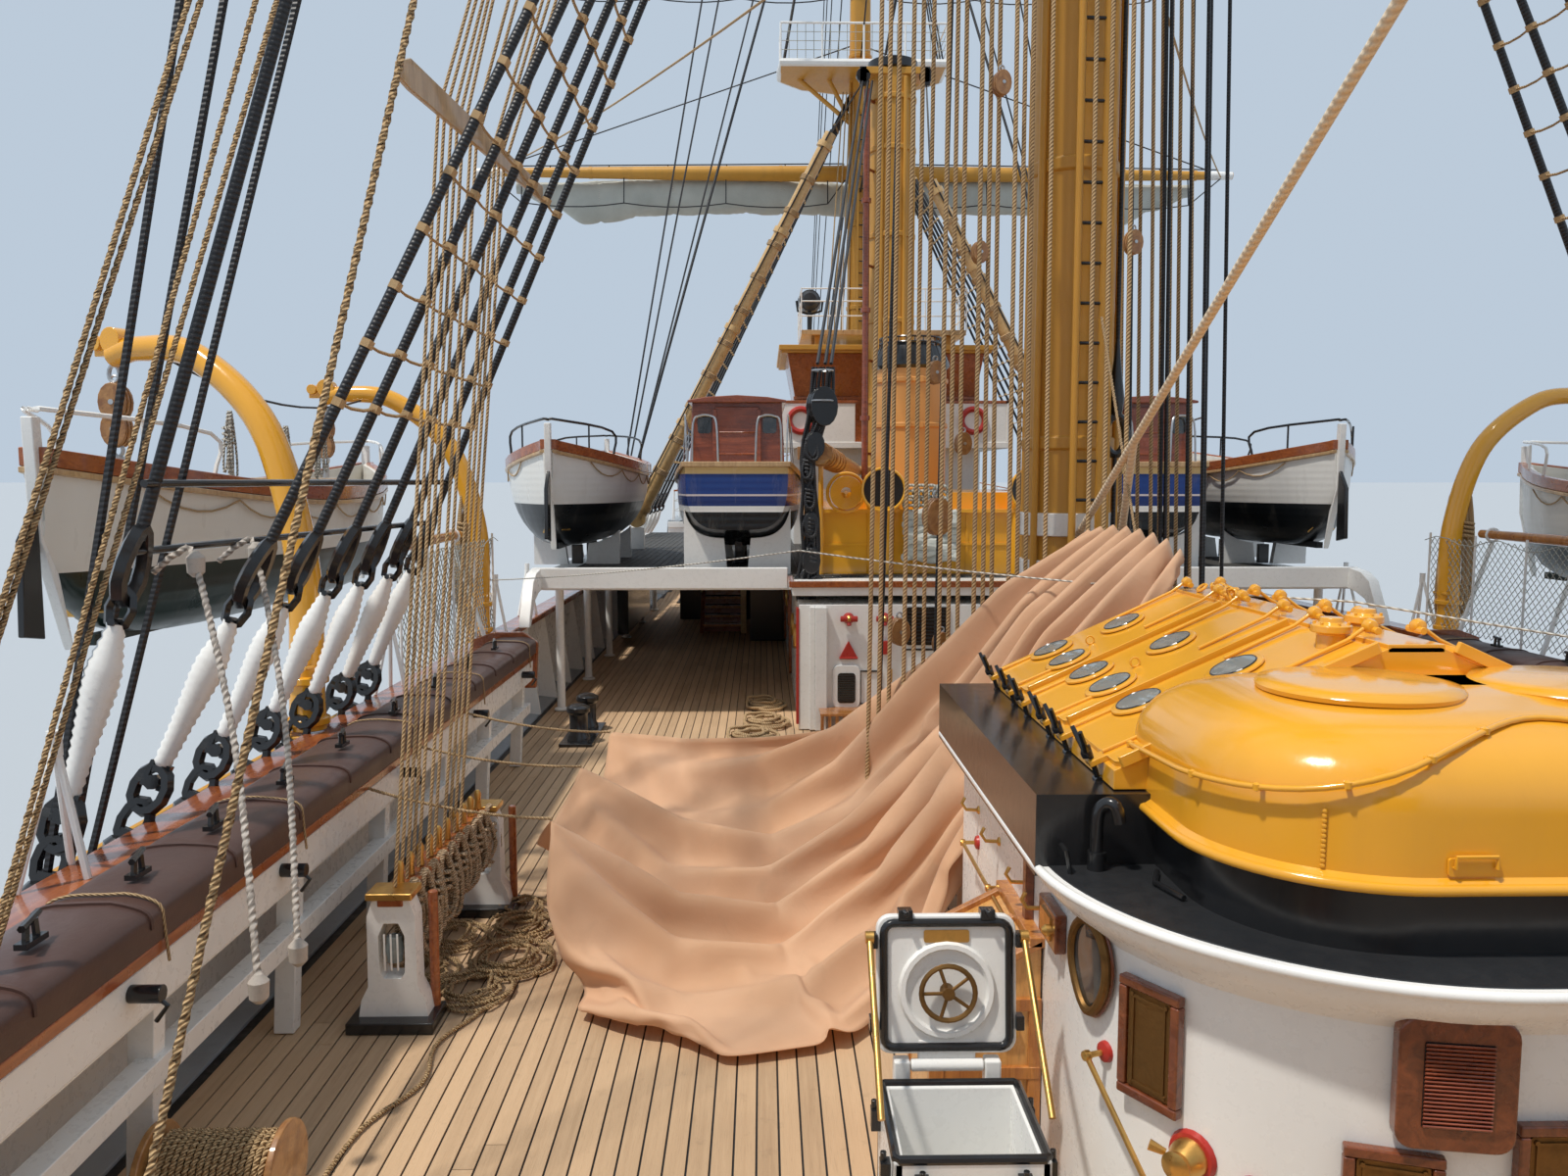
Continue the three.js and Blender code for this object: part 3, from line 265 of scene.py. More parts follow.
def varnished(name, light, dark, grain=(1.5, 14, 14), roughness=0.22):
    """Varnished wood with grain along the first, second or third direction."""
    finish = Finish(name, light, roughness, coat_weight=0.6, coat_roughness=0.08)
    rings = finish.noise(finish.place(*grain), 1.0, 5.0, 0.6, 1.2)
    pores = finish.noise(finish.place(*(g * 7 for g in grain)), 1.0, 2.0)
    worn = finish.noise(finish.place(), 3.0, 4.0, 0.7)
    wood = finish.colours(light, dark, finish.ramp(rings, 0.32, 0.68))
    wood = finish.colours(wood, tuple(c * 0.45 for c in dark), finish.ramp(pores, 0.6, 0.8) * 0.5)
    pale = tuple(min(1.0, c * 1.6 + 0.05) for c in light)
    finish.feed("Base Color", finish.colours(wood, pale, finish.ramp(worn, 0.62, 0.8) * 0.45))
    finish.feed("Roughness", finish.ramp(worn, 0.4, 0.8, roughness, roughness + 0.3))
    finish.relief(rings + pores * 0.4, 0.0015)
    return finish.material


def roped(name, light, dark, strands=3.0, pitch=0.1, depth=0.004, roughness=0.85):
    """Rope: strands that wind round it once in each pitch, darker in the grooves between them as painted
    shade, with fibres and soiled stretches.
    """
    finish = Finish(name, light, roughness)
    along = finish.value("along")
    across = finish.add("ShaderNodeSeparateXYZ", {}, {"Vector": finish.value("around", "Vector")}, "X")
    over = finish.add("ShaderNodeSeparateXYZ", {}, {"Vector": finish.value("around", "Vector")}, "Y")
    angle = across.maths("ARCTAN2", over, across)
    turn = angle * strands - along * (2 * math.pi * strands / (pitch * MODEL))
    lay = turn.maths("SINE", turn) * 0.5 + 0.5
    fibre = finish.noise(finish.place(), 60.0, 3.0, 0.7)
    soil = finish.noise(finish.place(), 1.3, 3.0)
    # painted shade: the colour darkens in the grooves between the strands, where the relief is lowest
    tone = finish.colours(dark, light, finish.ramp(lay, 0.05, 0.7))
    tone = finish.colours(tone, tuple(c * 0.5 for c in light), finish.ramp(fibre, 0.5, 0.85) * 0.6)
    finish.feed("Base Color", finish.colours(tone, dark, finish.ramp(soil, 0.5, 0.75) * 0.35))
    finish.relief(lay + fibre * 0.35, depth)
    return finish.material


def cloth(name, colour, shade, weave=0.0012, roughness=0.9, sheen=0.25, through=0.0):
    """Canvas: fine weave, creases darkened with painted shade, and stains. Thin cloth lets some light
    through.
    """
    finish = Finish(name, colour, roughness, sheen_weight=sheen)
    warp = finish.noise(finish.place(1, 22, 22), 14.0, 2.0)
    weft = finish.noise(finish.place(22, 22, 1), 14.0, 2.0)
    creases = finish.noise(finish.place(), 3.2, 5.0, 0.62, 0.6)
    stains = finish.noise(finish.place(), 0.9, 4.0, 0.6)
    tone = finish.colours(colour, shade, finish.ramp(stains, 0.35, 0.75))
    # painted shade: the cloth's colour is darkened where the creases of its relief lie
    tone = finish.colours(tone, tuple(c * 0.72 for c in colour), finish.ramp(creases, 0.58, 0.8) * 0.4)
    finish.feed("Base Color", tone)
    finish.feed("Roughness", finish.ramp(stains, 0.3, 0.7, roughness - 0.1, min(1.0, roughness + 0.08)))
    finish.relief(warp * 0.3 + weft * 0.3 + creases * 3.0, weave * 3)
    if through:
        glow = finish.add("ShaderNodeBsdfTranslucent", {}, {"Color": (*colour, 1)})
        both = finish.add("ShaderNodeMixShader", {},
                          {0: through, 1: Wire(finish, finish.shader.outputs[0]), 2: glow})
        sink = finish.tree.nodes["Material Output"]
        finish.tree.links.new(both.socket, sink.inputs["Surface"])
    return finish.material


def metal(name, colour, roughness, worn=0.3):
    """Bright metal, dulled in patches."""
    finish = Finish(name, colour, roughness, metallic=1.0)
    patches = finish.noise(finish.place(), 9.0, 4.0, 0.65)
    scratches = finish.noise(finish.place(30, 3, 30), 3.0, 3.0)
    dull = tuple(c * 0.5 for c in colour)
    finish.feed("Base Color", finish.colours(colour, dull, finish.ramp(patches, 0.5, 0.8) * worn * 2))
    finish.feed("Roughness", finish.ramp(patches, 0.3, 0.7, roughness, roughness + worn))
    finish.relief(scratches, 0.0006)
    return finish.material


def glazing(name, colour, roughness=0.06):
    """Window glass with dust over an inside that is not drawn; a dark colour here is painted shade of that
    inside.
    """
    finish = Finish(name, colour, roughness, coat_weight=1.0, coat_roughness=0.03)
    dust = finish.noise(finish.place(), 6.0, 4.0, 0.6)
    finish.feed("Base Color",
                finish.colours(colour, tuple(c + 0.12 for c in colour), finish.ramp(dust, 0.5, 0.8)))
    finish.feed("Roughness", finish.ramp(dust, 0.4, 0.8, roughness, roughness + 0.25))
    return finish.material


def boat_paint(name, bands, roughness=0.25):
    """Boat's side painted in bands by its height above the keel. Bands: (up to, colour)."""
    finish = Finish(name, bands[0][1], roughness)
    level = finish.value("level")
    tone = bands[0][1]
    for (top, _), (_, colour) in zip(bands, bands[1:]):
        tone = finish.colours(tone, colour, level > top)
    runs = finish.noise(finish.place(3, 3, 0.8), 1.2, 4.0, 0.6)
    tone = finish.colours(tone, (0.35, 0.31, 0.24), finish.ramp(runs, 0.55, 0.85) * 0.22)
    finish.feed("Base Color", tone)
    finish.feed("Roughness", finish.ramp(runs, 0.3, 0.8, roughness, roughness + 0.2))
    strakes = level * 60.0
    finish.relief(strakes.maths("SINE", strakes) * 0.2 + runs, 0.003)
    return finish.material


WHITE = painted("white paint", (0.84, 0.83, 0.80), 0.28, 0.04)
OCHRE = painted("ochre mast paint", (0.56, 0.275, 0.035), 0.38, 0.4)
YELLOW = painted("yellow enamel", (0.80, 0.375, 0.022), 0.16, 0.1, coat=0.6)
FUNNEL_PAINT = painted("funnel paint", (0.66, 0.315, 0.085), 0.42, 0.35)
BLACK = painted("black paint", (0.010, 0.010, 0.011), 0.2, 0.05, coat=0.25)
ROOF_GREY = painted("dark roof paint", (0.016, 0.017, 0.019), 0.38, 0.12, coat=0.15)
RED = painted("red paint", (0.42, 0.028, 0.02), 0.3)
GREY = painted("grey paint", (0.30, 0.33, 0.36), 0.45, 0.5)
BOTTOM_RED = painted("antifouling", (0.17, 0.03, 0.022), 0.7, 0.6)
HULL = hull_livery()
TEAK = teak("teak deck", (0.53, 0.36, 0.215), (0.40, 0.26, 0.15))
CAULK = painted("deck caulking", (0.012, 0.011, 0.01), 0.55, 0.3)
RAIL_WOOD = varnished("varnished rail", (0.42, 0.12, 0.03), (0.22, 0.05, 0.014))
HATCH_WOOD = varnished("varnished locker", (0.60, 0.25, 0.06), (0.34, 0.11, 0.025), (14, 14, 1.5))
MAHOGANY = varnished("mahogany", (0.34, 0.085, 0.035), (0.17, 0.036, 0.015), (14, 1.5, 14))
FRAME_WOOD = varnished("frame wood", (0.24, 0.065, 0.022), (0.11, 0.027, 0.010))
HONEY_WOOD = varnished("locker panels", (0.80, 0.44, 0.14), (0.60, 0.28, 0.07), (14, 14, 1.5))
SPAR_WOOD = varnished("pale spar", (0.66, 0.43, 0.18), (0.50, 0.30, 0.11), (9, 9, 9), 0.4)
# near-black colour for the boat deck's planks
DARK_DECK = painted("dark deck paint", (0.05, 0.048, 0.044), 0.6, 0.5)
BLOCK_WOOD = varnished("block wood", (0.50, 0.25, 0.08), (0.26, 0.105, 0.03), (8, 8, 8), 0.4)
PALE_WOOD = varnished("pale wood", (0.60, 0.40, 0.20), (0.42, 0.25, 0.11), (14, 14, 1.5), 0.4)
HEMP = roped("hemp rope", (0.64, 0.44, 0.23), (0.22, 0.125, 0.05))
COIL_ROPE = roped("bleached rope", (0.70, 0.53, 0.35), (0.30, 0.19, 0.10))
TAIL_CORD = roped("grey cord", (0.58, 0.52, 0.46), (0.27, 0.235, 0.20), 1.0, 0.06, 0.004)
MANILA = roped("pale rope", (0.60, 0.42, 0.23), (0.25, 0.15, 0.07))
WHITE_CORD = roped("white cord", (0.72, 0.69, 0.62), (0.34, 0.31, 0.26), 1.0, 0.07, 0.006)
STRAP = roped("tan strap", (0.80, 0.66, 0.48), (0.66, 0.52, 0.36), 2.0, 0.11, 0.004)
WIRE = roped("black wire", (0.022, 0.022, 0.026), (0.006, 0.006, 0.007), 1.0, 0.035, 0.003, 0.45)
SAIL = cloth("sailcloth", (0.52, 0.53, 0.48), (0.40, 0.41, 0.37))
AWNING = cloth("awning canvas", (0.85, 0.56, 0.355), (0.76, 0.465, 0.27), 0.0008, 0.82, 0.15, 0.32)
COVER = cloth("brown cover", (0.082, 0.038, 0.028), (0.052, 0.024, 0.018), 0.0007, 0.42, 0.06)
NET_CORD = roped("net cord", (0.50, 0.50, 0.44), (0.24, 0.23, 0.19), 1.0, 0.05, 0.002)
BRASS = metal("brass", (0.72, 0.43, 0.13), 0.22)
BRONZE = metal("bronze", (0.45, 0.27, 0.10), 0.35)
STEEL = metal("steel tube", (0.55, 0.56, 0.57), 0.28)
# near-black glass: painted shade of the unlit insides behind windows and ports
GLASS = glazing("dark glass", (0.012, 0.015, 0.017))
PORT_GLASS = glazing("port glass", (0.21, 0.245, 0.25), 0.15)
PLATE_BRONZE = metal("plate bronze", (0.24, 0.135, 0.05), 0.42)
GILT = metal("gilding", (0.78, 0.50, 0.12), 0.3)


# Shells: a shell is (points, faces) in metres of ship


def outward(shell):
    """The shell with its faces turned out, judged by the volume they close."""
    points, faces = shell
    corners = [(f[0], f[i], f[i + 1]) for f in faces for i in range(1, len(f) - 1)]
    a, b, c = (points[[t[k] for t in corners]] for k in range(3))
    if np.einsum("ij,ij->i", a, np.cross(b, c)).sum() < 0:
        faces = [f[::-1] for f in faces]
    return points, faces


def merged(shells):
    points = []
    faces = []
    count = 0
    for part, part_faces in shells:
        points.append(part)
        faces += [tuple(i + count for i in f) for f in part_faces]
        count += len(part)
    return np.concatenate(points), faces


def loft(rings, closed=True, caps=True):
    """A skin over rings of equally many points."""
    rings = np.asarray(rings, float)
    count, width = rings.shape[:2]
    faces = []
    for i in range(count - 1):
        for j in range(width if closed else width - 1):
            k = (j + 1) % width
            a = i * width
            faces.append((a + j, a + k, a + width + k, a + width + j))
    if caps and closed:
        faces.append(tuple(range(width))[::-1])
        faces.append(tuple(range((count - 1) * width, count * width)))
    shell = rings.reshape(-1, 3), faces
    return outward(shell) if closed and caps else shell


def box(xs, ys, zs):
    (x0, x1), (y0, y1), (z0, z1) = xs, ys, zs
    ring = [(x0, y0), (x1, y0), (x1, y1), (x0, y1)]
    return loft([[(x, y, z) for x, y in ring] for z in (z0, z1)])


def prism(outline, low, high, axis=2):
    """An outline in the plane square to an axis, between two places on that axis."""
    order = {0: (2, 0, 1), 1: (0, 2, 1), 2: (0, 1, 2)}[axis]
    return loft([[tuple((a, b, level)[k] for k in order) for a, b in outline] for level in (low, high)])


def basis(direction, up=(0, 0, 1)):
    """Two directions square to a line: across it, and up as far as it can be."""
    forward = Vector(direction).normalized()
    across = Vector(up).cross(forward)
    if across.length < 1e-3:
        across = Vector((0, 1, 0)).cross(forward)
    across.normalize()
    return np.array(across), np.array(forward.cross(across))


def bar(start, end, radius, far_radius=None, sides=12):
    """A round bar between two points."""
    far_radius = radius if far_radius is None else far_radius
    u, v = basis(np.subtract(end, start))
    rings = []
    for centre, r in ((start, radius), (end, far_radius)):
        angles = [2 * math.pi * i / sides for i in range(sides)]
        rings.append([np.add(centre, r * (math.cos(a) * u + math.sin(a) * v)) for a in angles])
    return loft(rings)


def turned(profile, centre, axis=(0, 0, 1), sides=20):
    """A lathe-turned solid. Profile: (radius, distance along the axis), from one end to the other."""
    u, v = basis(axis)
    w = np.array(Vector(axis).normalized())
    angles = [2 * math.pi * i / sides for i in range(sides)]
    rings = []
    for r, along in profile:
        middle = np.add(centre, along * w)
        rings.append([middle + max(r, 1e-4) * (math.cos(a) * u + math.sin(a) * v) for a in angles])
    return loft(rings)


def tube(points, radius, sides=8, closed=False):
    """A round tube along points. The radius is one number, or one for each point."""
    points = np.asarray(points, float)
    count = len(points)
    radii = np.broadcast_to(radius, (count,))
    if closed:
        ahead = np.roll(points, -1, 0) - np.roll(points, 1, 0)
    else:
        ahead = np.gradient(points, axis=0)
    u, _ = basis(ahead[0])
    rings = []
    for i in range(count):
        w = ahead[i] / np.linalg.norm(ahead[i])
        u = u - np.dot(u, w) * w
        u = u / np.linalg.norm(u)
        v = np.cross(w, u)
        angles = [2 * math.pi * k / sides for k in range(sides)]
        rings.append([points[i] + radii[i] * (math.cos(a) * u + math.sin(a) * v) for a in angles])
    if not closed:
        return loft(rings)
    return outward(loft(rings + rings[:1], caps=False))


def hoop(centre, axis, radius, thickness, steps=24, sides=6):
    u, v = basis(axis)
    angles = [2 * math.pi * i / steps for i in range(steps)]
    return tube([np.add(centre, radius * (math.cos(a) * u + math.sin(a) * v)) for a in angles],
                thickness, sides, closed=True)


def curve(points, steps=8):
    """A smooth line through points."""
    points = np.asarray(points, float)
    padded = np.concatenate([[2 * points[0] - points[1]], points, [2 * points[-1] - points[-2]]])
    line = []
    for a, b, c, d in zip(padded, padded[1:], padded[2:], padded[3:]):
        for i in range(steps):
            t = i / steps
            line.append(0.5 * (2 * b + (c - a) * t + (2 * a - 5 * b + 4 * c - d) * t * t
                               + (3 * b - a - 3 * c + d) * t ** 3))
    return [*line, points[-1]]


def sagging(start, end, drop, steps=10):
    """A line that hangs between two points."""
    a, b = np.array(start, float), np.array(end, float)
    shares = [i / steps for i in range(steps + 1)]
    return [a + (b - a) * t - np.array((0, 0, 4 * drop * t * (1 - t))) for t in shares]


def moved(shell, offset):
    return shell[0] + np.array(offset, float), shell[1]


def swung(shell, angle, axis, about=(0, 0, 0)):
    """The shell turned by an angle in degrees round an axis through a point."""
    c, s = math.cos(math.radians(angle)), math.sin(math.radians(angle))
    x, y, z = Vector(axis).normalized()
    matrix = np.array([[c + x * x * (1 - c), x * y * (1 - c) - z * s, x * z * (1 - c) + y * s],
                       [y * x * (1 - c) + z * s, c + y * y * (1 - c), y * z * (1 - c) - x * s],
                       [z * x * (1 - c) - y * s, z * y * (1 - c) + x * s, c + z * z * (1 - c)]])
    return (shell[0] - np.array(about, float)) @ matrix.T + np.array(about, float), shell[1]


def mirrored(shell):
    return shell[0] * (1, -1, 1), [f[::-1] for f in shell[1]]


def on_side(shells, sign):
    return shells if sign > 0 else [mirrored(s) for s in shells]


def piece(name, shells, finish, body="ship", replaces=(), bevel=0.0, angle=38, values=None, soft=0):
    """One object from shells. Bevel is an edge width in metres of ship; values are point attributes."""
    points, faces = merged(shells)
    mesh = bpy.data.meshes.new(name)
    mesh.from_pydata((points * MODEL).tolist(), [], faces)
    for title, numbers in (values or {}).items():
        mesh.attributes.new(title, "FLOAT",
                            "POINT").data.foreach_set("value", np.asarray(numbers, np.float32))
    return placed(name, mesh, finish, body, replaces, bevel, angle, soft)


def placed(name, mesh, finish, body="ship", replaces=(), bevel=0.0, angle=38, soft=0):
    """Links a mesh as a piece that rides on a body, or on none."""
    mesh.name = name
    mesh.materials.clear()
    mesh.materials.append(finish)
    mesh.shade_smooth()
    mesh.set_sharp_from_angle(angle=math.radians(angle))
    item = bpy.data.objects.new(name, mesh)
    bpy.context.scene.collection.objects.link(item)
    if bevel:
        rounding = item.modifiers.new("rounded edges", "BEVEL")
        rounding.width = bevel * MODEL
        rounding.segments = 2
        rounding.limit_method = "ANGLE"
        rounding.angle_limit = math.radians(40)
        rounding.harden_normals = True
    if soft:
        smoothing = item.modifiers.new("smooth", "SUBSURF")
        smoothing.levels = soft
        smoothing.render_levels = soft
    if body:
        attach(item, body)
    if replaces:
        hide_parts(*replaces)
    return item


# What repeats or follows a line is grown by node trees


def grown_tree(name, inputs, build):
    """A geometry tree. Inputs: (title, socket type); build returns its last wire from the given ones."""
    tree = bpy.data.node_groups.new(name, "GeometryNodeTree")
    tree.interface.new_socket("Geometry", in_out="INPUT", socket_type="NodeSocketGeometry")
    for title, kind in (*inputs, ("Finish", "NodeSocketMaterial")):
        tree.interface.new_socket(title, in_out="INPUT", socket_type=kind)
    tree.interface.new_socket("Geometry", in_out="OUTPUT", socket_type="NodeSocketGeometry")
    net = Net(tree)
    source = tree.nodes.new("NodeGroupInput")
    given = {s.name: Wire(net, s) for s in source.outputs if s.name}
    shape = build(net, given)
    real = net.add("GeometryNodeRealizeInstances", {}, {"Geometry": shape})
    finished = net.add("GeometryNodeSetMaterial", {}, {"Geometry": real, "Material": given["Finish"]})
    sink = tree.nodes.new("NodeGroupOutput")
    tree.links.new(finished.socket, sink.inputs[0])
    return tree


def stored(net, shape, title, value, kind="FLOAT"):
    settings = {"data_type": kind, "domain": "POINT"}
    return net.add("GeometryNodeStoreNamedAttribute", settings,
                   {"Geometry": shape, "Name": title, "Value": value})


def line_shape(net, given):
    """A round line, with its length along it and its direction around it stored for the finish."""
    curve = net.add("GeometryNodeMeshToCurve", {}, {"Mesh": given["Geometry"]})
    length = net.add("GeometryNodeSplineParameter", output="Length")
    curve = stored(net, curve, "along", length)
    ring = net.add("GeometryNodeCurvePrimitiveCircle", {}, {"Resolution": given["Sides"], "Radius": 1.0})
    ring = stored(net, ring, "around", net.add("GeometryNodeInputPosition"), "FLOAT_VECTOR")
    ring = net.add("GeometryNodeTransform", {}, {"Geometry": ring, "Scale": scaled(net, given["Radius"])})
    return net.add("GeometryNodeCurveToMesh", {}, {"Curve": curve, "Profile Curve": ring, "Fill Caps": True})


def scaled(net, size):
    return net.add("ShaderNodeCombineXYZ", {}, {"X": size, "Y": size, "Z": size})


def laid_shape(net, given):
    """A laid rope: a lobed section that winds round as it goes along."""
    curve = net.add("GeometryNodeMeshToCurve", {}, {"Mesh": given["Geometry"]})
    spacing = given["Pitch"] / given["Steps"]
    curve = net.add("GeometryNodeResampleCurve", {"mode": "LENGTH"}, {"Curve": curve, "Length": spacing})
    length = net.add("GeometryNodeSplineParameter", output="Length")
    curve = stored(net, curve, "along", length)
    turn = length / given["Pitch"] * (2 * math.pi)
    curve = net.add("GeometryNodeSetCurveTilt", {}, {"Curve": curve, "Tilt": turn})
    ring = net.add("GeometryNodeCurvePrimitiveCircle", {}, {"Resolution": given["Sides"], "Radius": 1.0})
    ring = stored(net, ring, "around", net.add("GeometryNodeInputPosition"), "FLOAT_VECTOR")
    angle = net.add("GeometryNodeSplineParameter", output="Factor") * (2 * math.pi) * given["Strands"]
    reach = (angle.maths("COSINE", angle) * 0.14 + 0.86) * given["Radius"]
    here = net.add("GeometryNodeInputPosition")
    place = net.add("ShaderNodeVectorMath", {"operation": "SCALE"}, {0: here, "Scale": reach})
    ring = net.add("GeometryNodeSetPosition", {}, {"Geometry": ring, "Position": place})
    return net.add("GeometryNodeCurveToMesh", {}, {"Curve": curve, "Profile Curve": ring, "Fill Caps": True})


def strip_shape(net, given):
    """A flat strip, such as a plank or a batten, lying level along a line."""
    curve = net.add("GeometryNodeMeshToCurve", {}, {"Mesh": given["Geometry"]})
    curve = net.add("GeometryNodeSetCurveNormal", {"mode": "Z_UP"}, {"Curve": curve})
    values = {"Width": given["Width"], "Height": given["Thickness"]}
    section = net.add("GeometryNodeCurvePrimitiveQuadrilateral", {}, values)
    return net.add("GeometryNodeCurveToMesh", {},
                   {"Curve": curve, "Profile Curve": section, "Fill Caps": True})


def copies_shape(net, given):
    """Copies of a shape on points: its top looks along "facing" and its front along "heading"."""
    aim = {}
    for title in ("facing", "heading", "size"):
        settings = {"data_type": "FLOAT_VECTOR"}
        aim[title] = net.add("GeometryNodeInputNamedAttribute", settings, {"Name": title})
    turn = net.add("FunctionNodeAlignRotationToVector", {"axis": "Z"}, {"Vector": aim["facing"]})
    turn = net.add("FunctionNodeAlignRotationToVector", {"axis": "X", "pivot_axis": "Z"},
                   {"Rotation": turn, "Vector": aim["heading"]})
    shape = net.add("GeometryNodeObjectInfo", {}, {"Object": given["Shape"]}, "Geometry")
    values = {"Points": given["Geometry"], "Instance": shape, "Rotation": turn, "Scale": aim["size"]}
    return net.add("GeometryNodeInstanceOnPoints", {}, values)


FLOAT = "NodeSocketFloat"
WHOLE = "NodeSocketInt"
LINE_TREE = grown_tree("round line", (("Radius", FLOAT), ("Sides", WHOLE)), line_shape)
LAID_TREE = grown_tree(
    "laid rope",
    (("Radius", FLOAT), ("Sides", WHOLE), ("Strands", FLOAT), ("Pitch", FLOAT), ("Steps", FLOAT)),
    laid_shape)
STRIP_TREE = grown_tree("strip", (("Width", FLOAT), ("Thickness", FLOAT)), strip_shape)
COPIES_TREE = grown_tree("copies", (("Shape", "NodeSocketObject"),), copies_shape)


def grown(mesh, tree, values):
    """The plain mesh that a tree makes from a mesh, with its inputs set by identifier."""
    source = bpy.data.objects.new("grown", mesh)
    bpy.context.scene.collection.objects.link(source)
    modifier = source.modifiers.new("grow", "NODES")
    modifier.node_group = tree
    for item in tree.interface.items_tree:
        if item.item_type == "SOCKET" and item.in_out == "INPUT" and item.name in values:
            modifier[item.identifier] = values[item.name]
    graph = bpy.context.evaluated_depsgraph_get()
    made = bpy.data.meshes.new_from_object(source.evaluated_get(graph))
    source.modifiers.remove(modifier)
    bpy.data.objects.remove(source)
    bpy.data.meshes.remove(mesh)
    return made


def routed(routes, tones=None):
    """A mesh of open lines, one for each route, with a tone for each if given."""
    points = []
    edges = []
    shades = []
    for number, route in enumerate(routes):
        first = len(points)
        points += [tuple(c * MODEL for c in p) for p in route]
        edges += [(first + i, first + i + 1) for i in range(len(route) - 1)]
        shades += [tones[number] if tones else 0.0] * len(route)
    mesh = bpy.data.meshes.new("routes")
    mesh.from_pydata(points, edges, [])
    mesh.attributes.new("tone", "FLOAT", "POINT").data.foreach_set("value", np.asarray(shades, np.float32))
    return mesh


def lines(name, routes, diameter, finish, body="ship", sides=6, replaces=()):
    """Plain round lines along routes."""
    values = {"Radius": diameter / 2 * MODEL, "Sides": sides, "Finish": finish}
    return placed(name, grown(routed(routes), LINE_TREE, values), finish, body, replaces, angle=70)


def laid_ropes(name, routes, diameter, finish=None, body="ship", pitch=3.4, steps=8, sides=9):
    """Laid ropes seen from near. Pitch is one turn of a strand, in diameters."""
    values = {"Radius": diameter / 2 * MODEL, "Sides": sides, "Strands": 3.0,
              "Pitch": pitch * diameter * MODEL,
              "Steps": float(steps), "Finish": finish or HEMP}
    return placed(name, grown(routed(routes), LAID_TREE, values), finish or HEMP, body, (), angle=80)


def copies(name, shells, spots, finish, body="ship", replaces=(), angle=38):
    """Copies of shells on spots: (place, facing, heading, size), the last two may be left out."""
    points, faces = merged(shells)
    shape = bpy.data.objects.new("shape", bpy.data.meshes.new("shape"))
    shape.data.from_pydata((points * MODEL).tolist(), [], faces)
    rows = [(*spot, *((0, 0, 1), (1, 0, 0), 1.0)[len(spot) - 1:]) for spot in spots]
    mesh = bpy.data.meshes.new("spots")
    mesh.from_pydata([tuple(c * MODEL for c in row[0]) for row in rows], [], [])
    sizes = [np.broadcast_to(row[3], (3,)) for row in rows]
    for title, numbers in (("facing", [r[1] for r in rows]), ("heading", [r[2] for r in rows]),
                           ("size", sizes)):
        data = mesh.attributes.new(title, "FLOAT_VECTOR", "POINT").data
        data.foreach_set("vector", np.asarray(numbers, np.float32).ravel())
    made = grown(mesh, COPIES_TREE, {"Shape": shape, "Finish": finish})
    bpy.data.objects.remove(shape)
    return placed(name, made, finish, body, replaces, angle=angle)


def spaced(start, end, step):
    """Evenly spaced numbers between two ends, no further apart than the step."""
    count = max(1, math.ceil((end - start) / step - 1e-6))
    return [start + (end - start) * i / count for i in range(count + 1)]


# Hull form


def slope(a, b, c):
    before = (b[1] - a[1]) / (b[0] - a[0] or 1)
    after = (c[1] - b[1]) / (c[0] - b[0] or 1)
    return 0 if before * after <= 0 else 2 * before * after / (before + after)


def frame_at(x):
    """The hull's sizes at a place, by name."""
    last = len(HULL_FRAMES) - 1
    i = 0
    while i < last - 1 and HULL_FRAMES[i + 1][0] < x:
        i += 1
    rows = [HULL_FRAMES[k] for k in (max(i - 1, 0), i, i + 1, min(i + 2, last))]
    t = (x - rows[1][0]) / (rows[2][0] - rows[1][0])
    sizes = {}
    for column, title in enumerate(HULL_COLUMNS):
        points = [(row[0], row[column]) for row in rows]
        span = points[2][0] - points[1][0]
        m0, m1 = slope(*points[:3]), slope(*points[1:])
        sizes[title] = ((2 * t ** 3 - 3 * t * t + 1) * points[1][1] + (t ** 3 - 2 * t * t + t) * span * m0
                        + (3 * t * t - 2 * t ** 3) * points[2][1] + (t ** 3 - t * t) * span * m1)
    return sizes


def side_point(x, inset, height, sign=1):
    """A point on the ship's side: in from the outer plating, and above the main deck."""
    f = frame_at(x)
    return (x, sign * (f["edge"] - LEAN * height - inset), f["deck"] + height)


def side_strip(start, end, section, step=1.2):
    return loft([[side_point(x, inset, h) for inset, h in section] for x in spaced(start, end, step)])


def hull_point(x, share):
    """A point on the hull's skin: 0 at the keel, 1 at its widest, 2 at the deck's edge."""
    f = frame_at(x)
    if share <= 1:
        power = 2 / f["fullness"]
        y = KEEL_HALF + (f["beam"] - KEEL_HALF) * math.sin(math.pi / 2 * share) ** power
        return (x, y,
                f["waist"] - (f["waist"] - f["bottom"]) * max(0.0, math.cos(math.pi / 2 * share)) ** power)
    s = share - 1
    return (x, f["beam"] + (f["edge"] - f["beam"]) * s ** 1.5, f["waist"] + (f["deck"] - f["waist"]) * s)


def hull_side(x, level):
    """Half breadth of the hull where it is that far above (or below) the deck's edge."""
    f = frame_at(x)
    s = (f["deck"] + level - f["waist"]) / (f["deck"] - f["waist"])
    return f["beam"] + (f["edge"] - f["beam"]) * max(0.0, s) ** 1.5


DECK_DROP = 0.03  # the deck plate lies this far below the planks' top


# View, light and floor

EYE = (-17.2, 2.95, DECK + 3.8)
EYE_DOWN = 5.33
EYE_STARBOARD = 1.07
FOCAL_LENGTH = 26.55
TO_SUN = (-0.21, 0.35, 0.91)


def aimed(item, place, toward):
    item.location = place
    item.rotation_euler = Vector(toward).to_track_quat("-Z", "Y").to_euler()
    bpy.context.scene.collection.objects.link(item)
    return item


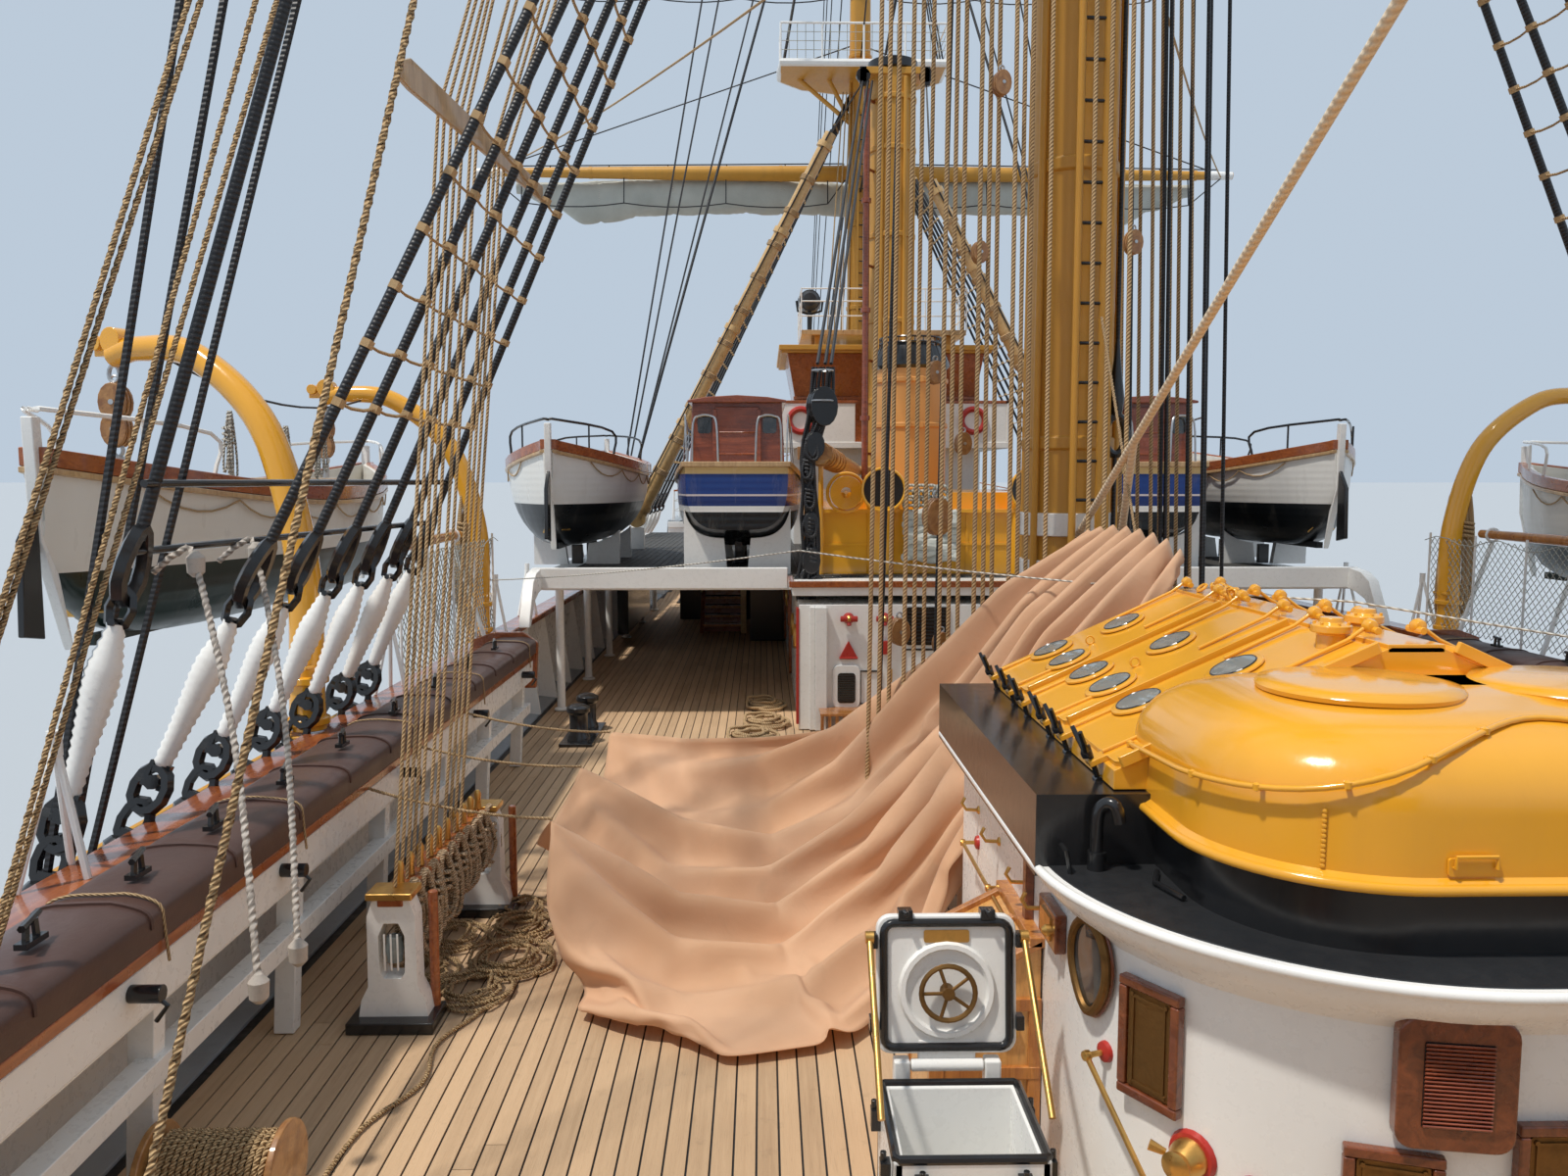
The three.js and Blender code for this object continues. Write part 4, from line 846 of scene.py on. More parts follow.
def set_view():
    lens = bpy.data.cameras.new("view")
    lens.lens = FOCAL_LENGTH
    lens.clip_start = 0.02
    lens.clip_end = 500
    down, aside = math.radians(EYE_DOWN), math.radians(EYE_STARBOARD)
    toward = (math.cos(down) * math.cos(aside), -math.cos(down) * math.sin(aside), -math.sin(down))
    place = tuple(c * MODEL for c in EYE)
    bpy.context.scene.camera = aimed(bpy.data.objects.new("view", lens), place, toward)


def set_light():
    sun = bpy.data.lights.new("sun", "SUN")
    sun.energy = 3.0
    sun.angle = math.radians(3)
    sun.color = (1.0, 0.95, 0.87)
    aimed(bpy.data.objects.new("sun", sun), (0, 0, 20), tuple(-c for c in TO_SUN))
    sky = bpy.data.worlds.new("pale sky")
    sky.use_nodes = True
    ground = sky.node_tree.nodes["Background"]
    ground.inputs["Color"].default_value = (0.72, 0.85, 1.0, 1)
    ground.inputs["Strength"].default_value = 0.7
    bpy.context.scene.world = sky
    bpy.context.scene.view_settings.view_transform = "Standard"


def set_floor():
    finish = Finish("pale floor", (0.42, 0.45, 0.48), 0.6)
    size = 400.0
    mesh = bpy.data.meshes.new("floor")
    mesh.from_pydata([(-size, -size, 0), (size, -size, 0), (size, size, 0), (-size, size, 0)], [],
                     [(0, 1, 2, 3)])
    mesh.materials.append(finish.material)
    floor = bpy.data.objects.new("floor", mesh)
    bpy.context.scene.collection.objects.link(floor)


# Hull and decks

HULL_SHARES = [i / 12 for i in range(13)] + [1 + i / 8 for i in range(1, 9)]
PORT_SPACING = 1.9
POOP_AFT, BOW = -41.6, 42.6


def side_levels(shells):
    """Height above the deck line and above the water, for the livery."""
    points = merged(shells)[0]
    return {"level": [z - frame_at(round(x, 2))["deck"] for x, _, z in points.tolist()],
            "height": points[:, 2]}


def side_spot(x, level, sign, above=False):
    """A place on the ship's side with the outward and the forward direction there."""
    def place(at, up):
        f = frame_at(at)
        if above:
            return np.array((at, f["edge"] - LEAN * up, f["deck"] + up))
        return np.array((at, hull_side(at, up), f["deck"] + up))
    ahead = place(x + 0.3, level) - place(x - 0.3, level)
    upward = place(x, level + 0.1) - place(x, level - 0.1)
    facing = np.cross(ahead, upward)
    facing *= np.sign(facing[1]) / np.linalg.norm(facing)
    flip = np.array((1, sign, 1))
    return tuple(place(x, level) * flip), tuple(facing * flip), tuple(ahead * flip)


def make_hull():
    rings = []
    for x in spaced(POOP_AFT, BOW, 0.6):
        port = [hull_point(x, share) for share in HULL_SHARES]
        _, edge, top = port[-1]
        port.append((x, edge - 0.04, top - DECK_DROP))
        rings.append(port + [(px, -py, pz) for px, py, pz in reversed(port)])
    half = KEEL_HALF - 0.005
    shells = [
        loft(rings),
        box((-33.22, -24), (-half, half), (-7.1, -6.55)),
        box((-33.22, -32.86), (-half, half), (-6.55, -3.1)),
        box((-33.22, -24), (-half, half), (-3.1, 0.2)),
        box((-31.1, -24), (-half, half), (-6.55, -3.1)),
        box((-24, 33.5), (-half, half), (-7.1, -6.7)),
        bar((-31.1, 0, -4.9), (-25.5, 0, -4.9), 0.34, 0.5, 24),
    ]
    for sign in (1, -1):
        fin = []
        for x in spaced(-13, 11, 1.5):
            root = np.array(hull_point(x, 0.56))
            tip = root + np.array((0, 0.42, -0.42))
            fin.append([root - (0, 0.1, 0.03), root - (0, 0.03, -0.1), tip + (0, 0.02, 0.04), tip])
        shells += on_side([loft(fin)], sign)
    piece("hull", shells, HULL, replaces=("hull",), values=side_levels(shells), angle=50)


def raised_deck(start, end):
    rings = []
    for x in spaced(start, end, 0.8):
        f = frame_at(x)
        sides = [(f["edge"] - LEAN * h, f["deck"] + h) for h in (0.01, 0.12, 0.7, 1.22, 1.7, RAISED)]
        port = [(x, y, z) for y, z in sides] + [(x, sides[-1][0] - 0.04, f["deck"] + RAISED - DECK_DROP)]
        rings.append([(px, max(py, 0.05), pz) for px, py, pz in port]
                     + [(px, -max(py, 0.05), pz) for px, py, pz in reversed(port)])
    return loft(rings)


def make_raised_decks():
    for name, start, end in (("poop", POOP_AFT, POOP_FRONT), ("forecastle", FORECASTLE_BREAK, BOW)):
        shells = [raised_deck(start, end)]
        piece(name, shells, HULL, replaces=(name,), values=side_levels(shells), angle=50)
    ends = []
    for x, out in ((POOP_FRONT, 1), (FORECASTLE_BREAK, -1)):
        f = frame_at(x)
        y = f["edge"] - 0.14
        plate = box((x, x + 0.012 * out), (-y, y), (f["deck"] + 0.02, f["deck"] + RAISED - 0.01))
        ends += [plate, *bulkhead_ribs(x, out, y, f["deck"])]
    piece("break_bulkheads", [outward(s) for s in ends], WHITE, bevel=0.01)


def bulkhead_ribs(x, out, half, floor):
    """Doors with rounded tops, frames and a cornice on the end walls of the raised decks."""
    ribs = [box(sorted((x, x + 0.06 * out)), (-half, half), (floor + RAISED - 0.2, floor + RAISED - 0.02))]
    for y in (-4.6, -2.2, 2.2, 4.6):
        ribs.append(box(sorted((x, x + 0.05 * out)), (y - 0.36, y + 0.36), (floor + 0.2, floor + 1.9)))
        ribs.append(box(sorted((x, x + 0.07 * out)), (y - 0.30, y + 0.30), (floor + 0.26, floor + 1.84)))
    return ribs


def deck_planks(name, start, end, height, inset, half=None, finish=None, width=0.13, thick=0.03):
    """Planks laid fore and aft, with staggered butts, cut off at the deck's edge."""
    draw = np.random.default_rng(11 + int(abs(start) * 10))
    routes, tones = [], []
    places = spaced(start, end, 0.25)
    edges = [half or frame_at(x)["edge"] - LEAN * height - inset for x in places]
    for number in range(-60, 60):
        y = (number + 0.5) * width
        inside = [x for x, edge in zip(places, edges) if abs(y) + width / 2 < edge]
        if len(inside) < 4:
            continue
        x = inside[0]
        reach = 6.5 * draw.uniform(0.2, 1.0)
        while x < inside[-1] - 0.05:
            stop = min(x + reach, inside[-1])
            level = [(px, y, frame_at(round(px, 2))["deck"] + height - thick / 2)
                     for px in spaced(x, stop - 0.006, 3.3)]
            routes.append(level)
            tones.append(draw.uniform(0, 1))
            x = stop
            reach = draw.uniform(5.5, 7.5)
    values = {"Width": (width - 0.013) * MODEL, "Thickness": thick * MODEL, "Finish": finish or TEAK}
    made = grown(routed(routes, tones), STRIP_TREE, values)
    placed(name, made, finish or TEAK)


def make_deck_planks():
    deck_planks("main_deck_planks", POOP_FRONT + 0.02, FORECASTLE_BREAK - 0.02, 0.0, 0.42)
    deck_planks("poop_planks", POOP_AFT + 0.5, POOP_FRONT - 0.25, RAISED, 0.35)
    deck_planks("forecastle_planks", FORECASTLE_BREAK + 0.25, BOW - 1.2, RAISED, 0.35)
    sheets = []
    for start, end, height in ((POOP_FRONT, FORECASTLE_BREAK, 0.0), (POOP_AFT + 0.1, POOP_FRONT, RAISED),
                               (FORECASTLE_BREAK, BOW - 0.1, RAISED)):
        rings = []
        for x in spaced(start, end, 1.5):
            f = frame_at(x)
            y = max(0.06, f["edge"] - LEAN * height - 0.3)
            low, high = f["deck"] + height - 0.03, f["deck"] + height - 0.012
            rings.append([(x, y, low), (x, y, high), (x, -y, high), (x, -y, low)])
        sheets.append(loft(rings))
    piece("deck_caulking", sheets, CAULK)
    margins = []
    for start, end, height in ((POOP_FRONT + 0.02, FORECASTLE_BREAK - 0.02, 0.0),
                               (POOP_AFT + 0.3, POOP_FRONT - 0.02, RAISED),
                               (FORECASTLE_BREAK + 0.02, BOW - 1.0, RAISED)):
        inset = 0.085 if height == 0 else 0.0
        section = [(inset, height - 0.02), (inset, height + 0.05), (0.4, height + 0.012),
                   (0.4, height - 0.02)]
        strip = side_strip(start, end, section)
        margins += [strip, mirrored(strip)]
    piece("waterways", margins, GREY, bevel=0.008)


def port_shapes(radius):
    rim = turned([(radius * 1.35, 0), (radius * 1.35, 0.03), (radius * 1.2, 0.05), (radius, 0.05),
                  (radius, 0.0)],
                 (0, 0, 0), sides=12)
    glass = turned([(radius * 1.02, 0.005), (radius * 1.02, 0.02), (0, 0.022)], (0, 0, 0), sides=12)
    return rim, glass


def make_side_ports():
    spots = []
    for sign in (1, -1):
        spots += [side_spot(x, -2.05, sign) for x in spaced(-33, 34, PORT_SPACING)]
        spots += [side_spot(x, 0.67, sign, True) for x in spaced(-39, -18.5, 2.4)]
        spots += [side_spot(x, 0.67, sign, True) for x in spaced(24.5, 37, 2.4)]
    rim, glass = port_shapes(0.17)
    copies("side_port_rims", [rim], spots, BRASS)
    copies("side_port_glass", [glass], spots, GLASS)
    lids = []
    for sign in (1, -1):
        lids += [side_spot(x, 0.68, sign, True) for x in spaced(-15.6, 21.5, 3.8)]
    frame_shell = box((-0.42, 0.42), (-0.34, 0.34), (0, 0.03))
    leaf = box((-0.36, 0.36), (-0.28, 0.28), (0.02, 0.055))
    hinges = [box((x - 0.04, x + 0.04), (0.2, 0.38), (0.05, 0.08)) for x in (-0.22, 0.22)]
    copies("side_shutters", [frame_shell, leaf, *hinges], lids, WHITE)


def make_scrollwork():
    """Plain gilded scrolls at the bow and round the stern, without figures."""
    tubes = []
    for sign in (1, -1):
        for start, turns, reach in ((37.2, 2.2, 0.55), (38.8, 1.8, 0.45), (40.2, 1.5, 0.35),
                                    (-39.6, 2.0, 0.5)):
            points = []
            for i in range(33):
                t = i / 32
                spin = 2 * math.pi * turns * t
                r = reach * (1 - t) + 0.04
                x = start + r * math.cos(spin) * 1.4
                place, facing, _ = side_spot(x, 1.55 + r * math.sin(spin), sign, True)
                points.append(np.array(place) + np.array(facing) * 0.03)
            tubes.append(tube(points, [0.035 + 0.04 * (1 - i / 32) for i in range(33)], 6))
        leaf = [side_spot(x, 1.55 + 0.28 * math.sin(x * 3.1), sign, True)[0]
                for x in spaced(33.5, 41.6, 0.2)]
        tubes.append(tube(leaf, 0.035, 6))
    piece("scrollwork", tubes, GILT)


# Bulwarks, hammock rail and covers

COVER_FROM, COVER_TO = POOP_FRONT + 0.1, -1.7
COVER_SEAM = 0.95
CHANNELS = ((-11.9, -5.4, 1.3), (12.8, 19.4, 1.3), (-31.6, -25.6, RAISED - 0.3))


def both_sides(shells):
    return [*shells, *(mirrored(s) for s in shells)]


def make_bulwarks():
    start, end = POOP_FRONT + 0.01, FORECASTLE_BREAK - 0.01
    outer = both_sides([side_strip(start, end,
                                   [(0, 0.01), (0, 0.12), (0, 1.22), (0, 1.49), (0.05, 1.49),
                                    (0.05, 0.01)])])
    piece("bulwark_plating", outer, HULL, replaces=("bulwark_port", "bulwark_starboard"),
          values=side_levels(outer))
    inner = [side_strip(start, end, [(0.045, 0.01), (0.045, 1.48), (0.085, 1.48), (0.085, 0.01)])]
    inner.append(side_strip(COVER_FROM, COVER_TO, [(0.05, 1.1), (0.05, 1.475), (0.84, 1.465), (0.84, 1.1)]))
    inner.append(side_strip(COVER_FROM, COVER_TO, [(0.70, 0.66), (0.70, 0.80), (0.84, 0.80), (0.84, 0.66)]))
    for x in spaced(COVER_FROM + 0.3, COVER_TO - 0.3, 1.9):
        inner.append(side_strip(x - 0.06, x + 0.06, [(0.66, 0.01), (0.66, 1.2), (0.80, 1.2), (0.80, 0.01)]))
    for x in spaced(COVER_TO + 1.6, end - 0.8, 1.5):
        inner.append(side_strip(x - 0.03, x + 0.03,
                                [(0.08, 0.01), (0.08, 1.47), (0.14, 1.47), (0.42, 0.01)]))
    inner.append(side_strip(COVER_FROM, COVER_TO,
                            [(0.835, 1.12), (0.835, 1.38), (0.85, 1.38), (0.85, 1.12)]))
    piece("bulwark_inside", both_sides(inner), WHITE, bevel=0.012)
    rail = [side_strip(start, end,
                       [(-0.1, 1.49), (-0.1, 1.57), (-0.08, 1.585), (0.23, 1.585), (0.25, 1.57),
                        (0.25, 1.49)])]
    rail.append(side_strip(COVER_FROM, COVER_TO,
                           [(0.835, 1.40), (0.835, 1.472), (0.875, 1.472), (0.875, 1.40)]))
    piece("teak_rail", both_sides(rail), RAIL_WOOD, bevel=0.01)
    shelves = []
    edges = []
    for first, last, low in CHANNELS:
        shelves.append(side_strip(first, last,
                                  [(0.0, low), (-0.38, low + 0.04), (-0.38, low + 0.12), (0.0, low + 0.12)]))
        edges.append(side_strip(first, last,
                                [(-0.37, low + 0.03), (-0.42, low + 0.03), (-0.42, low + 0.125),
                                 (-0.37, low + 0.125)]))
        for x in spaced(first + 0.3, last - 0.3, 1.1):
            shelves.append(side_strip(x - 0.03, x + 0.03,
                                      [(0, low - 0.5), (-0.03, low - 0.5), (-0.36, low), (0, low)]))
    piece("channels", both_sides(shelves), GREY, bevel=0.008)
    piece("channel_edges", both_sides(edges), OCHRE, bevel=0.008)


def cover_section(x):
    """One section of a padded cover: full between its cross seams and drawn in at them."""
    seam = abs((x - COVER_FROM) / COVER_SEAM - round((x - COVER_FROM) / COVER_SEAM)) * COVER_SEAM
    full = 1 - 0.035 * math.exp(-((seam / 0.03) ** 2))
    points = []
    for i in range(15):
        a = math.pi * i / 14
        inset = 0.578 - 0.305 * abs(math.cos(a)) ** 0.7 * (1 if math.cos(a) > 0 else -1)
        up = 0.075 + 0.135 * full * math.sin(a) ** 0.6
        wrinkle = noise.noise(Vector((x * 3.5, inset * 5, 0))) * 0.012 * math.sin(a)
        points.append((inset, 1.49 + up * full + wrinkle))
    return [(0.275, 1.492), *points, (0.883, 1.48)]


def make_rail_covers():
    for side, sign in SIDES:
        rings = [[side_point(x, inset, h) for inset, h in cover_section(x)]
                 for x in spaced(COVER_FROM, COVER_TO, 0.05)]
        cover = piece(f"rail_cover_{side}", on_side([loft(rings)], sign), COVER,
                      replaces=(f"rail_cover_{side}",), angle=60)
    seams = []
    for x in spaced(COVER_FROM + COVER_SEAM, COVER_TO - 0.5, COVER_SEAM):
        line = [side_point(x, inset, h + 0.006) for inset, h in cover_section(x)[1:-1]]
        seams.append(tube(line, 0.012, 5))
    piece("rail_cover_seams", both_sides(seams), COVER)
    panels = both_sides([side_strip(COVER_TO, COVER_TO + 0.09,
                                    [(0.02, 1.0), (0.02, 1.66), (0.3, 1.76), (0.7, 1.76), (0.9, 1.62),
                                     (0.9, 1.0)])])
    piece("rail_end_panels", panels, RAIL_WOOD, bevel=0.015)


# Masts, yards and standing rigging

MAST_COLUMNS = ("name", "x", "foot", "top", "trees", "truck", "radius", "width")
MASTS = [dict(zip(MAST_COLUMNS, row)) for row in (
    ("fore", 18.7, 4.635, 20.5, 33.0, 50.0, 0.40, 2.4),
    ("main", -6.0, 4.6, 22.4, 36.0, 54.0, 0.43, 2.4),
    ("mizzen", -25.5, 7.02, 19.0, 29.0, 43.0, 0.36, 1.9),
)]
YARD_AHEAD = 1.15
YARDS = (
    # mast, name, height, half length, radius
    ("fore", "course", 17.9, 11.8, 0.25),
    ("fore", "lower_topsail", 24.0, 10.2, 0.22),
    ("fore", "upper_topsail", 27.8, 9.3, 0.20),
    ("fore", "topgallant", 34.6, 7.4, 0.17),
    ("fore", "royal", 40.4, 5.8, 0.13),
    ("main", "course", 19.5, 12.6, 0.26),
    ("main", "lower_topsail", 26.0, 11.0, 0.23),
    ("main", "upper_topsail", 30.0, 10.0, 0.21),
    ("main", "topgallant", 37.6, 7.9, 0.17),
    ("main", "royal", 43.8, 6.2, 0.13),
    ("mizzen", "crossjack", 16.4, 9.0, 0.21),
    ("mizzen", "lower_topsail", 21.6, 7.8, 0.18),
    ("mizzen", "upper_topsail", 24.9, 7.0, 0.16),
    ("mizzen", "topgallant", 30.4, 5.6, 0.13),
    ("mizzen", "royal", 35.2, 4.5, 0.11),
)
FULL_YARD_RADIUS = 0.25
# Share of the half length, ahead, up, depth and height of the rolled sail
HARBOUR_ROLL = ((0, 0.22, 0.30, 0.30, 0.30), (0.45, 0.18, 0.22, 0.25, 0.23), (0.9, 0.10, 0.11, 0.11, 0.11))
HANGING_ROLL = (
    (0, 0.76, -0.62, 0.34, 0.52), (0.1, 0.52, -0.60, 0.34, 0.54), (0.25, 0.41, -0.57, 0.34, 0.58),
    (0.5, 0.40, -0.60, 0.34, 0.58), (0.72, 0.40, -0.80, 0.32, 0.66), (0.80, 0.38, -0.60, 0.26, 0.42),
    (0.9, 0.34, -0.38, 0.14, 0.2),
)


def mast_named(name):
    return next(m for m in MASTS if m["name"] == name)


def mast_radius(mast, z):
    stops = ((mast["foot"], 1.0), (mast["top"], 0.82), (mast["trees"], 0.5), (mast["truck"], 0.2))
    for (z0, r0), (z1, r1) in zip(stops, stops[1:]):
        if z <= z1:
            return mast["radius"] * (r0 + (r1 - r0) * (z - z0) / (z1 - z0))
    return mast["radius"] * 0.2


def top_outline(mast, share=1.0):
    w = mast["width"] * share
    port = [(-1.3, w), (0.1, w), (0.8, 0.72 * w), (1.15, 0.3 * w)]
    return [(mast["x"] + x, y) for x, y in port] + [(mast["x"] + x, -y) for x, y in reversed(port)]


def mast_bands(mast):
    bands = []
    for z in spaced(mast["foot"] + 1.6, mast["truck"] - 2.0, 2.6):
        r = mast_radius(mast, z)
        bands.append(turned([(r, -0.07), (r + 0.025, -0.05), (r + 0.025, 0.05), (r, 0.07)],
                            (mast["x"], 0, z), sides=24))
    return bands


def make_mast(mast):
    name, x = mast["name"], mast["x"]
    stops = [mast["foot"] + 0.003, mast["top"] - 1.6, mast["top"] + 2.4, mast["trees"], mast["truck"]]
    profile = [(mast_radius(mast, z), z) for z in stops]
    truck = mast["truck"]
    shells = [turned(profile, (x, 0, 0), sides=28), *mast_bands(mast)]
    shells.append(turned([(0.0, truck - 0.12), (0.16, truck - 0.1), (0.16, truck - 0.02),
                          (0.0, truck - 0.01)], (x, 0, 0)))
    floor = mast["foot"] + 0.01
    shells.append(turned([(mast["radius"] + 0.22, floor), (mast["radius"] + 0.2, floor + 0.16),
                          (mast["radius"] + 0.02, floor + 0.3)], (x, 0, 0), sides=28))
    shells += [prism(top_outline(mast), mast["top"] - 0.2, mast["top"]),
               prism(top_outline(mast, 0.5), mast["trees"] - 0.1, mast["trees"])]
    for z, share in ((mast["top"], 1.0), (mast["trees"], 0.5)):
        for y in (-0.78, -0.4, 0.4, 0.78):
            r = mast_radius(mast, z - 1.4 * share)
            shells.append(bar((x - 0.1, y * mast["width"] * share, z - 0.15),
                              (x - 0.1, math.copysign(r * 0.7, y), z - 1.5 * share),
                              0.07 * share, 0.07 * share, 8))
        for ahead in (-1.0, 0.85):
            shells.append(bar((x + ahead * share, 0, z - 0.15),
                              (x + math.copysign(0.2, ahead), 0, z - 1.5 * share), 0.07 * share))
        cap = z + (2.4 if share == 1.0 else 1.5)
        r = mast_radius(mast, cap)
        shells.append(turned([(r, cap - 0.16), (r + 0.1, cap - 0.13), (r + 0.1, cap + 0.13),
                              (r, cap + 0.16)], (x, 0, 0), sides=24))
    for owner, _, height, _, radius in YARDS:
        if owner == name:
            high = height - radius - 0.055
            shells.append(prism([(x, high - 0.22), (x + 0.9, high - 0.22),
                                 (x + YARD_AHEAD + 0.18, high - 0.1),
                                 (x + YARD_AHEAD + 0.18, high), (x, high)], -0.13, 0.13, 1))
    piece(f"{name}_mast", shells, OCHRE, replaces=(f"{name}_mast",), bevel=0.012)
    make_mast_fittings(mast)


def make_mast_fittings(mast):
    name, x = mast["name"], mast["x"]
    rim = [(px, py, mast["top"] - 0.1) for px, py in top_outline(mast)]
    outline = [rim[-1], *rim]
    white = [tube([np.array(a) + (np.array(b) - np.array(a)) * t for a, b in zip(outline, outline[1:])
                   for t in (0, 0.5)],
                  0.11, 8, closed=True)]
    posts = [(px, py) for px, py in top_outline(mast) if px < x + 0.5]
    posts += [(x - 1.3, y * mast["width"]) for y in (-0.5, 0, 0.5)]
    white += [bar((px, py, mast["top"]), (px, py, mast["top"] + 1.0), 0.03, sides=8) for px, py in posts]
    after = [(x + 0.1, mast["width"], mast["top"] + 1.0), (x - 1.3, mast["width"], mast["top"] + 1.0),
             (x - 1.3, -mast["width"], mast["top"] + 1.0), (x + 0.1, -mast["width"], mast["top"] + 1.0)]
    white.append(tube(after, 0.035, 8))
    piece(f"{name}_top_rim", white, WHITE)
    mesh = []
    for h in (0.25, 0.5, 0.75):
        mesh.append([(px, py, mast["top"] + h) for px, py, _ in after])
    for y in spaced(-mast["width"], mast["width"], 0.25):
        mesh.append([(x - 1.3, y, mast["top"]), (x - 1.3, y, mast["top"] + 1.0)])
    lines(f"{name}_top_net", mesh, 0.02, NET_CORD, sides=4)
    rungs = []
    rails = [[], []]
    for z in spaced(mast["foot"] + 0.4, mast["top"] - 0.6, 0.36):
        r = mast_radius(mast, z) + 0.13
        ends = [(x - r * math.cos(a), -r * math.sin(a), z) for a in (-0.16, 0.3)]
        rungs.append(ends)
        for rail, end in zip(rails, ends):
            rail.append(end)
    lines(f"{name}_mast_ladder", rungs, 0.035, BLACK, sides=6)
    pipes = [[(x - (mast_radius(mast, z) + 0.045) * math.cos(a),
               (mast_radius(mast, z) + 0.045) * math.sin(a), z)
              for z in spaced(mast["foot"] + 0.05, mast["top"] - 0.3, 3.0)]
             for a in (-1.5, -0.62, 0.95, 2.3)]
    lines(f"{name}_mast_pipes", [*rails, *pipes], 0.07, OCHRE, sides=8)


def between(rows, share):
    """A row of sizes between two rows that are listed by their first column."""
    for low, high in zip(rows, rows[1:]):
        if share <= high[0]:
            t = (share - low[0]) / (high[0] - low[0])
            t = t * t * (3 - 2 * t)
            return [a + (b - a) * t for a, b in zip(low, high)]
    return list(rows[-1])


def sail_roll(half, rows, seed, gasket=1.15, sides=18):
    """A rolled sail along a yard, nipped by its gaskets, with the lines of its folds."""
    rings = []
    ties = []
    reach = rows[-1][0] * half
    for y in spaced(-reach, reach, 0.1):
        _, ahead, up, deep, high = between(rows, abs(y) / half)
        nip = abs(y / gasket - round(y / gasket)) * gasket
        full = 0.97 - 0.07 * math.exp(-((nip / 0.05) ** 2))
        sag = 0.04 * high * math.sin(math.pi * nip / gasket)
        ring = []
        for i in range(sides):
            a = 2 * math.pi * i / sides
            fold = noise.noise(Vector((y * 0.9 + seed * 9, math.cos(a) * 1.6, math.sin(a) * 1.6))) * 0.16
            fold += 0.045 * math.sin(5 * a + 2.0 * noise.noise(Vector((y * 0.6, seed, 0))) * 3)
            fold += 0.07 * noise.noise(Vector((y * 6.5, math.cos(a) * 1.2, seed + math.sin(a) * 0.7)))
            size = min(1.0, full * (1 + fold * 0.6))
            ring.append((ahead + deep * size * math.cos(a), y, up + high * size * math.sin(a) - sag))
        rings.append(ring)
        if nip < 0.065 and abs(y) < reach - 0.2:
            ties.append([(ahead + deep * 0.87 * math.cos(a), y, up + high * 0.87 * math.sin(a))
                         for a in np.linspace(0, 2 * math.pi, 19)])
    return loft(rings), ties


CROSSJACK_LIFT = 2.2  # its lifts meet below the rim of the mizzen top


def make_yard(row, number):
    owner, name, height, half, radius = row
    mast = mast_named(owner)
    body = f"{owner}_{name}_yard"
    at = np.array((mast["x"] + YARD_AHEAD, 0, height))
    stops = [(0, 1.0), (0.45, 0.86), (0.8, 0.62), (1, 0.45)]
    profile = [(radius * r, -s * half)
               for s, r in reversed(stops[1:])] + [(radius * r, s * half) for s, r in stops]
    spar = [turned(profile, (0, 0, 0), (0, 1, 0), 16),
            bar((0, 0, -radius - 0.05), (0, 0, 0), 0.17, sides=16)]
    tips = []
    for s in (-1, 1):
        tips.append(bar((0, s * half * 0.93, 0), (0, s * half * 0.999, 0), radius * 0.56, radius * 0.47, 16))
        for share in (0.04, 0.2, 0.45, 0.7, 0.9):
            r = radius * (1 - 0.5 * share) + 0.02
            spar.append(bar((0, s * half * share - 0.05, 0), (0, s * half * share + 0.05, 0), r, sides=16))
    piece(body, [moved(s, at) for s in spar], OCHRE, body, (body,))
    piece(f"{body}_tips", [moved(s, at) for s in tips], WHITE, body)
    make_yard_gear(body, at, half, radius)
    title = f"{owner}_{name}"
    if name == "crossjack":
        return
    scale = radius / FULL_YARD_RADIUS
    rows = [(s, *(v * scale for v in sizes)) for s, *sizes in HARBOUR_ROLL]
    hanging = title in ("fore_course", "main_course")
    if hanging:
        shift = (radius - FULL_YARD_RADIUS) / 2
        rows = [(s, a + shift, u, d, h) for s, a, u, d, h in HANGING_ROLL]
    roll, ties = sail_roll(half, rows, number)
    stands_for = (f"{title}_sail",) if hanging else ()
    sail = piece(f"{title}_sail", [moved(roll, at)], SAIL, body, stands_for, angle=60)
    lines(f"{title}_gaskets", [[at + p for p in tie] for tie in ties], 0.022, WHITE_CORD, body, 5)


def make_yard_gear(body, at, half, radius):
    """Jackstay, footropes with their stirrups, and lifts that meet above the yard's turning axis."""
    steel, ropes = [], []
    for s in (-1, 1):
        stay = [(-0.02, s * y, radius * (1 - 0.55 * y / half) + 0.06) for y in spaced(0.4, half * 0.96, 2.0)]
        steel.append(stay)
        steel += [[(x, y, z - 0.08), (x, y, z)] for x, y, z in stay]
        hangs = [(-0.18, s * y, -0.95) for y in spaced(0.9, half * 0.88, half * 0.3)]
        route = [(-0.1, s * 0.3, -radius * 0.5)]
        for a, b in zip(hangs, hangs[1:]):
            route += sagging(a, b, 0.12, 5)[:-1]
        route += [hangs[-1], (-0.05, s * half * 0.97, -radius * 0.3)]
        ropes.append(route)
        ropes += [[(-0.05, y, -radius * 0.4), (x, y, z)] for x, y, z in hangs]
        lift = (0, 0, CROSSJACK_LIFT if "crossjack" in body else min(half * 0.36, 3.9))
        steel.append([(0, s * half * 0.95, radius * 0.4), lift])
    lines(f"{body}_jackstays", [[at + p for p in r] for r in steel], 0.04, WIRE, body, 6)
    lines(f"{body}_footropes", [[at + p for p in r] for r in ropes], 0.04, WIRE, body, 5)


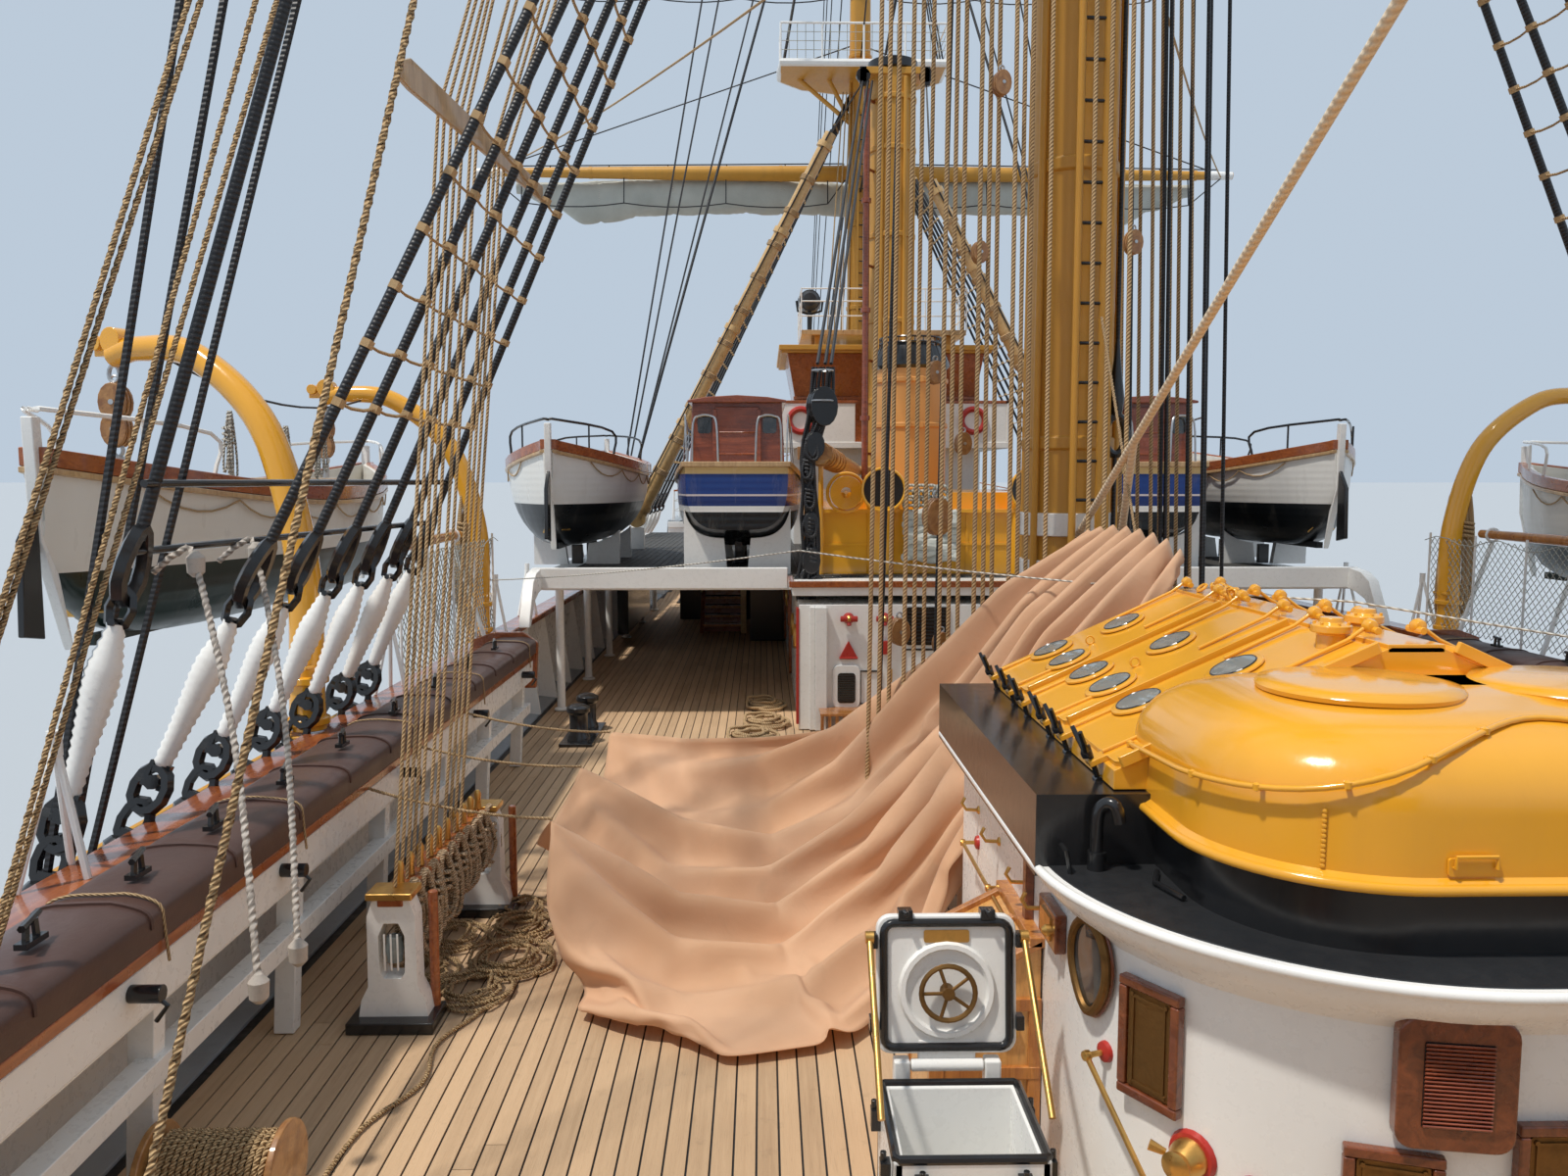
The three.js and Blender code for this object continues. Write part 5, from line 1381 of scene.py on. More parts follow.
def make_braces():
    """Braces from the yardarms to the next mast aft, and from the mizzen's yards forward to the mainmast."""
    aft = {"fore": mast_named("main"), "main": mast_named("mizzen"), "mizzen": None}
    for owner, name, height, half, _ in YARDS:
        mast = mast_named(owner)
        x = mast["x"] + YARD_AHEAD
        behind = aft[owner]
        if behind is None:
            behind, end_z, end_y = mast_named("main"), height - 2.0, 0.5
        else:
            end_z, end_y = height - 3.0, 0.4
            levels = [h for mast_name, _, h, _, _ in YARDS if mast_name == behind["name"]]
            while any(-1.8 < end_z - h < 1.0 for h in levels):
                end_z -= 0.4
        end_x = behind["x"] + (0.5 if behind["x"] < x else -0.5)
        routes = []
        for s in (-1, 1):
            start = np.array((x, s * half * 0.97, height - 0.05))
            stop = np.array((end_x, s * end_y, end_z))
            routes.append(sagging(start, stop, 0.35, 14))
        brace = lines(f"{owner}_{name}_braces", routes, 0.04, HEMP, None, 5)
        start, stop = (x, 0, height - 0.05), (end_x, 0, end_z)
        [c * MODEL for c in start]
        [c * MODEL for c in stop]
        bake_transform(brace)


SCREW_LOW, SCREW_HIGH = 0.55, 1.6  # a rigging screw's ends, measured along the shroud from its foot
MAIN_FEET = (-10.63, -9.80, -8.90, -7.99, -7.15, -6.30, -5.55)


def shroud_feet(mast):
    """Each shroud's foot on its channel and its head on the mast, port side, from aft forward."""
    name, x = mast["name"], mast["x"]
    if name == "main":
        places = MAIN_FEET
    elif name == "fore":
        places = spaced(13.2, 19.1, 1.0)
    else:
        places = spaced(-31.3, -25.9, 1.05)
    height = RAISED - 0.17 if name == "mizzen" else 1.43
    rows = []
    for number, foot_x in enumerate(places):
        foot = np.array(side_point(foot_x, -0.22, height))
        if number == 0:
            z = mast["trees"] - 1.2
            head = np.array((x - 0.1, mast_radius(mast, z), z))
        else:
            z = mast["top"] - 0.55 - 0.05 * number
            head = np.array((x - 0.2 + 0.08 * number, mast_radius(mast, z) * 0.9, z))
        rows.append((foot, head))
    return rows


def along(foot, head, reach):
    return foot + (head - foot) * (reach / np.linalg.norm(head - foot))


def at_height(foot, head, z):
    return foot + (head - foot) * ((z - foot[2]) / (head[2] - foot[2]))


def screw_spots(rows):
    """Where each rigging screw stands, looking up its shroud."""
    spots = []
    for foot, head in rows:
        up = (head - foot) / np.linalg.norm(head - foot)
        for flip in (1, -1):
            turn = np.array((1, flip, 1))
            spots.append((tuple(foot * turn), tuple(up * turn), (1, 0, 0)))
    return spots


def make_rigging_screws(rows):
    spots = screw_spots(rows)
    body = [(0.035, SCREW_LOW), (0.05, SCREW_LOW + 0.05), (0.062, 0.85), (0.092, 1.2), (0.09, 1.32),
            (0.055, 1.5),
            (0.04, SCREW_HIGH)]
    radii, reaches = zip(*body)
    wrapped = [(float(np.interp(z, reaches, radii)) + (0.013 if k % 2 else 0.002), z)
               for k, z in enumerate(spaced(SCREW_LOW + 0.01, SCREW_HIGH - 0.01, 0.03))]
    copies("rigging_screws", [turned(wrapped, (0, 0, 0), sides=12)], spots, WHITE,
           angle=70)
    fork = [box((-0.03, 0.03), (s * 0.055 - 0.014, s * 0.055 + 0.014), (SCREW_LOW - 0.14, SCREW_LOW + 0.03))
            for s in (-1, 1)]
    bolts = [bar((-0.045, 0, SCREW_LOW - 0.1), (0.045, 0, SCREW_LOW - 0.1), 0.05, sides=8),
             bar((0, -0.11, SCREW_LOW - 0.1), (0, 0.11, SCREW_LOW - 0.1), 0.032, sides=6)]
    ring = [(math.cos(a), math.sin(a)) for a in np.linspace(0, 2 * math.pi, 12)[:-1]]
    link = [tube([(0, 0.085 * c, 0.17 + 0.15 * s) for c, s in ring], 0.036, 5, closed=True),
            tube([(0.02 * c, 0.11 * c, 0.4 + 0.15 * s) for c, s in ring], 0.042, 5, closed=True)]
    pad = [turned([(0.11, -0.03), (0.12, 0.0), (0.09, 0.05), (0.03, 0.07)], (0, 0, 0), sides=10),
           box((-0.03, 0.03), (-0.05, 0.05), (0.0, 0.12))]
    shackle = [tube([(0, 0.07 * math.sin(a), SCREW_HIGH + 0.08 - 0.12 * math.cos(a))
                     for a in np.linspace(0, 2 * math.pi, 9)[:-1]],
                    0.028, 4, closed=True),
               bar((-0.07, 0, SCREW_HIGH), (0.07, 0, SCREW_HIGH), 0.025, sides=6)]
    eye = [tube([(0.15 * math.sin(a) * (1 - 0.5 * (0.5 - 0.5 * math.cos(a))), 0,
                  SCREW_HIGH + 0.13 + 0.22 * (1 - math.cos(a)))
                 for a in np.linspace(0, 2 * math.pi, 13)[:-1]], 0.05, 5, closed=True)]
    copies("rigging_screw_irons", [*fork, *bolts, *link, *pad, *shackle, *eye], spots, BLACK)


def make_shrouds():
    screws = []
    served, ratlines, seizings, poles = [], [], [], []
    for mast in MASTS:
        rows = shroud_feet(mast)
        screws += rows
        low, high = rows[0][0][2] + 2.9, mast["top"] - 1.6
        ladder = rows[1:]
        for flip in (1, -1):
            turn = np.array((1, flip, 1))
            for foot, head in rows:
                served.append([along(foot, head, SCREW_HIGH + 0.5) * turn, head * turn])
            for reach in (1.95, 2.35):
                z = rows[0][0][2] + reach
                ends = [at_height(f, h, z) * turn for f, h in (rows[0], rows[-1])]
                poles.append([ends[0] - (0.12, 0, 0), ends[1] + (0.12, 0, 0)])
            for z in spaced(low, high, 0.42):
                points = [at_height(f, h, z) * turn for f, h in ladder]
                route = []
                for a, b in zip(points, points[1:]):
                    route += sagging(a, b, 0.03, 3)[:-1]
                ratlines.append([*route, points[-1]])
                seizings += [(tuple(p), tuple((h - f) * turn)) for p, (f, h) in zip(points, ladder)]
    make_rigging_screws(screws)
    lines("shrouds", served, 0.075, WIRE, sides=8)
    lines("sheer_poles", poles, 0.05, BLACK, sides=8)
    lines("ratlines", ratlines, 0.026, HEMP, sides=4)
    knot = turned([(0.05, -0.03), (0.05, 0.03)], (0, 0, 0), sides=5)
    copies("ratline_seizings", [knot], seizings, HEMP)


def make_upper_rigging():
    shrouds, ratlines, stays = [], [], []
    for mast in MASTS:
        x = mast["x"]
        for z0, z1, width, count in ((mast["top"], mast["trees"] - 0.4, mast["width"], 4),
                                     (mast["trees"], mast["truck"] - 7.0, mast["width"] * 0.5, 3)):
            for flip in (1, -1):
                rows = []
                for i in range(count):
                    foot = np.array((x - 1.1 + 1.1 * i / (count - 1), flip * width * 0.97, z0))
                    head = np.array((x - 0.1, flip * mast_radius(mast, z1), z1))
                    rows.append((foot, head))
                shrouds += [list(r) for r in rows]
                for z in spaced(z0 + 0.5, z1 - 1.0, 0.5):
                    ratlines.append([at_height(f, h, z) for f, h in rows])
        foot_x = shroud_feet(mast)[0][0][0]
        height = RAISED - 0.17 if mast["name"] == "mizzen" else 1.43
        for i, z in enumerate((mast["trees"] + 1.0, mast["truck"] - 7.5, mast["truck"] - 1.5)):
            foot = np.array(side_point(foot_x + 0.45 - 0.22 * i, -0.22, height))
            for flip in (1, -1):
                turn = np.array((1, flip, 1))
                stays.append([foot * turn, np.array((x - 0.1, flip * mast_radius(mast, z), z))])
    fore, main, mizzen = MASTS
    fore_x, main_x, mizzen_x = (mast["x"] for mast in MASTS)
    for z, end in ((30.5, (51.8, 12.35)), (38.5, (55.5, 13.1)), (44.0, (57.8, 13.6)), (48.8, (59.2, 13.9))):
        stays.append([(fore["x"] + mast_radius(fore, z), 0, z), (end[0], 0, end[1])])
    for high, low, pairs in ((main, fore, ((34.5, 20.9), (43.5, 31.5), (51.5, 41.5))),
                             (mizzen, main, ((27.5, 20.5), (35.0, 27.0), (41.5, 35.0)))):
        for z0, z1 in pairs:
            stays.append([(high["x"] + mast_radius(high, z0), 0, z0),
                          (low["x"] - mast_radius(low, z1), 0, z1)])
    bobstays = [((40.75, 0, 1.2), (50.5, 0, 12.0)), ((41.6, 0, 3.4), (51.6, 0, 8.7)),
                ((51.7, 0, 8.7), (59.0, 0, 13.8)),
                ((51.7, 0, 8.7), (55.4, 0, 13.0))]
    stays += [list(r) for r in bobstays]
    for flip in (1, -1):
        stays.append([(39.5, flip * 2.0, 8.0), (51.5, flip * 0.25, 12.1)])
        stays.append([(40.5, flip * 1.5, 8.3), (58.5, flip * 0.2, 13.6)])
    lines("topmast_shrouds", shrouds, 0.05, WIRE, sides=5)
    lines("topmast_ratlines", ratlines, 0.022, HEMP, sides=4)
    lines("stays_and_backstays", stays, 0.05, WIRE, sides=5)
    lines("main_stay", [[(main_x + 0.46, 0, 22.0), (fore_x - 0.42, 0, 17.0)]], 0.07, WIRE,
          replaces=("main_stay",))
    lines("fore_stay", [[(fore_x + 0.4, 0, 20.1), (46.3, 0, 11.25)]], 0.07, WIRE, replaces=("fore_stay",))
    legs = [[(mizzen_x + 0.34, 0, 17.6), (main_x - 0.46, 0, 7.9)], [(-8.0, 0, 8.7), (-6.9, -0.26, 7.85)]]
    lines("mizzen_stay", legs, 0.065, STRAP, sides=10, replaces=("mizzen_stay",))


# Deckhouse with its skylight

MIDDLE = -0.2  # the deckhouse's own middle line lies a little to starboard
HOUSE_FORE, HOUSE_AFT, HOUSE_HALF, HOUSE_CORNER = -8.76, -13.25, 1.85, 1.55
WALL_INSET = 0.2
ROOF_LOW, ROOF_TOP = 1.80, 1.95
EAVES_Y, EAVES_H, RIDGE_Y, RIDGE_H = MIDDLE + 1.45, 2.40, MIDDLE + 0.12, 3.0
DOME_FORE, DOME_AFT, DOME_HALF, DOME_BASE = -11.15, -12.95, 1.32, 2.305


def rounded(fore, aft, half, aft_corner, fore_corner=0.0, middle=MIDDLE, steps=14):
    """An outline with its own radius at the forward and at the after corners."""
    port = []
    quarter = [math.pi / 2 * i / steps for i in range(steps + 1)]
    for a in quarter if fore_corner else quarter[:1]:
        spread = math.sin(a) if fore_corner else 1.0
        port.append((fore - fore_corner * (1 - math.cos(a)), middle + half - fore_corner * (1 - spread)))
    for a in quarter:
        port.append((aft + aft_corner * (1 - math.sin(a)), middle + half - aft_corner * (1 - math.cos(a))))
    return port + [(x, 2 * middle - y) for x, y in reversed(port)]


def stacked(levels, outline):
    """A loft of outlines: levels are (height above deck, inset); outline gives points for an inset."""
    return loft([[(x, y, DECK + h) for x, y in outline(inset)] for h, inset in levels])


def house_outline(inset, steps=24):
    return rounded(HOUSE_FORE - min(inset, 0.02), HOUSE_AFT + inset, HOUSE_HALF - inset,
                   max(0.2, HOUSE_CORNER - inset), steps=steps)


WALL_LINE = house_outline(WALL_INSET)


def wall_spot(reach, height, out=0.0):
    """Place on the deckhouse wall, by length along it from the forward port corner, with its directions."""
    gone = 0.0
    for a, b in zip(WALL_LINE, WALL_LINE[1:]):
        length = math.dist(a, b)
        if length > 1e-6 and gone + length >= reach:
            tangent = np.array((b[0] - a[0], b[1] - a[1], 0)) / length
            facing = np.cross(tangent, (0, 0, 1))
            place = np.array((*a, DECK + height)) + tangent * (reach - gone) + facing * out
            return place, tangent, np.array((0, 0, 1.0)), facing
        gone += length
    raise ValueError("past the end of the wall")


FACING_AFT = ((0, -1, 0), (0, 0, 1), (-1, 0, 0))  # across, up and out on a wall that faces aft


def framed(shell, place, across, up, out):
    """A shell drawn across, up and out from a place."""
    points, faces = shell
    return outward((points @ np.array([across, up, out]) + np.array(place), faces))


def on_wall(shells, reach, height, out=0.0):
    return [framed(s, *wall_spot(reach, height, out)) for s in shells]


def across_middle(shells):
    """Copies on the other side of the deckhouse's middle line."""
    return [moved(mirrored(s), (0, 2 * MIDDLE, 0)) for s in shells]


def board(width, height, thick, corner=0.03, low=0.0):
    """An upright board with clipped or rounded corners, drawn across, up and out."""
    steps = 5
    outline = []
    for cx, cy, start in ((1, 1, 0), (-1, 1, 90), (-1, -1, 180), (1, -1, 270)):
        for i in range(steps + 1):
            a = math.radians(start + 90 * i / steps)
            outline.append((cx * (width / 2 - corner) + corner * math.cos(a),
                            cy * (height / 2 - corner) + corner * math.sin(a)))
    return prism(outline, low, low + thick)


def frame_boards(width, height, rim, thick):
    """Four boards round an opening."""
    w, h = width / 2, height / 2
    return [box((-w, w), (h - rim, h), (0, thick)), box((-w, w), (-h, -h + rim), (0, thick)),
            box((-w, -w + rim), (-h + rim, h - rim), (0, thick)),
            box((w - rim, w), (-h + rim, h - rim), (0, thick))]


def make_deckhouse():
    walls = stacked([(0.004, 0.2), (ROOF_LOW + 0.02, 0.2)], house_outline)
    cove = stacked([(ROOF_LOW - 0.10, 0.205), (ROOF_LOW - 0.06, 0.175), (ROOF_LOW - 0.01, 0.115),
                    (ROOF_LOW + 0.04, 0.07),
                    (ROOF_LOW + 0.09, 0.045), (ROOF_TOP - 0.03, 0.038), (ROOF_TOP - 0.005, 0.045),
                    (ROOF_TOP - 0.005, 0.3)], house_outline)
    white = [walls, cove]
    rim = [(x, y, DECK + ROOF_TOP - 0.02) for x, y in house_outline(0.027)]
    white.append(tube(rim, 0.024, 8))
    plinth = stacked([(0.004, 0.185), (0.12, 0.185)], house_outline)
    piece("deckhouse_walls", white, WHITE, replaces=("deckhouse",), angle=50)
    piece("deckhouse_plinth", [plinth], BLACK)
    roof = stacked([(ROOF_TOP - 0.03, 0.06), (ROOF_TOP, 0.075), (ROOF_TOP + 0.004, 0.4)], house_outline)
    piece("deckhouse_roof", [roof], ROOF_GREY)
    half = HOUSE_HALF - 0.01
    coaming = [prism([(-11.8, MIDDLE - half), (HOUSE_FORE, MIDDLE - half), (HOUSE_FORE, MIDDLE + half),
                      (-11.8, MIDDLE + half)],
                     DECK + 1.9, DECK + 2.3),
               stacked([(1.9, 0), (2.3, 0)],
                       lambda i: rounded(-11.0, DOME_AFT + 0.06, DOME_HALF - 0.06, 0.7))]
    neck = curve([(-11.86, MIDDLE + 1.56, DECK + 1.93), (-11.86, MIDDLE + 1.56, DECK + 2.2),
                  (-11.87, MIDDLE + 1.53, DECK + 2.27),
                  (-11.9, MIDDLE + 1.49, DECK + 2.27), (-11.91, MIDDLE + 1.47, DECK + 2.19)], 6)
    coaming += [tube(neck, 0.032, 10),
                bar((-11.86, MIDDLE + 1.56, DECK + 1.94), (-11.86, MIDDLE + 1.56, DECK + 2.04), 0.045),
                tube([(-11.82, MIDDLE + 1.72, DECK + 2.06), (-11.92, MIDDLE + 1.72, DECK + 2.06),
                      (-11.92, MIDDLE + 1.7, DECK + 1.95)], 0.012),
                tube([(-11.95, MIDDLE + 1.3, DECK + 1.97), (-12.1, MIDDLE + 1.36, DECK + 1.97),
                      (-12.3, MIDDLE + 1.3, DECK + 1.97)], 0.014)]
    coaming += across_middle(coaming[2:5])
    piece("deckhouse_coaming", coaming, BLACK, bevel=0.02)
    make_wall_fittings()
    make_locker()


def make_wall_fittings():
    wood, dark, bronze, glass, red, slats, plates = [], [], [], [], [], [], []
    # Framed plates, left blank: place along the wall, height, width, depth of the frame
    for reach, height, width, tall in ((3.66, 1.36, 0.32, 0.54), (4.62, 1.05, 0.36, 0.36),
                                       (5.36, 1.12, 0.62, 0.5)):
        frame_wood = frame_boards(width, tall, 0.045, 0.05)
        wood += on_wall([*frame_wood, board(width - 0.06, tall - 0.06, 0.02, 0.01)], reach, height)
        across, up = width / 2 - 0.07, tall / 2 - 0.07
        screw = turned([(0.014, 0), (0.01, 0.045)], (0, 0, 0), sides=8)
        screws = [moved(screw, (k * across, j * up, 0)) for k in (-1, 1) for j in (-1, 1)]
        plates += on_wall([board(width - 0.1, tall - 0.1, 0.035, 0.01), *screws], reach, height)
        plates += on_wall(frame_boards(width - 0.14, tall - 0.14, 0.012, 0.042), reach, height)
    vent, far_vent, crest, lock = (4.81, 1.53), (4.4, 1.53), (3.26, 1.58), (2.75, 1.56)
    # The black board behind each louvre's slats is painted shade of the vent's inside.
    vent_frame, vent_shade = board(0.43, 0.52, 0.07, 0.07), board(0.25, 0.34, 0.074, 0.01)
    wood += on_wall([vent_frame], *vent)
    dark += on_wall([vent_shade], *vent)
    slat = swung(box((-0.122, 0.122), (-0.007, 0.007), (-0.003, 0.003)), 40, (1, 0, 0))
    for k in range(21):
        slats += on_wall([moved(slat, (0, -0.16 + k * 0.016, 0.078))], *vent)
    shield = [(0.16 * math.sin(a), 0.19 * math.cos(a) - (0.05 * max(0.0, -math.cos(a)) ** 4))
              for a in np.linspace(0, 2 * math.pi, 33)[:-1]]
    wood += on_wall([prism([(x * 1.14, y * 1.14) for x, y in shield], 0, 0.02)], *crest)
    plates += on_wall([tube([(x, y, 0.035) for x, y in shield], 0.022, 8, closed=True)], *crest)
    glass += on_wall([prism([(x * 0.95, y * 0.95) for x, y in shield], 0.0, 0.03)], *crest)
    wood += on_wall([board(0.34, 0.2, 0.06, 0.01)], *lock)
    knob = turned([(0.03, 0.06), (0.03, 0.09), (0.012, 0.11)], (0, 0, 0))
    bronze += on_wall([board(0.2, 0.12, 0.07, 0.01), moved(knob, (0.1, 0, 0))], *lock)
    # Storm rail on collars
    for reach, height in ((0.6, 1.29), (1.5, 1.29), (2.38, 1.29), (3.37, 1.19)):
        red += on_wall([turned([(0.05, 0), (0.045, 0.02), (0.02, 0.03)], (0, 0, 0), sides=14)], reach,
                       height)
        bronze += on_wall([bar((0, 0, 0.02), (0, 0, 0.11), 0.014, sides=8),
                           turned([(0.0, 0.09), (0.024, 0.095), (0.026, 0.11), (0.022, 0.125), (0.0, 0.13)],
                                  (0, 0, 0), sides=12)],
                          reach, height)
    bronze.append(tube([wall_spot(r, 1.29, 0.11)[0] for r in spaced(0.6, 2.38, 0.1)], 0.013, 8))
    bronze.append(bar(wall_spot(3.37, 1.19, 0.11)[0], wall_spot(3.75, 0.76, 0.11)[0], 0.013, sides=8))
    for reach, height, size in ((3.87, 0.95, 1.0), (4.13, 0.90, 0.6), (5.46, 1.5, 0.8)):
        red += on_wall([turned([(0.11 * size, 0), (0.10 * size, 0.025), (0.04, 0.03)], (0, 0, 0),
                               sides=20)], reach, height)
        bronze += on_wall([turned([(0.085 * size, 0.02), (0.08 * size, 0.06), (0.055 * size, 0.11),
                                   (0.065 * size, 0.14), (0.02, 0.16)], (0, 0, 0), sides=18),
                           bar((-0.07 * size, 0.02, 0.1), (-0.13 * size, 0.04, 0.13), 0.015 * size,
                               0.024 * size, 8)], reach, height)
    # Hooks high under the roof
    for reach in (0.6, 1.3, 2.05, 2.45):
        bronze += on_wall([tube([(0, 0, 0), (0, 0.005, 0.09), (0.0, 0.05, 0.12), (0, 0.09, 0.1)], 0.012, 6),
                           turned([(0.03, 0), (0.025, 0.012), (0.01, 0.02)], (0, 0, 0), sides=10)], reach,
                          1.52)
    wood += on_wall([box((-0.04, 0.04), (-0.22, 0.22), (0, 0.05))], 2.2, 1.5)
    # A door, two ports and a louvre in the starboard wall
    wood += across_middle(on_wall([board(0.8, 1.55, 0.05, 0.1), board(0.55, 0.5, 0.07, 0.05)], 1.3, 0.85))
    rim, pane = port_shapes(0.14)
    for reach in (2.6, 3.8):
        bronze += across_middle(on_wall([rim], reach, 1.3))
        glass += across_middle(on_wall([pane], reach, 1.3))
    wood += across_middle(on_wall([vent_frame], *far_vent))
    dark += across_middle(on_wall([vent_shade], *far_vent))
    piece("wall_woodwork", wood, FRAME_WOOD, bevel=0.01)
    piece("wall_plates", plates, PLATE_BRONZE)
    piece("wall_brass", bronze, BRASS)
    # painted shade behind the louvre slats
    piece("wall_louvre_back", dark, BLACK)
    piece("wall_louvre_slats", slats, MAHOGANY)
    piece("wall_red_rims", red, RED)
    piece("wall_glass", glass, GLASS)


def make_locker():
    x0, x1, y0, y1 = -11.25, -10.4, 1.46, 2.05
    low, back, front = DECK + 0.03, DECK + 1.33, DECK + 1.03
    carcass = prism([(y0, low), (y0, back), (y1, front), (y1, low)], x0, x1, 0)
    trim = []
    for x in (x0, x1):
        trim.append(prism([(y1 - 0.07, low), (y1 - 0.07, front + 0.04), (y1 + 0.012, front),
                           (y1 + 0.012, low)], x - 0.03, x + 0.03, 0))
    for h in (low + 0.04, front - 0.07):
        trim.append(box((x0 - 0.02, x1 + 0.02), (y1 - 0.02, y1 + 0.018), (h - 0.04, h + 0.04)))
    for x in spaced(x0, x1, 0.43):
        trim.append(prism([(y0, back - 0.01), (y0, back + 0.035), (y1 + 0.03, front + 0.02),
                           (y1 + 0.03, front - 0.02)], x - 0.03, x + 0.03, 0))
    for y, h in ((y0 + 0.03, back + 0.01), (y1, front)):
        trim.append(box((x0 - 0.03, x1 + 0.03), (y - 0.04, y + 0.04), (h - 0.02, h + 0.035)))
    for y in (y0 + 0.03, y1 - 0.03):
        trim.append(box((x0 - 0.018, x0 + 0.01), (y - 0.035, y + 0.035), (low, front)))
    for h in (low + 0.05, DECK + 0.62, front - 0.03):
        trim.append(box((x0 - 0.022, x0 + 0.01), (y0, y1), (h - 0.035, h + 0.035)))
    piece("locker", [carcass], HONEY_WOOD, bevel=0.008)
    piece("locker_framing", trim, HATCH_WOOD, bevel=0.006)
    brass = []
    for y in (y0 + 0.17, y1 - 0.17):
        for h in (DECK + 0.35, DECK + 0.85):
            brass.append(box((x0 - 0.026, x0), (y - 0.05, y + 0.05), (h - 0.03, h + 0.03)))
    for x in (x0 + 0.2, x1 - 0.2):
        brass.append(box((x - 0.05, x + 0.05), (y1, y1 + 0.03), (front - 0.16, front - 0.06)))
    piece("locker_brass", brass, BRASS, bevel=0.004)


def on_slope(shells):
    """Shells drawn from the eaves: aft along them, up the slope and out, at the roof's forward end."""
    rise = Vector((0, RIDGE_Y - EAVES_Y, RIDGE_H - EAVES_H)).normalized()
    across = np.array((-1.0, 0, 0))
    up = np.array(rise)
    return [framed(s, (-8.86, EAVES_Y, DECK + EAVES_H), across, up, np.cross(across, up)) for s in shells]


SLOPE = math.dist((EAVES_Y, EAVES_H), (RIDGE_Y, RIDGE_H))
LID_LENGTH = 0.96


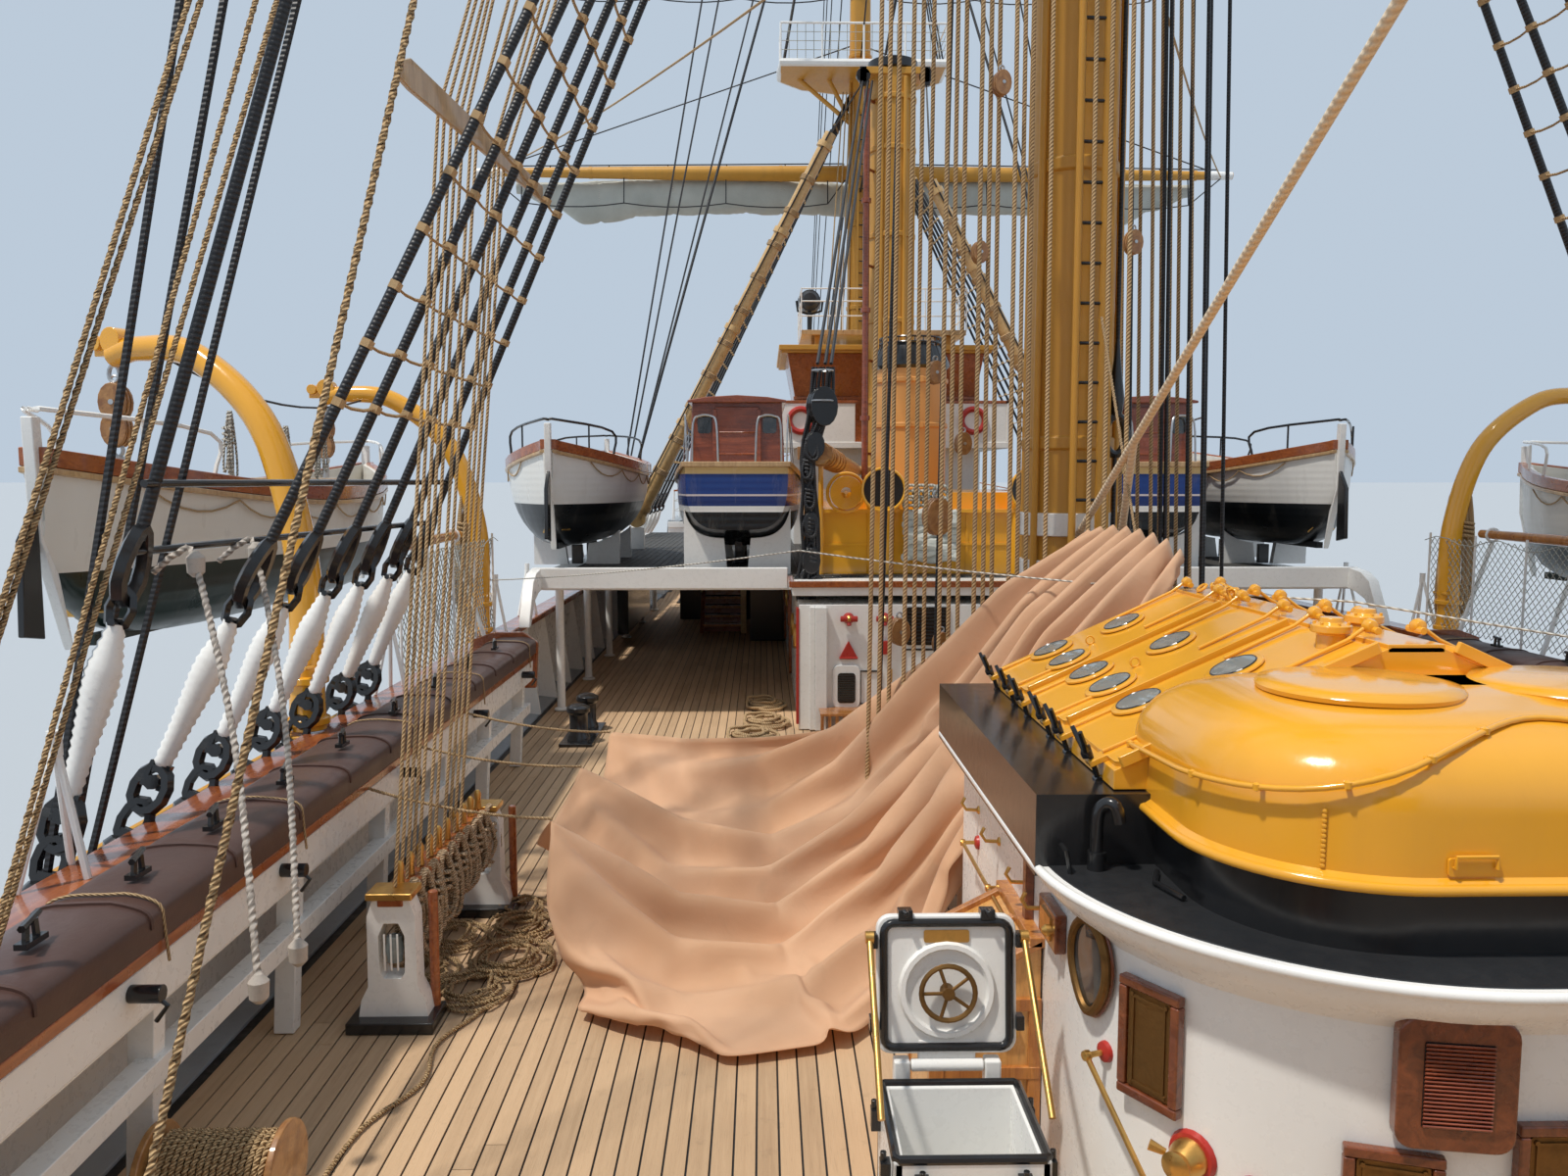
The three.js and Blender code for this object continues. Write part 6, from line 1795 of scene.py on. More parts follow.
def make_skylight():
    low = DECK + 2.305
    ends = (-8.86, -11.74)
    section = [(EAVES_Y, low), (EAVES_Y, DECK + EAVES_H), (RIDGE_Y, DECK + RIDGE_H),
               (2 * MIDDLE - RIDGE_Y, DECK + RIDGE_H),
               (2 * MIDDLE - EAVES_Y, DECK + EAVES_H), (2 * MIDDLE - EAVES_Y, low)]
    frame_shells = [prism(section, *ends, 0)]
    slope, glass, rims, toggles = [], [], [], []
    for number in range(3):
        start = 0.03 + number * LID_LENGTH
        middle = start + LID_LENGTH / 2
        slope.append(moved(board(LID_LENGTH - 0.05, SLOPE - 0.09, 0.04, 0.06, -0.01),
                           (middle, SLOPE / 2 - 0.02, 0)))
        slope.append(moved(board(0.03, SLOPE - 0.1, 0.058, 0.012, 0),
                           (start + LID_LENGTH - 0.02, SLOPE / 2 - 0.01, 0)))
        for reach, up in ((start + 0.22, 0.40), (start + 0.66, 0.40), (start + 0.36, 0.90)):
            slope.append(moved(turned([(0.162, 0.036), (0.158, 0.05), (0.125, 0.054)], (0, 0, 0), sides=18),
                               (reach, up, 0)))
            glass.append(moved(turned([(0.122, 0.03), (0.12, 0.058), (0.0, 0.06)], (0, 0, 0), sides=18),
                               (reach, up, 0)))
            rims.append(moved(hoop((0, 0, 0.056), (0, 0, 1), 0.123, 0.005, 22, 4), (reach, up, 0)))
        for reach in (start + 0.14, start + 0.72):
            slope.append(tube([(reach, SLOPE - 0.52, 0.042), (reach, SLOPE - 0.1, 0.05),
                               (reach, SLOPE + 0.02, 0.075)], 0.012, 6))
            slope.append(turned([(0.0, -0.04), (0.03, -0.032), (0.04, 0.0), (0.03, 0.032), (0.0, 0.04)],
                                (reach, SLOPE + 0.03, 0.07), (1, 0, 0), 10))
            slope.append(bar((reach - 0.07, SLOPE + 0.03, 0.05), (reach + 0.07, SLOPE + 0.03, 0.05), 0.02,
                             sides=8))
            slope.append(tube([(reach, 0.02, 0.04), (reach, 0.3, 0.035)], 0.012, 6))
            slope.append(box((reach - 0.045, reach + 0.045), (-0.07, 0.03), (0.0, 0.03)))
        slope.append(moved(hoop((0, 0, 0.06), (1, 0, 0), 0.028, 0.008, 12, 5), (start + 0.5, 0.62, 0)))
        for reach in (start + 0.14, start + 0.72):
            stand = (reach, -0.055, 0.0)
            toggles += [moved(s, stand) for s in (
                bar((0, 0, -0.1), (0, 0.02, 0.1), 0.014, sides=8),
                bar((-0.03, 0, -0.085), (0.03, 0, -0.085), 0.022, sides=8),
                turned([(0.028, 0.045), (0.03, 0.07), (0.02, 0.09)], (0, 0, 0), sides=10),
                tube([(-0.015, 0, 0.08), (-0.05, 0.0, 0.13), (-0.075, 0, 0.2)], (0.016, 0.014, 0.012), 8),
                tube([(0.015, 0, 0.08), (0.05, 0.0, 0.13), (0.075, 0, 0.2)], (0.016, 0.014, 0.012), 8))]
    yellow = on_slope(slope)
    glass, rims, toggles = on_slope(glass), on_slope(rims), on_slope(toggles)
    frame_shells += yellow + across_middle(yellow)
    frame_shells.append(box((ends[1], ends[0]), (MIDDLE - 0.14, MIDDLE + 0.14),
                            (DECK + RIDGE_H - 0.03, DECK + RIDGE_H + 0.012)))
    for x, y in ((-11.4, 0.05), (-11.0, -0.33)):
        base = DECK + RIDGE_H - 0.05
        stem = [(0.075, base - 0.15), (0.07, base + 0.07), (0.1, base + 0.08), (0.1, base + 0.115),
                (0.06, base + 0.13), (0.055, base + 0.155), (0.0, base + 0.16)]
        frame_shells.append(turned(stem, (x, y, 0), sides=16))
        for a in np.linspace(0, 2 * math.pi, 7)[:-1]:
            bolt_x, bolt_y = x + 0.08 * math.cos(a), y + 0.08 * math.sin(a)
            frame_shells.append(bar((bolt_x, bolt_y, base + 0.1), (bolt_x, bolt_y, base + 0.135), 0.01,
                                    sides=5))
    draw = np.random.default_rng(5)
    for k in range(16):
        x, y = -9.15 - 0.035 * k + draw.uniform(-0.03, 0.03), MIDDLE + draw.uniform(-0.08, 0.08)
        tilt = (draw.uniform(-1, 1), draw.uniform(-1, 1), draw.uniform(-0.6, 0.6))
        frame_shells.append(hoop((x, y, DECK + RIDGE_H + 0.045), tilt, 0.038, 0.013, 8, 4))
    piece("skylight", frame_shells, YELLOW, replaces=("skylight",), bevel=0.012)
    piece("skylight_glass", glass + across_middle(glass), PORT_GLASS)
    piece("skylight_rims", rims + across_middle(rims), BLACK)
    piece("skylight_toggles", toggles + across_middle(toggles), BLACK)
    make_dome()


def dome_outline(inset):
    return rounded(DOME_FORE - inset, DOME_AFT + inset, DOME_HALF - inset, max(0.08, 0.75 - 0.6 * inset),
                   max(0.08, 0.42 - 0.4 * inset))


DOME_RIM = 2.2  # height above the deck of the bead round the dome's foot
DOME_SHOULDER = DOME_BASE + 0.2
DOME_RISE = 0.35


def dome_inset(height):
    """How far in from its foot the dome's skin lies at a height above the deck."""
    sine = min(0.98, max(0.0, (height - DOME_SHOULDER) / DOME_RISE))
    return 0.035 + 0.48 * (1 - math.sqrt(1 - sine * sine)) ** 1.1


def dome_path():
    """Points round the dome's foot and how inwards lies at each: port side, after side, starboard side."""
    corner = sorted((p for p in dome_outline(0.0) if p[0] < DOME_AFT + 0.76 and p[1] > MIDDLE),
                    key=lambda p: (-p[0], -p[1]))
    side, after = corner[0][1], corner[-1]
    port = [(x, side) for x in spaced(DOME_AFT + 1.35, DOME_AFT + 0.85, 0.11)] + corner
    port += [(after[0], MIDDLE + (after[1] - MIDDLE) * (1 - k / 8)) for k in range(1, 9)]
    points = np.array(port + [(x, 2 * MIDDLE - y) for x, y in port[-2::-1]])
    along = np.gradient(points, axis=0)
    inwards = np.column_stack((-along[:, 1], along[:, 0])) / np.linalg.norm(along, axis=1)[:, None]
    return points, inwards


def make_dome():
    levels = [(DOME_RIM, 0.03), (DOME_RIM + 0.02, 0.0), (DOME_RIM + 0.055, 0.0), (DOME_RIM + 0.075, 0.03),
              (DOME_SHOULDER, 0.035)]
    for i in range(1, 11):
        a = math.pi / 2 * i / 10
        levels.append((DOME_SHOULDER + DOME_RISE * math.sin(a), 0.035 + 0.48 * (1 - math.cos(a)) ** 1.1))
    crown = DOME_SHOULDER + DOME_RISE
    levels += [(crown + 0.015, 0.6), (crown + 0.025, 0.78), (crown + 0.027, 0.88)]
    shells = [stacked(levels, dome_outline)]
    bead = [(x, y, DECK + DOME_RIM + 0.035) for x, y in dome_outline(0.0)]
    shells.append(tube(bead, 0.024, 8, closed=True))
    top = DECK + crown - 0.035
    for y in (MIDDLE + 0.46, MIDDLE - 0.54):
        shells.append(turned([(0.40, top - 0.06), (0.40, top + 0.03), (0.43, top + 0.035),
                              (0.435, top + 0.055), (0.42, top + 0.075), (0.35, top + 0.088),
                              (0.0, top + 0.1)],
                             (-12.08, y, 0), sides=48))
    rail, feet = [], []
    for point, inwards in zip(*dome_path()):
        height = 2.5 + 0.08 * min(1.0, max(0.0, (-11.6 - point[0]) / 1.3))
        if point[0] < DOME_AFT + 0.4:
            height += 0.13 * (1 + math.cos(math.pi * min(1.0, abs(point[1] - MIDDLE) / 1.25)))
        inset = dome_inset(height)
        rail.append((*(point + inwards * (inset - 0.045)), DECK + height))
        feet.append((*(point + inwards * (inset + 0.02)), DECK + height - 0.01))
    shells.append(tube(rail, 0.013, 8))
    for k in range(0, len(rail) // 2, 4):
        for index in (k, len(rail) - 1 - k):
            shells.append(bar(rail[index], feet[index], 0.011, sides=6))
            shells.append(turned([(0.0, -0.02), (0.018, -0.012), (0.018, 0.012), (0.0, 0.02)], rail[index],
                                 sides=8))
    seam = []
    for k in (24, 36):
        for j in range(12):
            x, y = dome_outline(0.03)[k]
            seam.append(((x, y, DECK + DOME_RIM + 0.09 + 0.02 * j), (-0.9, 0.45 if k < 29 else -0.45, 0)))
    handle = tube([(-0.08, 0, 0), (-0.08, 0.0, 0.025), (-0.08, 0.045, 0.025),
                   (0.08, 0.045, 0.025), (0.08, 0, 0.025), (0.08, 0, 0)], 0.008, 6)
    shells += [framed(s, (DOME_AFT + 0.028, MIDDLE + 0.42, DECK + DOME_RIM + 0.12), *FACING_AFT)
               for s in (handle, board(0.2, 0.07, 0.012, 0.01))]
    piece("dome", shells, YELLOW, angle=50)
    copies("dome_rivets", [turned([(0.011, 0), (0.009, 0.008), (0.0, 0.011)], (0, 0, 0), sides=8)], seam,
           YELLOW)


# Hatch beside the deckhouse, with its lid standing open

HATCH_FORE, HATCH_AFT, HATCH_IN, HATCH_OUT, HATCH_TOP = -11.9, -12.56, 1.72, 2.40, 0.92


def make_hatch():
    middle = (HATCH_IN + HATCH_OUT) / 2
    x, z = (HATCH_FORE + HATCH_AFT) / 2, DECK + HATCH_TOP
    walls = []
    for ys in ((HATCH_IN, HATCH_IN + 0.05), (HATCH_OUT - 0.05, HATCH_OUT)):
        walls.append(box((HATCH_AFT, HATCH_FORE), ys, (DECK + 0.004, z)))
    for xs in ((HATCH_AFT, HATCH_AFT + 0.05), (HATCH_FORE - 0.05, HATCH_FORE)):
        walls.append(box(xs, (HATCH_IN, HATCH_OUT), (DECK + 0.004, z)))
    walls.append(box((HATCH_AFT + 0.04, HATCH_FORE - 0.04), (HATCH_IN + 0.04, HATCH_OUT - 0.04),
                     (DECK + 0.004, DECK + 0.25)))
    for y in (HATCH_IN + 0.08, HATCH_OUT - 0.16):
        walls += [box((HATCH_FORE - 0.03, HATCH_FORE + 0.1), (y, y + 0.08), (z - 0.16, z - 0.03)),
                  box((HATCH_FORE + 0.02, HATCH_FORE + 0.1), (y, y + 0.08), (z - 0.05, z + 0.09))]
    piece("hatch_coaming", walls, WHITE, replaces=("hatch_coaming",), bevel=0.012)
    rim = [(x + sx * 0.315, middle + sy * 0.325, z + 0.002)
           for sx, sy in ((-1, -1), (1, -1), (1, 1), (-1, 1))]
    lip = [tube([np.array(a) + (np.array(b) - np.array(a)) * t for a, b in zip(rim, rim[1:] + rim[:1])
                 for t in (0.02, 0.5, 0.98)], 0.022, 8, closed=True)]
    dogs = []
    for y, sign in ((HATCH_OUT, 1), (HATCH_IN, -1)):
        for at in (HATCH_AFT + 0.12, HATCH_FORE - 0.12):
            dogs += [box(sorted((at - 0.03, at + 0.03)), sorted((y, y + sign * 0.045)),
                         (z - 0.16, z - 0.06)),
                     bar((at, y + sign * 0.03, z - 0.16), (at, y + sign * 0.03, z - 0.02), 0.014, sides=8)]
    for y in (HATCH_IN + 0.12, HATCH_OUT - 0.12):
        dogs += [box((HATCH_AFT - 0.05, HATCH_AFT), (y - 0.03, y + 0.03), (z - 0.13, z - 0.05)),
                 bar((HATCH_AFT - 0.035, y, z - 0.2), (HATCH_AFT - 0.035, y, z - 0.02), 0.014, sides=8)]
    piece("hatch_gasket", lip + dogs, BLACK, bevel=0.006)
    label = box((HATCH_AFT - 0.006, HATCH_AFT), (middle - 0.09, middle + 0.09), (z - 0.27, z - 0.2))
    piece("hatch_blank_plate", [label], BRASS, bevel=0.003)
    make_hatch_lid((HATCH_FORE + 0.05, middle, z + 0.06))


def make_hatch_lid(axis):
    """The lid is drawn closed round its hinge and turned open. Its inner side then faces aft."""
    def opened(shells):
        return [moved(swung(s, 96, (0, 1, 0)), axis) for s in shells]
    leaf = [moved(board(0.67, 0.68, 0.05, 0.07, 0.005), (-0.385, 0, 0)),
            bar((0, -0.177, 0), (0, 0.177, 0), 0.03, sides=16),
            box((-0.12, 0.015), (-0.14, 0.14), (0.0, 0.05))]
    rim = []
    for sx, sy in ((-1, -1), (1, -1), (1, 1), (-1, 1)):
        for a in np.linspace(0, math.pi / 2, 5):
            turn = {(-1, -1): math.pi, (1, -1): 1.5 * math.pi, (1, 1): 0, (-1, 1): math.pi / 2}[(sx, sy)]
            rim.append((-0.385 + sx * 0.25 + 0.05 * math.cos(a + turn),
                        sy * 0.255 + 0.05 * math.sin(a + turn), 0.0))
    piece("hatch_lid", opened(leaf), WHITE, "hatch_lid", ("hatch_lid",), bevel=0.01)
    black = [tube(rim, 0.022, 8, closed=True)]
    for y in (-0.2, 0.2):
        black += [box((-0.75, -0.70), (y - 0.035, y + 0.035), (-0.02, 0.055)),
                  bar((-0.74, y, -0.06), (-0.74, y, 0.0), 0.016, sides=8)]
    for x in (-0.6, -0.2):
        for y in (-0.355, 0.355):
            black.append(box((x - 0.035, x + 0.035), (y - 0.02, y + 0.02), (-0.02, 0.05)))
    piece("hatch_lid_gasket", opened(black), BLACK, "hatch_lid", bevel=0.005)
    wheel = [hoop((-0.36, 0, -0.05), (0, 0, 1), 0.13, 0.013, 28, 8),
             turned([(0.03, -0.07), (0.035, 0.0)], (-0.36, 0, 0), sides=12)]
    wheel += [bar((-0.36, 0, -0.05), (-0.36 + 0.13 * math.cos(a), 0.13 * math.sin(a), -0.05), 0.009,
                  sides=6) for a in np.linspace(0.3, 2 * math.pi + 0.3, 6)[:-1]]
    piece("hatch_handwheel", opened(wheel), PLATE_BRONZE, "hatch_lid")
    dish = [moved(hoop((0, 0, -0.002), (0, 0, 1), 0.215, 0.022, 28, 6), (-0.36, 0, 0.0))]
    piece("hatch_lid_dish", opened(dish), WHITE, "hatch_lid")
    struts = []
    for y in (-0.375, 0.375):
        struts.append(bar((-0.62, y, -0.01), (0.02, y, -0.55), 0.016, sides=10))
        struts.append(bar((-0.62, y - 0.02, -0.01), (-0.62, y + 0.02, -0.01), 0.03, sides=10))
    struts.append(moved(board(0.06, 0.22, 0.01, 0.01, -0.004), (-0.62, 0, 0)))
    piece("hatch_struts", opened(struts), BRASS, "hatch_lid")


# Boats. Each is drawn round its own middle with the keel's underside at zero height.


def boat_point(t, share, length, beam, depth, square, inset=0.0):
    """A point on the boat's port side: t from stern to bow, share from keel to gunwale."""
    end = 0.28 if square and t < 0 else 1
    wide = max(0.05, beam / 2 * (1 - end * abs(t) ** 2.6)) - inset
    boxy = square and t < 0.3
    rise = depth * (0.27 * abs(t) ** 3 if square and t < 0 else 0.55 * abs(t) ** 8)
    sheer = depth * (0.8 + 0.2 * t * t)
    a = math.pi / 2 * share
    low = rise + inset * 2.2
    fullness = 0.8 - 0.28 * min(1.0, max(0.0, 0.3 - t) / 0.9) if boxy else 0.8
    return (t * (length / 2 - inset * 1.5), 0.03 * (inset == 0) + max(wide, 0.012) * math.sin(a) ** fullness,
            sheer - (sheer - low) * max(0.0, math.cos(a)) ** (fullness + 0.1))


BOAT_STATIONS = [-1, -0.97, -0.93, -0.88, -0.8, -0.7, -0.6, -0.45, -0.3, -0.15, 0, 0.15, 0.3, 0.45, 0.6,
                 0.7, 0.8, 0.88, 0.93, 0.97, 1]
BOAT_SHARES = [i / 10 for i in range(11)]


def boat_skin(length, beam, depth, square=False, hollow=True):
    """An open hull with thickness, or a decked one."""
    rings = []
    for t in BOAT_STATIONS:
        ring = [boat_point(t, s, length, beam, depth, square) for s in BOAT_SHARES]
        if hollow:
            ring += [boat_point(t, s, length, beam, depth, square, 0.055) for s in reversed(BOAT_SHARES)]
        rings.append(ring + [(px, -py, pz) for px, py, pz in reversed(ring)])
    return loft(rings)


def boat_strake(length, beam, depth, square, section):
    """A strip along the gunwale on both sides: section of (out, up) from the sheer."""
    rings = []
    for t in BOAT_STATIONS:
        x, y, z = boat_point(t, 1, length, beam, depth, square)
        rings.append([(x, y + out, z + up) for out, up in section])
    return both_sides([loft(rings)])


def boat_post(length, depth, sign, width=0.05, above=0.28):
    """Stem or sternpost of a double-ended boat."""
    outline = [(sign * (length / 2 - 0.35), 0.0), (sign * (length / 2 - 0.02), depth * 0.5),
               (sign * (length / 2 + 0.03), depth * 0.56),
               (sign * (length / 2 + 0.07), depth + above), (sign * (length / 2 - 0.05), depth + above),
               (sign * (length / 2 - 0.1), depth * 0.6)]
    return prism(outline, -width, width, 1)


BOATS = {
    # middle of the keel on the port side, its height above the deck, then length, beam and depth
    "deck_boat": ((4.85, 6.35, 2.67), (7.0, 2.35, 1.75)),
    "davit_boat": ((-3.2, 9.08, 2.30), (8.2, 2.1, 1.75)),
    "launch": ((5.0, 3.36, 2.61), (7.3, 2.2, 1.45)),
}


def boat_place(kind, sign):
    x, y, height = BOATS[kind][0]
    return (x, sign * y, DECK + height)


def boat_levels(shells, keel):
    return {"level": merged(shells)[0][:, 2] - keel}


def make_open_boat(kind, side, sign, body, finish):
    """A double-ended boat with its thwarts, rails, screw and rudder."""
    name = f"{kind}_{side}"
    place = boat_place(kind, sign)
    length, beam, depth = BOATS[kind][1]
    def put(shells):
        return [moved(s, place) for s in shells]
    keel = [box((-length * 0.42, length * 0.42), (-0.05, 0.05), (0.0, 0.1))]
    skin = put([boat_skin(length, beam, depth), *keel])
    piece(name, skin, finish, body, (name,), angle=45, values=boat_levels(skin, place[2]))
    cap = boat_strake(length, beam, depth, False,
                      [(-0.06, -0.13), (-0.06, 0.03), (0.045, 0.03), (0.045, -0.13)])
    piece(f"{name}_gunwale", put(cap), RAIL_WOOD, body, bevel=0.012)
    rub = boat_strake(length, beam, depth, False,
                      [(-0.02, -0.19), (-0.02, -0.13), (0.055, -0.135), (0.055, -0.185)])
    thwarts = []
    for t in (-0.72, -0.4, -0.05, 0.3, 0.66):
        x, y, z = boat_point(t, 0.86, length, beam, depth, False, 0.05)
        thwarts.append(box((x - 0.13, x + 0.13), (-y, y), (z - 0.05, z)))
    x, y, _ = boat_point(0, 0.45, length, beam, depth, False, 0.06)
    thwarts.append(box((-length * 0.3, length * 0.3), (-y * 0.75, y * 0.75), (0.32, 0.36)))
    piece(f"{name}_thwarts", put(rub + thwarts), PALE_WOOD, body, bevel=0.01)
    white = [boat_post(length, depth, 1), boat_post(length, depth, -1)]
    white += [bar((0.2, 0, 0.36), (0.2, 0, depth * 0.78), 0.03, sides=8),
              box((-0.6, 0.6), (-0.42, 0.42), (0.36, depth * 0.74))]
    piece(f"{name}_posts", put(white), WHITE, body, bevel=0.015)
    rails = []
    for end in (1, -1):
        x1, y1, z1 = boat_point(0.97 * end, 1, length, beam, depth, False)
        x2, y2, z2 = boat_point(0.62 * end, 1, length, beam, depth, False)
        loop = curve([(x2, y2, z2), (x2, y2 - 0.02, z2 + 0.42), (x1, y1 + 0.02, z1 + 0.36),
                      (x1 + 0.03 * end, 0, z1 + 0.36),
                      (x1, -y1 - 0.02, z1 + 0.36), (x2, 0.02 - y2, z2 + 0.42), (x2, -y2, z2)], 4)
        rails.append(tube(loop, 0.022, 6))
        for s in (1, -1):
            xm, ym, zm = boat_point(0.8 * end, 1, length, beam, depth, False)
            rails.append(bar((xm, s * ym, zm), (xm, s * ym, zm + 0.4), 0.016, sides=6))
    piece(f"{name}_guard_rails", put(rails), BLACK if kind == "deck_boat" else WHITE, body)
    screw = [bar((-length * 0.44, 0, 0.42), (-length * 0.36, 0, 0.44), 0.04, sides=10)]
    for k in range(3):
        blade = prism([(0.0, 0.02), (0.12, 0.08), (0.15, 0.2), (0.05, 0.26), (-0.06, 0.16)], -0.008, 0.008,
                      1)
        screw.append(moved(swung(swung(blade, 30, (0, 0, 1)), 120 * k, (1, 0, 0)),
                           (-length * 0.425, 0, 0.42)))
    rudder = prism([(-length / 2 - 0.02, 0.15), (-length / 2 - 0.3, 0.2), (-length / 2 - 0.26, 1.0),
                    (-length / 2 - 0.02, 1.3)], -0.03, 0.03, 1)
    piece(f"{name}_screw", put(screw), BRASS, body)
    piece(f"{name}_rudder", put([rudder]), BLACK, body, bevel=0.012)
    stow_oars(name, body, place, length, depth)
    grab = []
    for s in (1, -1):
        for t0 in (-0.8, -0.55, -0.3, -0.05, 0.2, 0.45):
            a, b = (np.array(boat_point(t, 0.93, length, beam, depth, False)) * (1, s, 1) + (0, s * 0.03, 0)
                    for t in (t0, t0 + 0.25))
            grab.append([tuple(p + np.array(place)) for p in sagging(a, b, 0.16, 6)])
    lines(f"{name}_lifelines", grab, 0.022, MANILA, body, 5)


def stow_oars(name, body, place, length, depth):
    """Oars stowed along the boat's middle."""
    oars = []
    for k, y in enumerate((-0.34, -0.24, 0.26, 0.36)):
        z = depth * 0.84 + 0.03 * (k % 2)
        oars.append([tuple(np.array((x, y, z)) + np.array(place)) for x in (-length * 0.33, length * 0.30)])
    lines(f"{name}_oars", oars, 0.06, PALE_WOOD, body, 8)


LAUNCH_BANDS = ((0.68, (0.006, 0.008, 0.010)), (0.775, (0.80, 0.79, 0.76)), (0.935, (0.010, 0.03, 0.15)),
                (0.965, (0.70, 0.62, 0.62)), (1.29, (0.010, 0.045, 0.22)), (9.0, (0.72, 0.50, 0.20)))


def make_launch(side, sign, finish):
    """A square-sterned launch with a cabin."""
    name = f"launch_{side}"
    place = boat_place("launch", sign)
    length, beam, depth = BOATS["launch"][1]
    def put(shells):
        return [moved(s, place) for s in shells]
    skin = put([boat_skin(length, beam, depth, True, False), box((-2.6, 3.0), (-0.06, 0.06), (0.0, 0.2))])
    piece(name, skin, finish, "ship", (name,), angle=45, values=boat_levels(skin, place[2]))
    cap = boat_strake(length, beam, depth, True,
                      [(-0.08, -0.02), (-0.08, 0.035), (0.05, 0.035), (0.05, -0.05), (0.02, -0.05),
                       (0.02, -0.02)])
    x, y, z = boat_point(-1, 1, length, beam, depth, True)
    cap.append(box((x - 0.04, x + 0.02), (-y - 0.04, y + 0.04), (z - 0.05, z + 0.035)))
    piece(f"{name}_rubbing_band", put(cap), PALE_WOOD, "ship", bevel=0.012)
    cabin = []
    levels = ((1.1, 0), (1.5, 0.01), (2.46, 0.05))
    cabin.append(loft([[(-3.15, -0.78 + i, h), (-3.15, 0.78 - i, h), (1.2 - i * 4, 0.78 - i, h),
                        (1.2 - i * 4, i - 0.78, h)] for h, i in levels]))
    roof = [(-0.8, 2.44), (-0.8, 2.48), (-0.5, 2.53), (0, 2.56), (0.5, 2.53), (0.8, 2.48), (0.8, 2.44)]
    cabin.append(prism(roof, -3.3, 0.95, 0))
    cabin.append(box((-3.19, -3.15), (-0.36, 0.36), (1.35, 2.38)))
    for y in (-0.36, 0.36):
        cabin.append(box((-3.22, -3.15), (y - 0.035, y + 0.035), (1.35, 2.34)))
    cabin += [box((-3.21, -3.15), (-0.3, 0.3), (h, h + 0.03)) for h in (1.6, 1.95)]
    piece(f"{name}_cabin", put(cabin), MAHOGANY, "ship", bevel=0.03)
    panes = []
    for y in (-0.53, 0.53):
        panes.append(framed(board(0.22, 0.30, 0.03, 0.05), (-3.15, y, 2.1), *FACING_AFT))
    for s in (1, -1):
        for x in (-2.4, -1.4, -0.4, 0.35):
            panes.append(framed(board(0.72, 0.42, 0.03, 0.06), (x, s * 0.725, 1.98), (-s, 0, 0),
                                (0, -0.09 * s, 1), (0, s, 0.09)))
    panes.append(framed(board(1.1, 0.4, 0.03, 0.06), (0.93, 0, 1.98), (0, 1, 0), (-0.3, 0, 1), (1, 0, 0.3)))
    piece(f"{name}_windows", put(panes), GLASS, "ship")
    rails = []
    for s in (1, -1):
        rails.append(tube(curve([(-3.45, s * 0.3, 1.45), (-3.42, s * 0.33, 2.1), (-3.38, s * 0.42, 2.22),
                                 (-3.38, s * 0.6, 2.22),
                                 (-3.4, s * 0.7, 2.1), (-3.45, s * 0.72, 1.45)], 4), 0.018, 6))
        rails.append(tube(curve([(-3.55, s * 0.8, 1.45), (-3.5, s * 0.82, 2.15), (-3.3, s * 0.84, 2.2),
                                 (-1.0, s * 0.92, 2.05)], 5), 0.016, 6))
        rails += [bar((x, s * 0.95, 1.3), (x, s * 0.9, 2.1), 0.014, sides=6) for x in (-2.3, -1.2)]
        for x in (-2.8, -0.5, 1.9):
            rails.append(turned([(0.0, 0), (0.05, 0.0), (0.03, 0.06), (0.05, 0.1), (0.0, 0.11)],
                                (x, s * 0.8, 1.35), sides=10))
    piece(f"{name}_rails", put(rails), STEEL, "ship")


CHOCK_MIDDLE = 5.0  # the boards' curves are measured from here along the ship


def chock_board(kind, x, sign, half, square):
    """A board across under a boat, cut to the hull's curve with a gap for the keel."""
    _, y, keel = boat_place(kind, sign)
    length, beam, depth = BOATS[kind][1]
    parts = []
    for s in (1, -1):
        share = (x - CHOCK_MIDDLE) / length * 2
        edge = [boat_point(share, k / 30, length, beam, depth, square) for k in range(31)]
        edge = [(y + s * py, keel + pz - 0.03) for _, py, pz in edge if 0.16 < py < half]
        outline = [(y + s * 0.16, DECK + 2.26), *edge, (y + s * half, edge[-1][1]),
                   (y + s * half, DECK + 2.26)]
        parts.append(prism(outline, x - 0.07, x + 0.07, 0))
    return parts


def make_boats():
    whaler = boat_paint("deck boat sides", ((0.74, (0.006, 0.008, 0.010)), (9.0, (0.80, 0.79, 0.75))))
    hung = boat_paint("davit boat sides", ((0.70, (0.008, 0.022, 0.018)), (9.0, (0.76, 0.73, 0.66))))
    launch = boat_paint("launch sides", LAUNCH_BANDS, 0.15)
    chocks, pads = [], []
    for side, sign in SIDES:
        make_open_boat("deck_boat", side, sign, "ship", whaler)
        make_open_boat("davit_boat", side, sign, f"davit_boat_{side}", hung)
        make_launch(side, sign, launch)
        for x, launch_x in ((4.1, 1.75), (5.9, 5.9)):
            chocks += chock_board("deck_boat", x, sign, 0.78, False)
            chocks += chock_board("launch", launch_x, sign, 0.87, True)
            for kind in ("deck_boat", "launch"):
                y = boat_place(kind, sign)[1]
                pads.append(box((x - 0.05, x + 0.05), (y - 0.1, y + 0.1), (DECK + 2.27, DECK + 2.62)))
    piece("boat_chocks", chocks, WHITE, bevel=0.015)
    piece("boat_keel_blocks", pads, BLACK, bevel=0.015)


DAVIT_FEET = (("aft", -6.97, 21), ("fore", -0.7, 0))
DAVIT_Y, DAVIT_REACH, DAVIT_TIP, DAVIT_RADIUS = 7.0, 2.1, DECK + 5.0, 0.14


